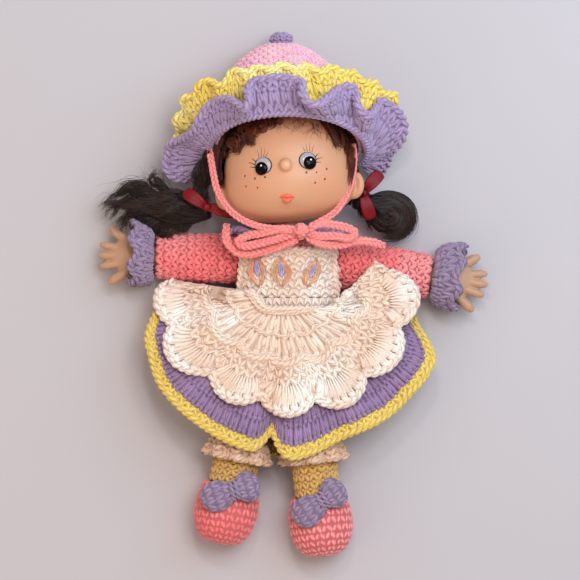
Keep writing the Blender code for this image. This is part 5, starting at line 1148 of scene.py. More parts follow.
def yarn_finish(name, base, plies=True, contrast=1.0, ends=None):
    """Soft plied yarn: twisted plies on the stitches with painted shade in the grooves between them, fuzz, and a colour
    that wavers as dyed yarn does.
    """
    finish = Finish(name, base, 0.85, Sheen_Weight=0.30, Sheen_Roughness=0.45, Specular_IOR_Level=0.25)
    # Painted shade: a darker copy of the yarn's colour, for the grooves between the plies and for the fine mottling of
    # the cloth.
    deep = shaded(base, 0.76 - 0.06 * contrast)
    shade = finish.mix(finish.times(finish.noise(90.0), 0.55), base, shaded(base, 1.08, 0.03))
    if ends is not None:
        blots = finish.mapped(finish.noise(32.0, 2.0), {"From Min": 0.45, "From Max": 0.62})
        shade = finish.mix(blots, shade, colour(*ends))
    fuzz = finish.noise(2600.0, 4.0)
    normal = finish.bump(fuzz, 0.12 * MM, 0.55)
    if not plies:
        return finish.done(finish.mix(fuzz, deep, shade), normal)
    turns = finish.math("MULTIPLY_ADD", finish.yarn("Y"), 1.6, finish.times(finish.yarn("X"), 4.0))
    turns = finish.math("ADD", turns, finish.times(finish.noise(700.0, 2.0), 0.35))
    ply = finish.math("POWER", finish.math("ABSOLUTE", finish.math("SINE", finish.times(turns, math.pi))), 0.6)
    light = finish.math("MULTIPLY_ADD", finish.tone(), 0.16, 0.90)
    grey = finish.node("CombineXYZ", {0: light, 1: light, 2: light}).outputs[0]
    # The grooves between the plies take the painted shade.
    shade = finish.mix(1.0, finish.mix(ply, deep, shade), grey, "MULTIPLY")
    return finish.done(shade, finish.bump(ply, 0.22 * MM, 0.8, normal))


def hair_finish(name, base, tip):
    """Fine hair: a tone for each strand, with painted shade darkening it near its root, and a soft shine."""
    finish = Finish(name, base, 0.38, Specular_IOR_Level=0.35)
    # Painted shade: near the root each strand's tone is cut down towards the dark base colour.
    grown = finish.mapped(finish.yarn("Y"), {"From Max": 0.55, "To Min": 0.25})
    shade = finish.mix(finish.times(finish.tone(), grown), base, tip)
    shade = finish.mix(finish.times(finish.noise(220.0), 0.5), shade, base)
    return finish.done(shade, finish.bump(finish.noise(1800.0), 0.05 * MM, 0.5))


def vinyl_finish(name, base, blush_and_highlight_spots=()):
    """Moulded vinyl: a matt skin with a faint grain, glowing a little, with blush and painted highlights laid on in
    soft spots.
    """
    finish = Finish(name, base, 0.46, Subsurface_Weight=0.12, Subsurface_Scale=1.6 * MM, Specular_IOR_Level=0.38,
                    Subsurface_Radius=(1.0, 0.45, 0.25), Coat_Weight=0.06, Coat_Roughness=0.35)
    where = finish.node("TexCoord").outputs["Object"]
    shade = finish.mix(finish.noise(60.0), base, shaded(base, 1.06, 0.01))
    # The spots are blush on the cheeks and painted highlights on the nose and the chin.
    for centre, reach, strength, blush in blush_and_highlight_spots:
        away = finish.node("VectorMath", {0: where, 1: tuple(centre)}, operation="DISTANCE").outputs["Value"]
        near = finish.mapped(away, {"From Min": 0.0, "From Max": reach, "To Min": strength, "To Max": 0.0},
                             interpolation_type="SMOOTHSTEP")
        shade = finish.mix(near, shade, blush)
    finish.put(finish.shader, "Roughness", finish.mapped(finish.noise(140.0, 4.0), {"To Min": 0.40, "To Max": 0.54}))
    return finish.done(shade, finish.bump(finish.noise(1500.0, 2.0), 0.02 * MM, 0.35))


def satin_finish(name, base):
    """Satin ribbon: fine threads along it, a long shine across them, and paler blotches painted on as sheen."""
    finish = Finish(name, base, 0.38, Specular_IOR_Level=0.28, Anisotropic=0.5)
    threads = finish.math("SINE", finish.times(finish.yarn("Y"), 260.0))
    # Painted sheen: blotches of a much paler red.
    shade = finish.mix(finish.times(finish.noise(260.0, 2.0), 0.6), base, shaded(base, 1.7, 0.002))
    return finish.done(shade, finish.bump(threads, 0.02 * MM, 0.5))


def paint_finish(name, base, roughness=0.35, coat=0.0, shine=0.3):
    """Paint on vinyl, a little uneven in colour and gloss."""
    finish = Finish(name, base, roughness, Coat_Weight=coat, Coat_Roughness=0.03, Specular_IOR_Level=shine)
    shade = finish.mix(finish.noise(900.0, 2.0), shaded(base, 0.8), base)
    return finish.done(shade, finish.bump(finish.noise(1400.0, 2.0), 0.01 * MM, 0.2))


def stuffing_finish(name, base):
    """Loose fibre."""
    finish = Finish(name, base, 0.95, Sheen_Weight=0.3)
    shade = finish.mix(finish.noise(500.0, 4.0), base, shaded(base, 1.1))
    return finish.done(shade, finish.bump(finish.noise(900.0, 5.0), 0.3 * MM, 0.8))


# ---- settings ----


def length_setting(name, description, value, least):
    """A length that the user may change, given in millimetres."""
    return FloatProperty(name=name, description=description, default=value * MM, unit="LENGTH", min=least * MM)


class DollSizes(bpy.types.PropertyGroup):
    """Sizes of the yarn and the hair."""

    stitch_width: length_setting("Stitch width", "Width of one close stitch", 4.6, 1.0)
    stitch_height: length_setting("Row height", "Height of one row of close stitches", 3.6, 1.0)
    yarn_rise: length_setting("Yarn rise", "How far a stitch stands out of the cloth", 1.8, 0.1)
    hair_width: length_setting("Hair width", "Half width of one strand of hair", 0.13, 0.02)
    strands: IntProperty(name="Strands", description="Strands of hair in each pigtail", default=680, min=20)


def shade_setting(name, *values):
    """A colour that the user may change, given as on a colour chart."""
    return FloatVectorProperty(name=name, description=f"Colour of the {name.lower()}", subtype="COLOR", size=3,
                               default=colour(*values), min=0.0, max=1.0)


class DollColours(bpy.types.PropertyGroup):
    """Colours of the yarns, the hair, the vinyl and the ribbon."""

    coral: shade_setting("Coral yarn", 251, 120, 120)
    pale_pink: shade_setting("Pale pink yarn", 252, 184, 206)
    tie_pink: shade_setting("Tie yarn", 255, 142, 136)
    lilac: shade_setting("Lilac yarn", 170, 144, 180)
    skirt_lilac: shade_setting("Skirt yarn", 154, 122, 160)
    cuff_lilac: shade_setting("Cuff yarn", 152, 128, 156)
    yellow: shade_setting("Bonnet yellow yarn", 248, 214, 98)
    edging_yellow: shade_setting("Edging yarn", 236, 202, 98)
    mustard: shade_setting("Sock yarn", 220, 170, 92)
    cream: shade_setting("Cream yarn", 238, 205, 182)
    oat: shade_setting("Pantaloon yarn", 224, 182, 152)
    skin: shade_setting("Vinyl", 205, 147, 110)
    hand_skin: shade_setting("Hand vinyl", 184, 138, 107)
    blush: shade_setting("Blush", 226, 128, 98)
    # The colour of the painted highlights on the nose and the chin.
    painted_skin_highlight: shade_setting("Painted vinyl highlight", 232, 174, 134)
    hair: shade_setting("Hair", 22, 12, 9)
    fringe: shade_setting("Fringe", 50, 18, 11)
    ribbon: shade_setting("Ribbon", 108, 2, 13)
    floor: shade_setting("Table", 187, 179, 180)


# Colours that yarns have at their pale ends, and hair at its tips.
YARN_ENDS = {
    "coral": (255, 156, 154), "pale_pink": (255, 200, 196), "yellow": (255, 240, 156), "cream": (255, 243, 232),
}
HAIR_TIPS = {"hair": (84, 62, 52), "fringe": (172, 82, 52)}
# Paints with their colour, roughness, coat and shine.
PAINTS = {
    "eye_white": ((178, 166, 170), 0.2, 0.1), "eye_glint": ((255, 255, 255), 0.05, 1.0),
    "eye_black": ((9, 4, 3), 0.12, 0.0, 0.10), "eye_outline": ((70, 52, 50), 0.4),
    "lash_paint": ((58, 42, 44), 0.5), "freckle_paint": ((112, 62, 44), 0.5),
    "lip_paint": ((240, 106, 78), 0.36, 0.2),
}
LEAF_YARNS = {"leaf_thread": ((250, 172, 132), (250, 196, 128)), "leaf_heart": ((190, 172, 208), None)}
# Colour laid on the face in soft spots, blush on the cheeks and painted highlights of paler vinyl on the nose and the
# chin: where from the head's middle line and height, how far, how strongly and which.
BLUSH_AND_HIGHLIGHT_SPOTS = (
    ((-17.0 * MM, HEAD_LINE - 9.0 * MM, HEAD_HEIGHT + 19.0 * MM), 12.0 * MM, 0.22, "blush"),
    ((18.5 * MM, HEAD_LINE - 5.5 * MM, HEAD_HEIGHT + 19.0 * MM), 12.0 * MM, 0.26, "blush"),
    # Painted highlights: a small one on the nose and a wide one on the chin.
    ((-1.1 * MM, 57.6 * MM, HEAD_HEIGHT + 25.5 * MM), 4.6 * MM, 0.85, "painted_skin_highlight"),
    ((0.0, HEAD_LINE - 20.0 * MM, HEAD_HEIGHT + 12.0 * MM), 22.0 * MM, 0.55, "painted_skin_highlight"),
)
# How much darker the cloth under the stitches is painted: painted shade in the gaps between the stitches.
CLOTH_PAINTED_SHADE, CREAM_CLOTH_PAINTED_SHADE = 0.66, 0.84
finishes = {}


def new_finish(name):
    """Makes the finish called name from the colours that the user has set."""
    shades = bpy.context.scene.doll_colours
    if name in PAINTS:
        shade, *others = PAINTS[name]
        return paint_finish(name, colour(*shade), *others)
    if name in LEAF_YARNS:
        shade, ends = LEAF_YARNS[name]
        return yarn_finish(name, colour(*shade), ends=ends)
    if name == "stuffing":
        return stuffing_finish(name, colour(236, 232, 226))
    if name.endswith("_cloth"):
        base = getattr(shades, name.removesuffix("_cloth"))
        # The cloth under the stitches is its yarn's colour darkened as painted shade in the gaps between stitches.
        return yarn_finish(name, shaded(base, CREAM_CLOTH_PAINTED_SHADE if name == "cream_cloth" else CLOTH_PAINTED_SHADE), False)
    base = tuple(getattr(shades, name))
    if name == "skin":
        return vinyl_finish(name, base, [(*row[:3], tuple(getattr(shades, row[3]))) for row in BLUSH_AND_HIGHLIGHT_SPOTS])
    if name == "hand_skin":
        return vinyl_finish(name, base)
    if name in HAIR_TIPS:
        return hair_finish(name, base, colour(*HAIR_TIPS[name]))
    if name == "ribbon":
        return satin_finish(name, base)
    return yarn_finish(name, base, contrast=0.3 if name == "cream" else 1.0, ends=YARN_ENDS.get(name))


def finish(name):
    """The finish called name, made on first use."""
    if name not in finishes:
        finishes[name] = new_finish(name)
    return finishes[name]


def sizes():
    """The sizes that the user has set."""
    return bpy.context.scene.doll_sizes


def close_stitch():
    """Width, row height and rise of the close stitches."""
    return sizes().stitch_width, sizes().stitch_height, sizes().yarn_rise


# The slot of each yarn's finish in the CAD model.
YARN_SLOTS = {
    "coral": "pink_yarn", "oat": "cream_yarn", "cream": "cream_yarn", "pale_pink": "pale_pink_yarn",
    "lilac": "lilac_yarn", "skirt_lilac": "lilac_yarn", "cuff_lilac": "lilac_yarn", "yellow": "yellow_yarn",
    "edging_yellow": "yellow_yarn", "mustard": "yellow_yarn",
}


class Crochet:
    """A crocheted piece in the making: its surface, the thin cloth under its stitches, and the stitches."""

    def __init__(self, name, cloth, shade, body, node, base, base_name=None):
        """base holds the thin cloth's thickness, columns, rows, and its offset and lift where it has them."""
        thickness, columns, rows, offset, lift = (*base, 0.0, 0.0)[:5]
        self.name, self.cloth, self.shade, self.body, self.slot = name, cloth, shade, body, YARN_SLOTS[shade]
        self.base = base_cloth(base_name or name + "_cloth", cloth, finish(shade + "_cloth"), thickness * MM,
                               columns, rows, body, offset, lift * MM, node=node)
        self.work = Bundle()

    def bands(self, *bands, sides=(1.0, -1.0)):
        """Rows of stitches on both faces: kind, two shares along, then width, rise and lift in millimetres."""
        for side in sides:
            for kind, low, high, width, rise, lift, *others in bands:
                stitch_row(self.work, self.cloth, kind, low, high, width * MM, rise * MM, lift * MM, side, *others)

    def close_rows(self, kind, *measures, **others):
        """Rows of close stitches all over."""
        stitch_rows(self.work, self.cloth, kind, *measures, **others)

    def edge(self, *measures, **others):
        """The doubled cord that binds an edge."""
        edge_rope(self.work, self.cloth, *measures, **others)

    def stitched(self):
        """Ends the piece: its stitches as one mesh."""
        piece = self.work.piece(self.name + "_stitches", finish(self.shade), self.body, self.slot)


DONE = {"FINISHED"}


# ---- pieces ----


class DOLL_OT_stuffing(bpy.types.Operator):
    """Loose fibre inside the trunk, the arms and the legs"""

    bl_idname = "doll.stuffing"
    bl_label = "Stuffing"
    bl_options = {"REGISTER", "UNDO"}

    def execute(self, context):
        rows = [("torso_stuffing", "torso")]
        for _, label in SIDES:
            rows += [(label + "_arm_stuffing", label + "_arm"), (label + "_leg_stuffing", label + "_leg")]
        for node, body in rows:
            piece = frame["nodes"][node].copy()
            piece.data = piece.data.copy()
            piece.parent = None
            piece.matrix_world = Matrix.Identity(4)
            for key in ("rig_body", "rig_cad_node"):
                del piece[key]
            bpy.context.scene.collection.objects.link(piece)
            melted(welded(piece), 1.3 * MM, 6)
            points = points_of(piece)
            centre = points.mean(axis=0)
            lumps = np.sin(points * 900.0).sum(axis=1, keepdims=True) * 0.012
            put_points(piece, centre + (points - centre) * (0.975 + lumps * 0.3))
            named(piece, node + "_fibre", finish("stuffing"), body, node)
        return DONE


def fullness(across, up):
    """How much wider the cheeks and the jowls make the head in a direction."""
    drop = np.maximum(0.0, -2.0 * up * np.sqrt(np.maximum(0.0, 1.0 - up**2)))
    jowl = np.where(up < 0.0, (2.0 * across * up) ** 2, 0.0)
    return 1.0 + CHEEK_SHARE * drop, 1.0 + JOWL_SHARE * jowl


def head_surface(directions):
    """Points of the head in unit directions from its middle, before it leans."""
    cheek, jowl = fullness(directions[:, 0], directions[:, 1])
    rise = np.where(directions[:, 1] > 0.0, HEAD_CROWN_RISE, HEAD_CHIN_DROP)
    return spots(HEAD_HALF_WIDTH * cheek * jowl * directions[:, 0], HEAD_LINE + rise * jowl * directions[:, 1],
                 HEAD_HEIGHT + HEAD_HALF_DEPTH * cheek * directions[:, 2])


def face_height(x, y):
    """Height of the bare face at places given before the head leans."""
    rise = np.asarray(y) - HEAD_LINE
    wide, tall = np.asarray(x) / HEAD_HALF_WIDTH, rise / np.where(rise > 0.0, HEAD_CROWN_RISE, HEAD_CHIN_DROP)
    across, up = np.clip(wide, -1.0, 1.0), np.clip(tall, -1.0, 1.0)
    for _ in range(8):
        cheek, jowl = fullness(across, up)
        across, up = np.clip(wide / (cheek * jowl), -1.0, 1.0), np.clip(tall / jowl, -1.0, 1.0)
    left = np.maximum(0.0, 1.0 - up**2 - across**2)
    return HEAD_HEIGHT + HEAD_HALF_DEPTH * fullness(across, up)[0] * np.sqrt(left)


def on_face(x, y, lift=0.0):
    """Points on the face over places of the picture, and the directions square to it."""
    x, y = np.atleast_1d(np.asarray(x, float)), np.atleast_1d(np.asarray(y, float))
    back = turned_about_z(spots(x, y, 0.0), -HEAD_TILT, HEAD_CENTRE)
    step = 0.2 * MM
    height = face_height(back[:, 0], back[:, 1]) + face_relief(x, y)
    slopes = []
    for dx, dy in ((step, 0.0), (0.0, step)):
        near = turned_about_z(spots(x + dx, y + dy, 0.0), -HEAD_TILT, HEAD_CENTRE)
        slopes.append((face_height(near[:, 0], near[:, 1]) + face_relief(x + dx, y + dy) - height) / step)
    square = spots(-slopes[0], -slopes[1], 1.0)
    square /= np.linalg.norm(square, axis=1, keepdims=True)
    return spots(x, y, height) + square * lift, square


def hill(x, y, centre, across, along):
    """A soft rise of one at its centre."""
    return np.exp(-(((x - centre[0]) / across) ** 2) - ((y - centre[1]) / along) ** 2)


def face_relief(x, y):
    """Soft hollows and swellings of the moulded face over its plain egg shape."""
    relief = np.zeros(np.shape(x))
    for place, _ in EYES.values():
        relief = relief - 0.7 * MM * hill(x, y, place, 5.2 * MM, 4.6 * MM)
    relief = relief + 0.55 * MM * hill(x, y, MOUTH, 6.0 * MM, 4.0 * MM)
    relief = relief - 0.35 * MM * hill(x, y, (MOUTH[0], MOUTH[1] - 4.6 * MM), 5.0 * MM, 1.8 * MM)
    return relief


def unit_ball(segments, rings):
    """A round shape, and the directions of its points from its middle."""
    piece = ball((0.0, 0.0, 0.0), (1.0, 1.0, 1.0), segments=segments, rings=rings)
    directions = points_of(piece)
    return piece, directions / np.linalg.norm(directions, axis=1, keepdims=True)


def square_to(direction):
    """The turn that stands a shape up along a direction."""
    return Vector(direction).to_track_quat("Z", "Y").to_matrix().to_4x4()


class DOLL_OT_head(bpy.types.Operator):
    """Vinyl head with its neck, nose and ears"""

    bl_idname = "doll.head"
    bl_label = "Vinyl head"
    bl_options = {"REGISTER", "UNDO"}

    def execute(self, context):
        head, directions = unit_ball(96, 64)
        put_points(head, tilted(head_surface(directions)))
        nose_place, _ = on_face(*NOSE_PLACE, 0.15 * MM)
        parts = [head, ball(nose_place[0], (NOSE_RADIUS, NOSE_RADIUS, NOSE_RADIUS * 1.05))]
        for side, _ in SIDES:
            centre = tilted(np.array(((side * HEAD_HALF_WIDTH, HEAD_LINE - EAR_DROP, HEAD_HEIGHT),)))[0]
            parts.append(self.ear(centre, side))
        neck = np.array(((0.0, SHOULDER_LINE - NECK_DEPTH, TRUNK_HEIGHT), (0.0, HEAD_LINE, TRUNK_HEIGHT)))
        parts.append(tube(even_route(neck, 20), NECK_RADIUS, 24))
        parts.append(tube(np.array((neck[0], neck[0] + (0.0, 2.4 * MM, 0.0))), 8.6 * MM, 24))
        head = joined(parts, voxel=0.55 * MM, smoothing=5)
        points = points_of(head)
        front = points[:, 2] > HEAD_HEIGHT + 6.0 * MM
        points[front, 2] += face_relief(points[front, 0], points[front, 1])
        named(put_points(head, points), "head", finish("skin"), "head", "head_shell")
        return DONE

    def ear(self, centre, side):
        """An ear's shell, pressed in so that a rim is left round it."""
        lean = Matrix.Rotation(-side * EAR_LEAN, 4, "Y")
        ear = ball(centre, (5.4 * MM, 6.6 * MM, 3.0 * MM), lean)
        turn = np.array(lean.to_3x3())
        local = (points_of(ear) - centre) @ turn
        dent = hill(local[:, 0], local[:, 1], (side * 0.9 * MM, 0.6 * MM), 2.4 * MM, 3.0 * MM)
        local[:, 2] -= np.where(local[:, 2] > 0.0, 2.4 * MM, 0.0) * dent
        return put_points(ear, local @ turn.T + centre)


# The lashes over an eye and those at its outer corner: degrees, and lengths in millimetres.
UPPER_LASHES = ((104.0, 2.6), (90.0, 3.4), (76.0, 3.9), (62.0, 3.2))
OUTER_LASHES = ((26.0, 2.3), (6.0, 3.0), (-12.0, 2.3))
# The upper and the lower lip: rise, half width, thickness and bend in millimetres, and how full the lip is.
LIPS = ((0.95, 3.5, 1.10, -0.95, 1.0), (-1.15, 2.3, 1.55, 0.95, 1.4))


class DOLL_OT_face(bpy.types.Operator):
    """Glossy eyes, painted lashes, freckles and lips"""

    bl_idname = "doll.face"
    bl_label = "Eyes and painted face"
    bl_options = {"REGISTER", "UNDO"}

    def execute(self, context):
        for label, (place, lean) in EYES.items():
            self.eye(label, place, lean)
            self.lashes(label, place)
        self.lips()
        parts = []
        for x, y in FRECKLES:
            centre, square = on_face(x * MM, y * MM, 0.02 * MM)
            size = chance.uniform(0.40, 0.55) * MM
            parts.append(ball(centre[0], (size, size * 0.9, 0.09 * MM), square_to(square[0]), 14, 8))
        named(joined(parts), "freckles", finish("freckle_paint"), "head")
        return DONE

    def eye(self, label, place, lean):
        """A white dome with a black iris low in it, a dark rim and a glint."""
        centre, square = on_face(*place, 0.1 * MM)
        turn = square_to(square[0]) @ Matrix.Rotation(lean, 4, "Z")
        white = ball(centre[0], (3.70 * MM, 3.85 * MM, 1.35 * MM), turn, 48, 24)
        inward = np.array(turn.to_3x3())
        local = (points_of(white) - centre[0]) @ inward
        local[:, 0] *= 1.0 - local[:, 1] / (4.0 * MM) * 0.06
        local[:, 1] *= 1.0 - 0.03
        put_points(white, local @ inward.T + centre[0])
        named(white, label + "_eye_white", finish("eye_white"), "head", label + "_eye")
        rim = ball(centre[0] - square[0] * 0.15 * MM, (3.92 * MM, 4.15 * MM, 1.0 * MM), turn, 48, 16)
        named(rim, label + "_eye_rim", finish("eye_outline"), "head")
        low, low_square = on_face(*IRISES[label], 0.95 * MM)
        iris = ball(low[0], (3.00 * MM, 2.95 * MM, 1.38 * MM), turn, 48, 24)
        named(iris, label + "_iris", finish("eye_black"), "head")
        glint_place = low[0] + np.array((0.2 * MM, 1.15 * MM, 0.0)) + low_square[0] * 1.30 * MM
        glint = ball(glint_place, (0.42 * MM, 0.42 * MM, 0.14 * MM), turn, 16, 8)
        named(glint, label + "_iris_glint", finish("eye_glint"), "head")

    def lashes(self, label, place):
        """Painted lashes: long ones above the eye and short ones at its outer corner."""
        side = SIDE_OF[label]
        strokes = [(degrees, 4.2 * MM, length * MM, 0.13) for degrees, length in UPPER_LASHES]
        strokes += [(degrees, 3.8 * MM, length * MM, 0.24) for degrees, length in OUTER_LASHES]
        parts = []
        for degrees, start, length, thick in strokes:
            angle = math.radians(degrees if side > 0 else 180.0 - degrees)
            way = np.array((math.cos(angle), math.sin(angle)))
            steps = shares_of(7)[:, None]
            bend = np.array((-way[1], way[0])) * np.sin(steps * math.pi / 2.0) * 0.22 * length * side
            flat = np.array(place) + way * (start + length * steps) + bend
            route, _ = on_face(flat[:, 0], flat[:, 1], 0.03 * MM)
            parts.append(tube(route, np.linspace(thick, thick * 0.3, 7) * MM, 6))
        named(joined(parts), label + "_lashes", finish("lash_paint"), "head")

    def lips(self):
        """Pursed lips: an upper one with thin pointed corners over a small full lower one."""
        parts = []
        for rise, half, thick, bend, power in LIPS:
            steps = np.linspace(-1.0, 1.0, 29)
            x = MOUTH[0] + steps * half * MM
            y = MOUTH[1] + (rise + bend * np.abs(steps) ** 1.5) * MM
            if rise > 0.0:
                y = y - 0.22 * MM * np.exp(-((steps / 0.16) ** 2))
            route, _ = on_face(x, y, 0.05 * MM)
            parts.append(tube(route, thick * MM * np.maximum(0.10, (1.0 - np.abs(steps) ** power) ** 0.62), 14))
        lips = joined(parts, voxel=0.16 * MM, smoothing=4)
        named(lips, "lips", finish("lip_paint"), "head")


def crown_tip():
    """The middle of the crown's last row."""
    return crown_place(shares_of(24), np.ones(24)).mean(axis=0)


class DOLL_OT_bonnet(bpy.types.Operator):
    """Bonnet: crown, top button and the two gathered ruffles"""

    bl_idname = "doll.bonnet"
    bl_label = "Bonnet"
    bl_options = {"REGISTER", "UNDO"}

    def execute(self, context):
        width, height, rise = close_stitch()
        crown = Crochet("crown", Cloth(crown_place, 160, 40, closed=True), "pale_pink", "head", "bonnet_crown",
                        (1.3, 64, 16, -1.0, -1.0))
        crown.close_rows("knot", width, height, rise, -1.0 * MM, start=0.02)
        for row in range(3):
            stitch_row(crown.work, crown.cloth, "knot", 0.085 * row, 0.085 * row + 0.09, width, 0.8 * MM, 1.9 * MM,
                       -1.0)
        tip = crown_tip()

        def tip_place(across, along):
            ring = crown_place(across, np.ones_like(along))
            return tip + (ring - tip) * (1.0 - along)[:, None] + spots(0.0, 0.9 * MM * along, 0.0)

        stitch_rows(crown.work, Cloth(tip_place, 48, 8, closed=True), "knot", 3.6 * MM, 2.6 * MM, 1.4 * MM, -0.9 * MM,
                    start=-0.15, end=0.9)
        crown.stitched()
        self.button(tip)
        for step, shade, flat in ((0, "lilac", (0.30, 0.0150)), (1, "yellow", (0.28, 0.0120))):
            cloth = Cloth(lambda across, along, step=step: ruffle_place(step, across, along), 420, 24)
            name = f"bonnet_{shade}_ruffle"
            ruffle = Crochet(name, cloth, shade, "head", name, (0.9, 210, 8))
            ruffle.bands(("knot", -0.03, 0.20, 4.4, 1.5, 0.1, 0.0, None, 0.2),
                         ("post", 0.16, 0.58, 4.6, 1.6, 0.1, 0.5, None, 0.1), ("knot", 0.54, 0.86, 4.6, 1.6, 0.1))
            ruffle.edge(0.0, 1.0 * MM, 5.0 * MM)
            ruffle.edge(0.93, 1.15 * MM, 7.0 * MM)
            ruffle.stitched()
        return DONE

    def button(self, tip):
        """The round button on the crown's tip."""
        centre = tip + np.array((0.0, BUTTON_THICKNESS * 0.5 + GAP, 0.0))
        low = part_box("bonnet_button")[0].y + 0.2 * MM

        def place(across, along):
            back, angle = math.pi * along, TURN * across
            radius = BUTTON_RADIUS * np.sin(back)
            point = spots(radius * np.cos(angle), BUTTON_THICKNESS * np.cos(back), radius * np.sin(angle)) + centre
            point[:, 1] = np.maximum(point[:, 1], low)
            return point

        cloth = Cloth(place, 48, 24, closed=True)
        base = base_cloth("bonnet_button_core", cloth, finish("lilac_cloth"), 0.0, 32, 12, "head", lift=-0.9 * MM,
                          node="bonnet_button")
        work = Bundle()
        stitch_rows(work, cloth, "knot", 3.2 * MM, 2.9 * MM, 1.2 * MM, -1.0 * MM, start=0.04, end=0.8)
        work.piece("bonnet_button_stitches", finish("lilac"), "head", "lilac_yarn")


# Sizes of the hair: the cap's lift off the head and its wall, how far the head is bare below the hair in front and
# behind, the strands of each kind, and the steps of a pigtail's core.
CAP_LIFT, CAP_WALL = 1.5 * MM, 0.8 * MM
BARE_FRONT, BARE_BACK = 4.0, 17.0
CROWN_STRANDS, COMBED_STRANDS, WISPS, CORE_STRANDS, CORE_STEPS = 340, 440, 70, 150, 30
# A pigtail's root as a direction from the head's middle, with its sign for the doll's left.
PIGTAIL_ROOT = (0.88, -0.60, -0.50)
# The left pigtail's round curl: its middle and its reach in the picture.
CURL_X, CURL_Y, CURL_WIDE, CURL_TALL = 390.0, 216.0, 23.0, 22.5
# How many loose strands a pigtail has, and how far they stray.
LOOSE_STRANDS = {"right": (260, 1.0 * MM), "left": (150, 0.7 * MM)}


def over_head(directions, lift):
    """Points over the head in unit directions from its middle."""
    return tilted(HEAD_CENTRE + (head_surface(directions) - HEAD_CENTRE) * (1.0 + lift / HEAD_HALF_DEPTH))


def on_hair(x, y, lift):
    """Points over the face or round the head's side where the fringe lies."""
    back = turned_about_z(spots(x, y, 0.0), -HEAD_TILT, HEAD_CENTRE)
    height = face_height(back[:, 0], back[:, 1])
    points = spots(x, y, np.maximum(height, HEAD_HEIGHT + 2.0 * MM))
    away = points - HEAD_CENTRE
    return points + away / np.linalg.norm(away, axis=1, keepdims=True) * lift


def lock(route, width, count, curl, turns, frizz=0.25, clumps=6, up_share=0.7):
    """Strands in clumps that run together along a route, with a wave, and thin out to its end."""
    steps = len(route)
    side, up = route_frames(route)
    run = shares_of(steps)
    spread = width * np.minimum(0.45 + 1.6 * run, 1.0) * (1.0 - 0.6 * run**4)
    clump = chance.integers(0, clumps, count)
    centre = chance.uniform(0, TURN, clumps)[clump]
    out = 0.62 * np.sqrt(chance.uniform(0.1, 1, clumps))[clump]
    across = out * np.cos(centre) + chance.normal(0.0, 0.22, count)
    over = out * np.sin(centre) + chance.normal(0.0, 0.22, count)
    phase = centre + chance.normal(0.0, 0.25, count)
    wave = TURN * turns * run[None, :] + phase[:, None]
    swing = curl * np.minimum(run * 3.0, 1.0)
    stray = np.cumsum(chance.normal(0.0, 1.0, (count, steps, 2)), axis=1) * frizz * width / steps
    beside = across[:, None] * spread + swing * np.cos(wave) + stray[..., 0]
    above = up_share * (over[:, None] * spread + swing * np.sin(wave)) + stray[..., 1]
    routes = route[None] + side[None] * beside[..., None] + up[None] * above[..., None]
    routes = shortened(routes, chance.uniform(0.78, 1.0, count))
    tones = np.clip(chance.uniform(0.0, 0.9, clumps)[clump] + chance.normal(0.0, 0.12, count), 0.0, 1.0)
    return routes, tones


def shortened(routes, shares):
    """Each strand ends at its own share of the route."""
    steps = np.arange(routes.shape[1])[None, :] * shares[:, None]
    low = np.minimum(steps.astype(int), routes.shape[1] - 2)
    share = (steps - low)[..., None]
    rows = np.arange(len(routes))[:, None]
    return routes[rows, low] * (1.0 - share) + routes[rows, low + 1] * share


class Hair:
    """Strands in the making: their routes and tones."""

    def __init__(self):
        self.routes, self.tones = [], []

    def add(self, route, tone):
        self.routes.append(route)
        self.tones.append(tone)

    def add_lock(self, route, *measures, fade=1.0):
        """A lock of strands along a route, its tones darkened by fade."""
        routes, tones = lock(route, *measures)
        self.routes.extend(routes)
        self.tones.extend(tones * fade)

    def piece(self, name, shade, body, thick):
        """The strands as one mesh. thick holds how many times the hair's width each strand is."""
        strands = hair_strands(np.array(self.routes), sizes().hair_width * np.asarray(thick), np.array(self.tones))
        strands.piece(name, finish(shade), body, "hair")


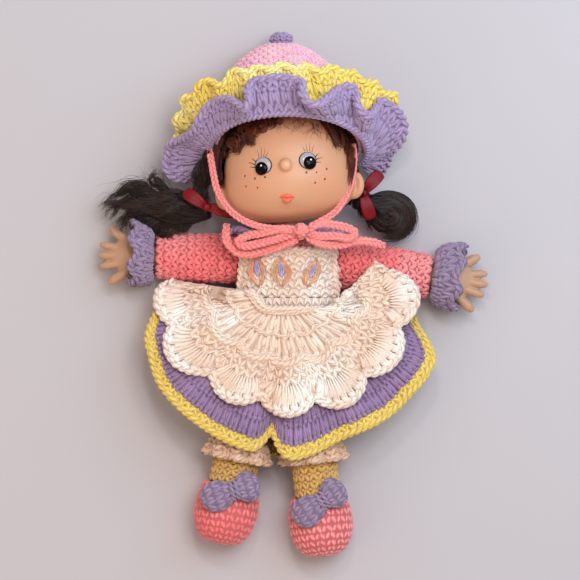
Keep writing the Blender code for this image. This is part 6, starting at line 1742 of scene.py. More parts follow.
class DOLL_OT_hair(bpy.types.Operator):
    """Wig cap, curled fringe and the two pigtails"""

    bl_idname = "doll.hair"
    bl_label = "Hair"
    bl_options = {"REGISTER", "UNDO"}

    def execute(self, context):
        self.cap()
        self.wig()
        self.fringe()
        for _, label in SIDES:
            self.pigtail(label)
        return DONE

    def cap(self):
        """The wig's cap, open over the face and below the nape."""
        cap, directions = unit_ball(128, 96)
        surface = head_surface(directions)
        from_face = np.hypot(directions[:, 0] / 1.10, (directions[:, 1] + 0.45) / 1.32)
        rim = HEAD_LINE - np.where(surface[:, 2] > HEAD_HEIGHT - 1.0 * MM, BARE_FRONT, BARE_BACK) * MM
        bare = ((directions[:, 2] > -0.12) & (from_face < 1.0)) | (surface[:, 1] < rim)
        show_only(put_points(cap, over_head(directions, CAP_LIFT)))
        bpy.ops.object.mode_set(mode="EDIT")
        bpy.ops.mesh.select_mode(type="VERT")
        bpy.ops.mesh.select_all(action="DESELECT")
        bpy.ops.object.mode_set(mode="OBJECT")
        cap.data.vertices.foreach_set("select", bare)
        bpy.ops.object.mode_set(mode="EDIT")
        bpy.ops.mesh.delete(type="VERT")
        bpy.ops.object.mode_set(mode="OBJECT")
        named(apply_all(walled(cap, CAP_WALL)), "wig_cap", finish("hair"), "head", "wig")

    def wig(self):
        """Strands from under the crown down to the face and the nape, and locks that hang beside the face."""
        routes = []
        for _ in range(CROWN_STRANDS):
            around = chance.uniform(0.0, TURN)
            steps = np.linspace(0.15, 1.02, 16)
            upward = QUARTER * (1.0 - steps) + 0.10 * chance.normal() * steps
            angle = around + 0.12 * np.sin(steps * 7.0 + around * 3.0)
            facing = np.cos(angle)
            upward = np.where(facing > 0.25, np.maximum(upward, 0.95 * facing), upward)
            flat = np.cos(upward)
            directions = spots(flat * np.sin(angle), np.sin(upward), flat * facing)
            routes.append(over_head(directions, (WIG_THICKNESS + GAP) * 0.85))
        hair = Hair()
        hair.routes = [even_route(route, HAIR_STEPS) for route in routes + self.combed()]
        hair.tones = list(chance.uniform(0.0, 0.7, len(hair.routes)))
        thick = [1.5] * len(hair.routes)
        for places, width, count in SIDE_LOCKS:
            hair.add_lock(seen_route(places, HAIR_STEPS), width * MM, count, 1.1 * MM, 2.4, 1.2, 9, fade=0.5)
            thick += [1.0] * count
        hair.piece("wig_hair", "hair", "head", thick)

    def combed(self):
        """Strands combed round the sides and the nape to each pigtail's root."""
        routes = []
        for side, _ in SIDES:
            root = np.array((side * PIGTAIL_ROOT[0], *PIGTAIL_ROOT[1:]))
            for _ in range(COMBED_STRANDS):
                around = chance.uniform(0.06, 1.0) ** 0.8 * TURN / 2.0 * side
                upward = chance.uniform(-0.35, 0.75)
                start = np.array((math.cos(upward) * math.sin(around), math.sin(upward),
                                  math.cos(upward) * math.cos(around)))
                if start[2] > 0.10:
                    continue
                run = shares_of(16)[:, None]
                way = start * (1.0 - run) + (root + chance.normal(0.0, 0.035, 3)) * run
                way /= np.linalg.norm(way, axis=1, keepdims=True)
                routes.append(over_head(way, WIG_THICKNESS + chance.uniform(-0.5, 0.3) * MM))
        return routes

    def fringe(self):
        """Open curls over the forehead on the doll's right, a smooth lock on its left, and loose wisps."""
        hair = Hair()
        run = shares_of(HAIR_STEPS)
        for x, y, reach, start, sweep in CURLS:
            for _ in range(40):
                angle = np.radians(start + chance.normal(0.0, 24.0) + (sweep + chance.normal(0.0, 30.0)) * run)
                radius = (reach + chance.normal(0.0, 1.05)) * (1.0 - 0.30 * run) + 0.35 * np.sin(run * 19.0)
                flat_x = x + chance.normal(0.0, 0.9) + radius * np.cos(angle)
                flat_y = y + chance.normal(0.0, 0.9) - radius * np.sin(angle)
                lift = (0.8 + chance.uniform(0.0, 2.0) + 0.8 * np.sin(angle)) * MM
                tone = 0.35 + 0.45 * math.sin(angle[0] * 3.0) + chance.normal(0.0, 0.15)
                hair.add(on_hair(*seen(flat_x, flat_y, 50.0 * MM), lift[:, None]), np.clip(tone, 0.0, 1.0))
        for places, width, count, curl in LOCKS:
            x, y = even_route(smooth_route(places), HAIR_STEPS).T[:2]
            route = on_hair(*seen(x, y, 48.0 * MM), 1.6 * MM)
            hair.add_lock(route, width * MM, count, curl * MM, 1.0, 0.15, 8, 0.45, fade=0.6)
        thick = [1.0] * len(hair.routes) + [0.5] * WISPS
        for _ in range(WISPS):
            x = chance.uniform(222.0, 345.0)
            top = 117.0 + 0.0065 * (x - 284.0) ** 2
            flat_x = x + chance.normal(0.0, 8.0) * run**2 + 1.5 * np.sin(run * 6.0)
            flat_y = top + chance.uniform(6.0, 18.0) * run
            hair.add(on_hair(*seen(flat_x, flat_y, 50.0 * MM), 0.5 * MM), 0.4)
        hair.piece("fringe_curls", "fringe", "head", thick)

    def pigtail(self, label):
        """A tuft of strands round a darker core: waving locks on the doll's right, one round curl on its left."""
        core_round = self.core(label)
        hair = Hair()
        run = shares_of(HAIR_STEPS, 0.97)
        for _ in range(CORE_STRANDS):
            around = chance.uniform(0.0, 1.0) + 0.06 * np.sin(run * chance.uniform(2.0, 6.0)) + 0.10 * run
            hair.add(core_round.at(around, run, chance.uniform(0.1, 0.9) * MM), chance.uniform(0.0, 0.5))
        if label == "right":
            for places, width in TUFT_LOCKS:
                hair.add_lock(seen_route(places, HAIR_STEPS), width * MM, sizes().strands // 8, 1.5 * MM,
                              chance.uniform(2.4, 3.6), 1.2, 9)
        else:
            self.round_curl(hair)
        loose, wild = LOOSE_STRANDS[label]
        self.stray(hair, loose, wild)
        thick = [1.35] * (len(hair.routes) - loose) + [1.35 * 0.5] * loose
        hair.piece(label + "_pigtail_hair", "hair", label + "_hair", thick)

    def core(self, label):
        """A pigtail's core, which stands for its CAD solid, and its surface."""
        rows = np.array(CORES[label], float)
        guide = seen_route(rows[:, :3], CORE_STEPS)
        beside, up = route_frames(guide)
        wide, deep = (np.interp(shares_of(CORE_STEPS), shares_of(len(rows)), rows[:, row]) * MM for row in (3, 4))

        def place(across, along):
            spot = np.clip(along * (CORE_STEPS - 1), 0, CORE_STEPS - 1)
            low = np.minimum(spot.astype(int), CORE_STEPS - 2)
            share = spot - low

            def mix(values):
                weight = share if values.ndim == 1 else share[:, None]
                return values[low] * (1.0 - weight) + values[low + 1] * weight

            angle = -TURN * across
            return (mix(guide) + mix(beside) * (mix(wide) * np.cos(angle))[:, None]
                    + mix(up) * (mix(deep) * np.sin(angle))[:, None])

        core_round = Cloth(place, 24, 30, True)
        base_cloth(label + "_pigtail_core", core_round, finish("hair"), 0.0, 16, 24, label + "_hair", lids=True,
                   node=label + "_pigtail")
        return core_round

    def round_curl(self, hair):
        """The left pigtail's strands, which run once round its curl."""
        run = shares_of(HAIR_STEPS)
        for out in np.sqrt(chance.uniform(0.005, 1.0, sizes().strands + 220)):
            wander = chance.normal(0.0, 0.13)
            angle = np.radians(165.0 + chance.normal(0.0, 9.0) - (190.0 + chance.uniform(0.0, 90.0)) * run)
            reach = out * (1.0 + wander * run)
            flat_x = CURL_X + CURL_WIDE * reach * np.cos(angle) - 8.0 * (1.0 - run) ** 3
            flat_y = CURL_Y - CURL_TALL * reach * np.sin(angle) - 2.0 * (1.0 - run) ** 3
            height = 12.0 + 10.5 * math.sqrt(max(0.0, 1.0 - out**2)) + 1.5 * np.sin(angle * 3.0 + out * 9.0) * 0.3
            height = (height + 4.0 * (1.0 - run) ** 2) * MM
            tone = 0.38 + 0.10 * math.sin(out * 21.0) + chance.normal(0.0, 0.34)
            hair.add(spots(*seen(flat_x, flat_y, height), height), np.clip(tone, 0.0, 1.0))

    def stray(self, hair, count, wild):
        """Loose strands that leave the pigtail and end in a hook."""
        run = shares_of(HAIR_STEPS)
        for _ in range(count):
            pick = hair.routes[chance.integers(0, len(hair.routes))]
            away = np.cumsum(np.cumsum(chance.normal(0.0, wild * 0.30, pick.shape), axis=0), axis=0) * 0.22
            away = away * 0.6 + np.cumsum(chance.normal(0.0, wild * 0.35, pick.shape), axis=0)
            hook = chance.uniform(1.0, 3.2) * MM * run**2
            turn = chance.uniform(0.0, TURN) + chance.choice((-1.0, 1.0)) * chance.uniform(3.0, 6.0) * run
            hair.add(pick + (away + spots(hook * np.cos(turn), hook * np.sin(turn), 0.0)) * run[:, None], 0.6)


class DOLL_OT_ribbons(bpy.types.Operator):
    """Satin bows at the pigtails"""

    bl_idname = "doll.ribbons"
    bl_label = "Satin ribbons"
    bl_options = {"REGISTER", "UNDO"}

    def execute(self, context):
        for side, label in SIDES:
            root = tilted(np.array(((side * (HEAD_HALF_WIDTH + 4.6 * MM), HEAD_LINE - 16.5 * MM,
                                     HEAD_HEIGHT - 9.0 * MM),)))[0]
            middle = root + np.array((*RIBBON_SHIFTS[label], RIBBON_RISE))
            knot = ball(middle, (2.4 * MM, 2.2 * MM, 2.5 * MM), segments=24, rings=14)
            local = points_of(knot) - middle
            local *= (1.0 + 0.06 * np.sin(np.arctan2(local[:, 2], local[:, 0]) * 7.0))[:, None]
            put_points(knot, local + middle)
            named(knot, label + "_ribbon_knot", finish("ribbon"), "head", label + "_ribbon")
            for number, degrees in enumerate(RIBBON_WAYS[label]):
                self.loop(f"{label}_ribbon_loop_{number}", middle, math.radians(degrees), knot)
        return DONE

    def loop(self, name, middle, angle, knot):
        """One loop of a bow, which leaves the knot at an angle."""
        way = np.array((math.cos(angle), math.sin(angle), 0.0))
        edge = np.array((-way[1], way[0], 0.0))

        def place(across, along):
            swing = TURN * (across - 0.5)
            out = RIBBON_LOOP_LENGTH * (1.0 + np.cos(swing)) / 2.0
            pleat = 0.35 * MM * np.sin(along * 9.0) * (1.0 - out / RIBBON_LOOP_LENGTH)
            up = RIBBON_LOOP_HEIGHT / 2.0 * np.sin(swing) * (1.0 - 0.25 * along) + pleat
            width = RIBBON_WIDTH * (0.50 + 0.55 * np.sin(math.pi * 0.70 * out / RIBBON_LOOP_LENGTH))
            out = out * (1.0 - 0.07 * (2.0 * along - 1.0) ** 2)
            point = middle + way * out[:, None] + edge * (width * (along - 0.5))[:, None]
            return point + spots(0.0, 0.0, up + 0.5 * MM * np.sin(out / RIBBON_LOOP_LENGTH * 4.0))

        piece = base_cloth(name, Cloth(place, 60, 10, closed=True), finish("ribbon"), 0.28 * MM, 48, 8, "head")


class DOLL_OT_ties(bpy.types.Operator):
    """Pink chain cords: the chin ties and the bow under the chin"""

    bl_idname = "doll.ties"
    bl_label = "Chin ties and bow"
    bl_options = {"REGISTER", "UNDO"}

    def execute(self, context):
        knot = ball(KNOT_PLACE, (KNOT_RADIUS * 0.86, KNOT_RADIUS * 0.86, KNOT_RADIUS * 0.86))
        named(knot, "bow_knot_core", finish("tie_pink_cloth"), "torso", "bow_knot")
        work = Bundle()
        for angle, size in ((0.2, 1.0), (1.6, 0.92)):
            steps = shares_of(25, TURN)
            spin = np.array(Matrix.Rotation(angle, 3, "Z") @ Matrix.Rotation(0.5, 3, "X"))
            ring = spots(np.cos(steps) * KNOT_RADIUS * 0.62, np.sin(steps) * KNOT_RADIUS * 0.4 * size,
                         np.sin(steps) * KNOT_RADIUS * 0.75)
            rope(work, KNOT_PLACE + ring @ spin.T, 0.95 * MM, 0.9 * MM, 6.6 * MM, 3, 0.5)
        work.piece("bow_knot_stitches", finish("tie_pink"), "torso", "pale_pink_yarn")
        for label, places in TIE_ROUTES.items():
            self.cord(label + "_chin_tie", seen_route(places, 40), "knot", "taut", 0.84)
        for name, places in BOW_ROUTES.items():
            self.cord(name, seen_route(places, 48), "object" if name.endswith("loop") else "knot", "loose", 1.06)
        return DONE

    def cord(self, name, route, far_end, lay, size):
        """One chain cord: a thin core, and the slanting loops of its chain round it. A taut one is left unattached; a
        loose one is attached to the torso.
        """
        core = named(tube(route, CORD_DIAMETER / 2.0 - 0.5 * MM, 12), name + "_core", finish("tie_pink_cloth"))
        work = Bundle()
        rope(work, route, 0.95 * MM * size, 1.05 * MM * size, 6.6 * MM, 3, 0.5)
        chain = work.piece(name + "_chain", finish("tie_pink"))
        for piece in (core, chain):
            if lay == "taut":
                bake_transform(piece)
            else:
                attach(piece, "torso")
        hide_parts(name)


def in_sockets(points):
    """Places of the trunk that lie in the armholes and the hip sockets."""
    inside = np.zeros(len(points), bool)
    for _, label in SIDES:
        shoulder = arm_place(label, np.zeros((1, 3)))[0]
        hip = leg_place(label, np.zeros((1, 3)))[0]
        inside |= np.linalg.norm(points - shoulder, axis=1) < SHOULDER_BALL_RADIUS + 0.9 * MM
        inside |= np.linalg.norm(points - hip, axis=1) < HIP_BALL_RADIUS + 0.9 * MM
    return inside


class DOLL_OT_bodice(bpy.types.Operator):
    """Bodice, pantaloon seat and collar"""

    bl_idname = "doll.bodice"
    bl_label = "Bodice and collar"
    bl_options = {"REGISTER", "UNDO"}

    def execute(self, context):
        width, height, rise = close_stitch()
        for name, place, shade, side, flat in (("bodice", bodice_place, "coral", -1.0, (0.112, 0.034)),
                                               ("pantaloon_seat", seat_place, "oat", 1.0, (0.118, 0.027))):
            piece = Crochet(name, Cloth(place, 120, 30, closed=True), shade, "torso", name,
                            (1.1, 60, 16, 0.0, -side * 1.7))
            piece.close_rows("knot", width, height, rise, -1.1 * MM, side=side, skip=in_sockets)
            piece.stitched()
        collar = Crochet("collar", Cloth(collar_place, 240, 12, closed=True), "lilac", "torso", "collar",
                         (0.9, 120, 6))
        collar.bands(("post", 0.05, 0.72, 3.0, 1.05, 0.15))
        collar.edge(0.92)
        collar.stitched()
        return DONE


class DOLL_OT_skirt(bpy.types.Operator):
    """Skirt of long stitches with its yellow edging"""

    bl_idname = "doll.skirt"
    bl_label = "Skirt"
    bl_options = {"REGISTER", "UNDO"}

    def execute(self, context):
        edge = 1.0 - EDGING_WIDTH / SKIRT_LENGTH
        under = Cloth(lambda across, along: skirt_place(across, along * edge), 200, 40, closed=True)
        skirt = Crochet("skirt", under, "skirt_lilac", "torso", "skirt", (1.0, 150, 24))
        skirt.cloth = Cloth(skirt_place, 300, 40, closed=True)
        edges = np.linspace(0.02, edge, 8)
        for number, (low, high) in enumerate(zip(edges, edges[1:])):
            skirt.bands(("post", low, high, 4.3, 1.6, 0.2, 0.5 * (number % 2)), sides=(1.0,))
        for low, high in zip(edges[2:], edges[3:]):
            skirt.bands(("ridge", low, high, 4.3, 0.9, 0.2), sides=(-1.0,))
        skirt.stitched()
        hem = Cloth(lambda across, along: skirt_place(across, edge + (1.0 - edge) * along), 300, 8, closed=True)
        edging = Crochet("skirt_edging", hem, "edging_yellow", "torso", "skirt_edging", (1.0, 150, 4))
        edging.bands(("knot", 0.04, 0.62, 4.0, 1.35, 0.2))
        edging.edge(0.80, 1.15 * MM, 6.4 * MM)
        edging.stitched()
        return DONE


# The apron skirt's bands of stitches: two shares along, kind, width, gather and rise, and its cords: share, thickness
# and rise. Lengths are in millimetres.
APRON_BANDS = (
    (0.05, 0.27, "post", 4.6, 0.12, 1.9), (0.25, 0.47, "post", 4.9, 0.12, 1.9), (0.54, 0.64, "knot", 5.0, 0.5, 2.0),
    (0.63, 0.73, "knot", 5.0, 0.5, 2.0), (0.72, 0.83, "knot", 5.0, 0.5, 1.5), (0.80, 0.90, "knot", 4.6, 0.5, 1.0),
)
APRON_CORDS = (
    (0.0, 0.90, 0.6), (0.045, 0.75, 0.9), (0.255, 0.70, 0.9), (0.475, 0.80, 0.9), (0.515, 1.05, 1.2),
    (0.545, 0.70, 0.6),
)


class DOLL_OT_apron(bpy.types.Operator):
    """Apron: bib with embroidered leaves, waistband, and the scalloped skirt with its shells"""

    bl_idname = "doll.apron"
    bl_label = "Apron"
    bl_options = {"REGISTER", "UNDO"}

    def execute(self, context):
        self.bib()
        band = Crochet("apron_waistband", Cloth(band_place, 60, 8), "cream", "torso", "apron_waistband", (1.0, 48, 3))
        band.bands(("knot", 0.0, 1.0, 3.6, 1.3, 0.0), sides=(1.0,))
        band.stitched()
        self.skirt()
        return DONE

    def bib(self):
        """The bib with its bound edges and its leaves."""
        bib = Crochet("apron_bib", Cloth(bib_place, 80, 24), "cream", "torso", "apron_bib", (1.0, 48, 12))
        bib.close_rows("knot", 5.0 * MM, 3.8 * MM, 1.8 * MM, 0.0)
        bib.edge(0.97, lift=0.5 * MM)
        for share in (0.02, 0.98):
            bib.edge(share, crosswise=True, lift=0.5 * MM)
        bib.stitched()
        threads, hearts = Bundle(), Bundle()
        for leaf in LEAVES:
            self.leaf(threads, hearts, bib.cloth, *leaf)
        threads.piece("leaf_threads", finish("leaf_thread"), "torso", "cream_yarn")
        hearts.piece("leaf_hearts", finish("leaf_heart"), "torso", "cream_yarn")

    def leaf(self, threads, hearts, cloth, middle, top, tip, half):
        """One embroidered leaf: long threads down both sides to a point, round a lilac heart."""

        def sewn(bundle, x, y, lift, thick):
            across, along = x / (BIB_WIDTH / MM) + 0.5, (y + LEAF_LOW) / (BIB_TOP_LINE / MM + LEAF_LOW)
            route = cloth.at(across, along, lift * MM)
            bundle.parts += hair_strands(route[None], thick, [chance.uniform(0, 1)], sides=5, taper=0.5).parts

        run = shares_of(16)
        for strand in range(6):
            for side in (-1.0, 1.0):
                bow = half * (0.42 + 0.125 * strand) * np.sin(run * math.pi) ** 0.9
                x = middle + side * bow + tip * run + chance.normal(0.0, 0.15)
                y = top - (top - LEAF_FOOT) * run + chance.normal(0.0, 0.25)
                sewn(threads, x, y, 1.35 + 0.10 * strand + 0.25 * np.sin(run * math.pi), 0.21 * MM)
        run = shares_of(12)
        for strand in range(3):
            x = middle + (strand - 1.0) * half * 0.22 * np.sin(run * math.pi) + tip * (0.2 + 0.5 * run)
            sewn(hearts, x, top - HEART_DROP - (top - LEAF_FOOT) * 0.58 * run, 1.75, 0.34 * MM)

    def skirt(self):
        """The apron's skirt, with bands of long and close stitches, raised cords and a fan in each scallop."""
        skirt = Crochet("apron_skirt", Cloth(apron_place, 300, 44), "cream", "torso", "apron_skirt", (1.0, 220, 26))
        for number, (low, high, kind, width, gather, rise) in enumerate(APRON_BANDS):
            skirt.bands((kind, low, high, width, rise, 0.1, 0.5 * (number % 2), None, gather), sides=(-1.0, 1.0))
        for side in (-1.0, 1.0):
            self.shells(skirt.work, skirt.cloth, side)
        for share, thick, raised in APRON_CORDS:
            skirt.edge(share, thick * MM, thick * 5.4 * MM, lift=-raised * MM)
        skirt.edge(0.955, 1.35 * MM, 6.6 * MM, lift=-0.3 * MM)
        skirt.stitched()

    def shells(self, work, cloth, side):
        """A fan of long stitches in each scallop, spread from one point."""
        shares = shares_of(401)
        degrees = smooth_table(APRON_RAYS, shares)[:, 0]
        first = int(math.ceil((degrees[0] - SCALLOP_START) / SCALLOP_DEGREES - 1.0))
        shape = stitch_shape("shell")
        unit = shape[0]
        run = np.clip(unit[:, 1] + 0.5, -0.1, 1.1)
        for number in range(first, 6):
            centre = SCALLOP_START + SCALLOP_DEGREES * number + SCALLOP_DEGREES / 2.0
            for step in range(SHELL_POSTS):
                out = (step + 0.5) / SHELL_POSTS - 0.5
                fan = 0.66 + 0.33 * run
                angle = centre + SCALLOP_DEGREES * (out + side * unit[:, 0] * -1.05 / SHELL_POSTS) * fan
                if angle.min() < degrees[0] - 1.0 or angle.max() > degrees[-1] + 1.0:
                    continue
                height = side * (0.9 * MM + unit[:, 2] * SHELL_RISE * MM)
                points = cloth.at(np.interp(angle, degrees, shares), SHELL_START + SHELL_LENGTH * run, height)
                work.add(shape, points[None], chance.uniform(0.0, 1.0, 1))


class DOLL_OT_arms(bpy.types.Operator):
    """Sleeves, frilled cuffs and vinyl hands"""

    bl_idname = "doll.arms"
    bl_label = "Arms"
    bl_options = {"REGISTER", "UNDO"}

    def execute(self, context):
        for side, label in SIDES:
            body = label + "_arm"
            cloth = Cloth(lambda across, along, label=label: sleeve_place(label, across, along), 64, 48, closed=True)
            sleeve = Crochet(label + "_sleeve", cloth, "coral", body, label + "_sleeve", (1.2, 40, 28, -1.0, -1.0))
            sleeve.close_rows("knot", *close_stitch(), -1.0 * MM, start=0.03)
            sleeve.stitched()
            cloth = Cloth(lambda across, along, label=label: cuff_place(label, across, along), 160, 12, closed=True)
            cuff = Crochet(label + "_cuff", cloth, "cuff_lilac", body, label + "_cuff", (0.9, 84, 6))
            cuff.bands(("post", 0.0, 0.50, 4.0, 1.4, 0.15), ("knot", 0.48, 0.82, 4.4, 1.5, 0.15))
            cuff.edge(0.90, 1.05 * MM)
            cuff.stitched()
            self.hand(label, side)
        return DONE

    def hand(self, label, side):
        """A stub hand: a soft palm and five short fingers, melted together."""
        palm_at = SLEEVE_LENGTHS[label] + HAND_STEM_LENGTH + PALM_LENGTH / 2.0 - HAND_SEAT_DEPTH
        palm = ball((0.0, 0.0, 0.0), (PALM_LENGTH / 2.0, PALM_WIDTH / 2.0, PALM_THICKNESS / 2.0))
        points = points_of(palm)
        points[:, 2] -= 0.10 * MM * np.cos(points[:, 1] / PALM_WIDTH * 3.0)
        seat = SLEEVE_LENGTHS[label] - YARN_THICKNESS - SEAT_GAP
        parts = [put_points(palm, arm_place(label, points + (palm_at, 0.0, 0.0)))]
        stem = arm_place(label, spots(np.linspace(seat, palm_at, 12), 0.0, 0.0))
        parts.append(tube(stem, HAND_STEM_RADIUS * 0.95, 20))
        flange = arm_place(label, spots(np.array((seat - 1.6 * MM, seat)), 0.0, 0.0))
        parts.append(tube(flange, 6.2 * MM, 20))
        run = shares_of(14)
        for number, (out, across, size) in enumerate(FINGER_TIP_SHARES):
            rise = FINGER_RADIUS * 0.15 * (number - 0.15)
            reach = PALM_LENGTH * 0.72 * out * 0.93
            curl = 0.8 * MM * np.sin(run * 2.2)
            route = spots(palm_at + reach * run, across * PALM_WIDTH * side * (0.55 + 0.45 * run),
                          rise + curl - 0.9 * MM * run**2)
            thick = FINGER_RADIUS * size * np.interp(run, (0, 0.5, 0.62, 0.85, 1.0), (1.0, 1.0, 0.93, 0.98, 0.72))
            finger = arm_place(label, route)
            parts.append(tube(finger, thick, 16))
            parts.append(ball(finger[-1], (thick[-1], thick[-1], thick[-1]), segments=16, rings=10))
        hand = joined(parts, voxel=0.34 * MM, smoothing=4)
        named(hand, label + "_hand_skin", finish("hand_skin"), label + "_palm", label + "_hand")


class DOLL_OT_legs(bpy.types.Operator):
    """Pantaloon legs with their frills, socks, shoes and shoe bows"""

    bl_idname = "doll.legs"
    bl_label = "Legs and shoes"
    bl_options = {"REGISTER", "UNDO"}

    def execute(self, context):
        for _, label in SIDES:
            hem = PANTALOON_LENGTHS[label]
            self.stocking(label, "pantaloon", pantaloon_place, "oat", "_pantaloon_leg", 4.6, (0.066, hem + 13.0 * MM))
            self.stocking(label, "sock", sock_place, "mustard", "_sock", 4.4, (0.058, SOCK_END - hem + 1.0 * MM))
            self.frill(label)
            self.shoe(label)
            self.bow(label)
        return DONE

    def stocking(self, label, part, place, shade, node, width, flat):
        """A piece that lies round the leg: the pantaloon's leg or the sock."""
        cloth = Cloth(lambda across, along: place(label, across, along), 64, 40, closed=True)
        piece = Crochet(f"{label}_{part}", cloth, shade, label + "_leg", label + node, (1.0, 40, 22, -1.0, -0.9),
                        f"{label}_leg_{part}")
        piece.close_rows("knot", width * MM, 3.5 * MM, 1.3 * MM, -0.85 * MM, start=0.02)
        piece.stitched()

    def frill(self, label):
        """The gathered frill at a pantaloon's hem."""
        cloth = Cloth(lambda across, along: frill_place(label, across, along), 160, 10, closed=True)
        frill = Crochet(label + "_frill", cloth, "oat", label + "_leg", label + "_pantaloon_frill", (0.9, 84, 5))
        frill.bands(("knot", 0.0, 0.40, 4.4, 2.0, 0.1), ("knot", 0.34, 0.72, 4.6, 2.3, 0.1, 0.5),
                    ("knot", 0.66, 1.0, 4.8, 2.3, 0.0))
        frill.edge(0.90, 1.0 * MM)
        frill.stitched()

    def shoe(self, label):
        """A round crocheted shoe with an open mouth for the ankle."""
        ankle = LEG_CORE_RADIUS + GAP + SOCK_THICKNESS
        cloth = Cloth(lambda across, along: shoe_place(label, across, along), 64, 48, closed=True)
        mouth_end = SHOE_LINE - SHOE_HALF_LENGTH * SHOE_MOUTH_SHARE
        pivot = np.array((*HIPS[label], LEG_HEIGHT))

        def in_mouth(points):
            local = turned_about_z(points - pivot, QUARTER - SIDE_OF[label] * LEG_SPREADS[label])
            return (local[:, 0] < mouth_end) & (np.hypot(local[:, 1], local[:, 2]) < ankle + 0.4 * MM)

        base = base_cloth(label + "_shoe_upper", cloth, finish("coral_cloth"), 0.0, 48, 32, lift=-1.0 * MM)
        walled(base, 1.4 * MM)
        mouth = tube(leg_place(label, spots(np.linspace(20.0 * MM, mouth_end, 4), 0.0, 0.0)), ankle + 0.2 * MM, 40)
        opening = base.modifiers.new("opening", "BOOLEAN")
        opening.object, opening.solver = mouth, "EXACT"
        apply_all(base)
        bpy.data.objects.remove(mouth)
        named(base, label + "_shoe_upper", finish("coral_cloth"), label + "_leg", label + "_shoe")
        work = Bundle()
        stitch_rows(work, cloth, "ridge", 4.6 * MM, 3.5 * MM, 1.9 * MM, -1.0 * MM, start=-0.012, end=0.99,
                    skip=in_mouth)
        work.piece(label + "_shoe_stitches", finish("coral"), label + "_leg", "pink_yarn")

    def bow(self, label):
        """A crocheted bow: two puffed lobes and a wrapped knot."""
        height = LEG_CORE_RADIUS + GAP + SOCK_THICKNESS + BOW_LOBE_THICKNESS * BOW_SINK_SHARE
        lean = np.array(Matrix.Rotation(BOW_LEAN, 3, "Z"))
        middle = np.array((BOW_LINE, BOW_SIDE_SHIFT, height))
        work, cores = Bundle(), []
        for way, size in ((-1.0, 1.0), (1.0, BOW_SMALL_SHARE)):
            def place(across, along, way=way, size=size):
                back = math.pi * along
                pinch = 1.0 - 0.32 * (1.0 + np.cos(back)) / 2.0
                local = spots(BOW_LOBE_WIDTH / 2.0 * np.sin(back) * np.cos(TURN * across) * pinch,
                              way * BOW_LOBE_LENGTH * size * (0.5 - 0.5 * np.cos(back)),
                              way * BOW_LOBE_THICKNESS / 2.0 * np.sin(back) * np.sin(TURN * across))
                return leg_place(label, local @ lean.T + middle)

            cloth = Cloth(place, 40, 28, closed=True)
            cores.append(base_cloth("lobe", cloth, finish("cuff_lilac_cloth"), 0.0, 28, 14, lift=-0.8 * MM))
            stitch_rows(work, cloth, "ridge", 3.6 * MM, 3.2 * MM, 1.3 * MM, -0.85 * MM, start=0.04, end=0.96)
        run = shares_of(25) * TURN
        for shift in (-1.1, 1.1):
            ring = spots(np.cos(run) * 3.8 * MM, np.full_like(run, shift * MM), np.sin(run) * 2.9 * MM)
            rope(work, leg_place(label, ring @ lean.T + middle), 0.7 * MM, 0.6 * MM, 5.0 * MM)
        core = named(joined(cores), label + "_shoe_bow_core", finish("cuff_lilac_cloth"), label + "_leg",
                     label + "_shoe_bow")
        work.piece(label + "_shoe_bow_stitches", finish("cuff_lilac"), label + "_leg", "lilac_yarn")


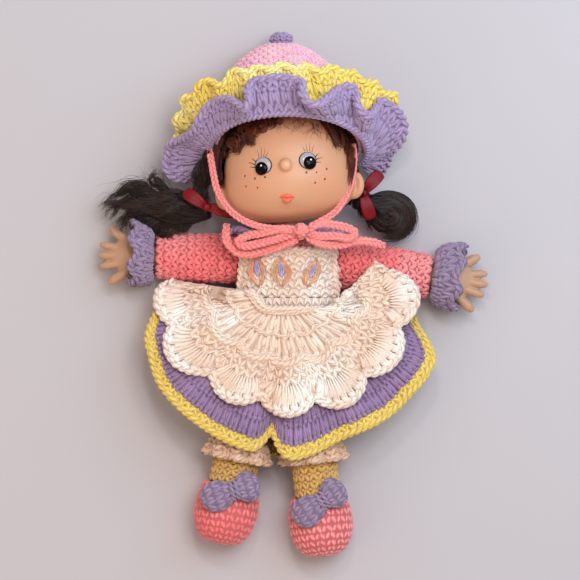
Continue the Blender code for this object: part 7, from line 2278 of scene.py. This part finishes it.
class DOLL_OT_stage(bpy.types.Operator):
    """Table, soft studio light and the camera over the doll"""

    bl_idname = "doll.stage"
    bl_label = "Table, light and camera"
    bl_options = {"REGISTER", "UNDO"}

    def execute(self, context):
        bpy.ops.object.select_all(action="DESELECT")
        bpy.ops.mesh.primitive_plane_add(size=6.0)
        floor = bpy.context.object
        floor.name = "table"
        shade = tuple(context.scene.doll_colours.floor)
        surface = Finish("table", shade, 0.9)
        surface.put(surface.shader, "Base Color", surface.mix(surface.noise(14.0), shade, shaded(shade, 1.04)))
        floor.data.materials.append(surface.made)
        world = bpy.data.worlds.new("studio")
        context.scene.world = world
        world.use_nodes = True
        light = world.node_tree.nodes["Background"].inputs
        light["Color"].default_value, light["Strength"].default_value = WORLD_COLOUR, WORLD_STRENGTH
        for name, place, size, power, shade in LAMPS:
            bpy.ops.object.light_add(type="AREA", location=place)
            lamp = bpy.context.object
            lamp.name = name
            lamp.data.size, lamp.data.energy, lamp.data.color = size, power, shade
            lamp.rotation_euler = (Vector((0.0, 0.02, 0.0)) - Vector(place)).to_track_quat("-Z", "Y").to_euler()
        bpy.ops.object.camera_add(location=(*VIEW_CENTRE, VIEW_DISTANCE))
        camera = bpy.context.object
        camera.rotation_euler = (0.0, 0.0, 0.0)
        camera.data.sensor_width = SENSOR_WIDTH
        camera.data.lens = SENSOR_WIDTH * (VIEW_DISTANCE - VIEW_LEVEL) / VIEW_WIDTH
        camera.data.clip_start, camera.data.clip_end = 0.01, 20.0
        context.scene.camera = camera
        context.scene.view_settings.view_transform = "Standard"
        return DONE


OPERATORS = (
    DOLL_OT_stuffing, DOLL_OT_head, DOLL_OT_face, DOLL_OT_hair, DOLL_OT_ribbons, DOLL_OT_bonnet, DOLL_OT_ties,
    DOLL_OT_bodice, DOLL_OT_skirt, DOLL_OT_apron, DOLL_OT_arms, DOLL_OT_legs, DOLL_OT_stage,
)


class DOLL_PT_panel(bpy.types.Panel):
    """Lists the doll's settings and operators"""

    bl_label = "Crocheted Doll"
    bl_idname = "DOLL_PT_panel"
    bl_space_type = "VIEW_3D"
    bl_region_type = "UI"
    bl_category = "Doll"

    def draw(self, context):
        for settings in (context.scene.doll_sizes, context.scene.doll_colours):
            for name in settings.__annotations__:
                self.layout.prop(settings, name)
        for operator in OPERATORS:
            self.layout.operator(operator.bl_idname)


CLASSES = (DollSizes, DollColours, *OPERATORS, DOLL_PT_panel)


def register():
    for kind in CLASSES:
        bpy.utils.register_class(kind)
    bpy.types.Scene.doll_sizes = PointerProperty(type=DollSizes)
    bpy.types.Scene.doll_colours = PointerProperty(type=DollColours)


def unregister():
    del bpy.types.Scene.doll_colours
    del bpy.types.Scene.doll_sizes
    for kind in reversed(CLASSES):
        bpy.utils.unregister_class(kind)


def main():
    """Builds every piece in order."""
    register()
    for operator in OPERATORS:
        group, name = operator.bl_idname.split(".")
        getattr(getattr(bpy.ops, group), name)()


if __name__ == "__main__":
    main()
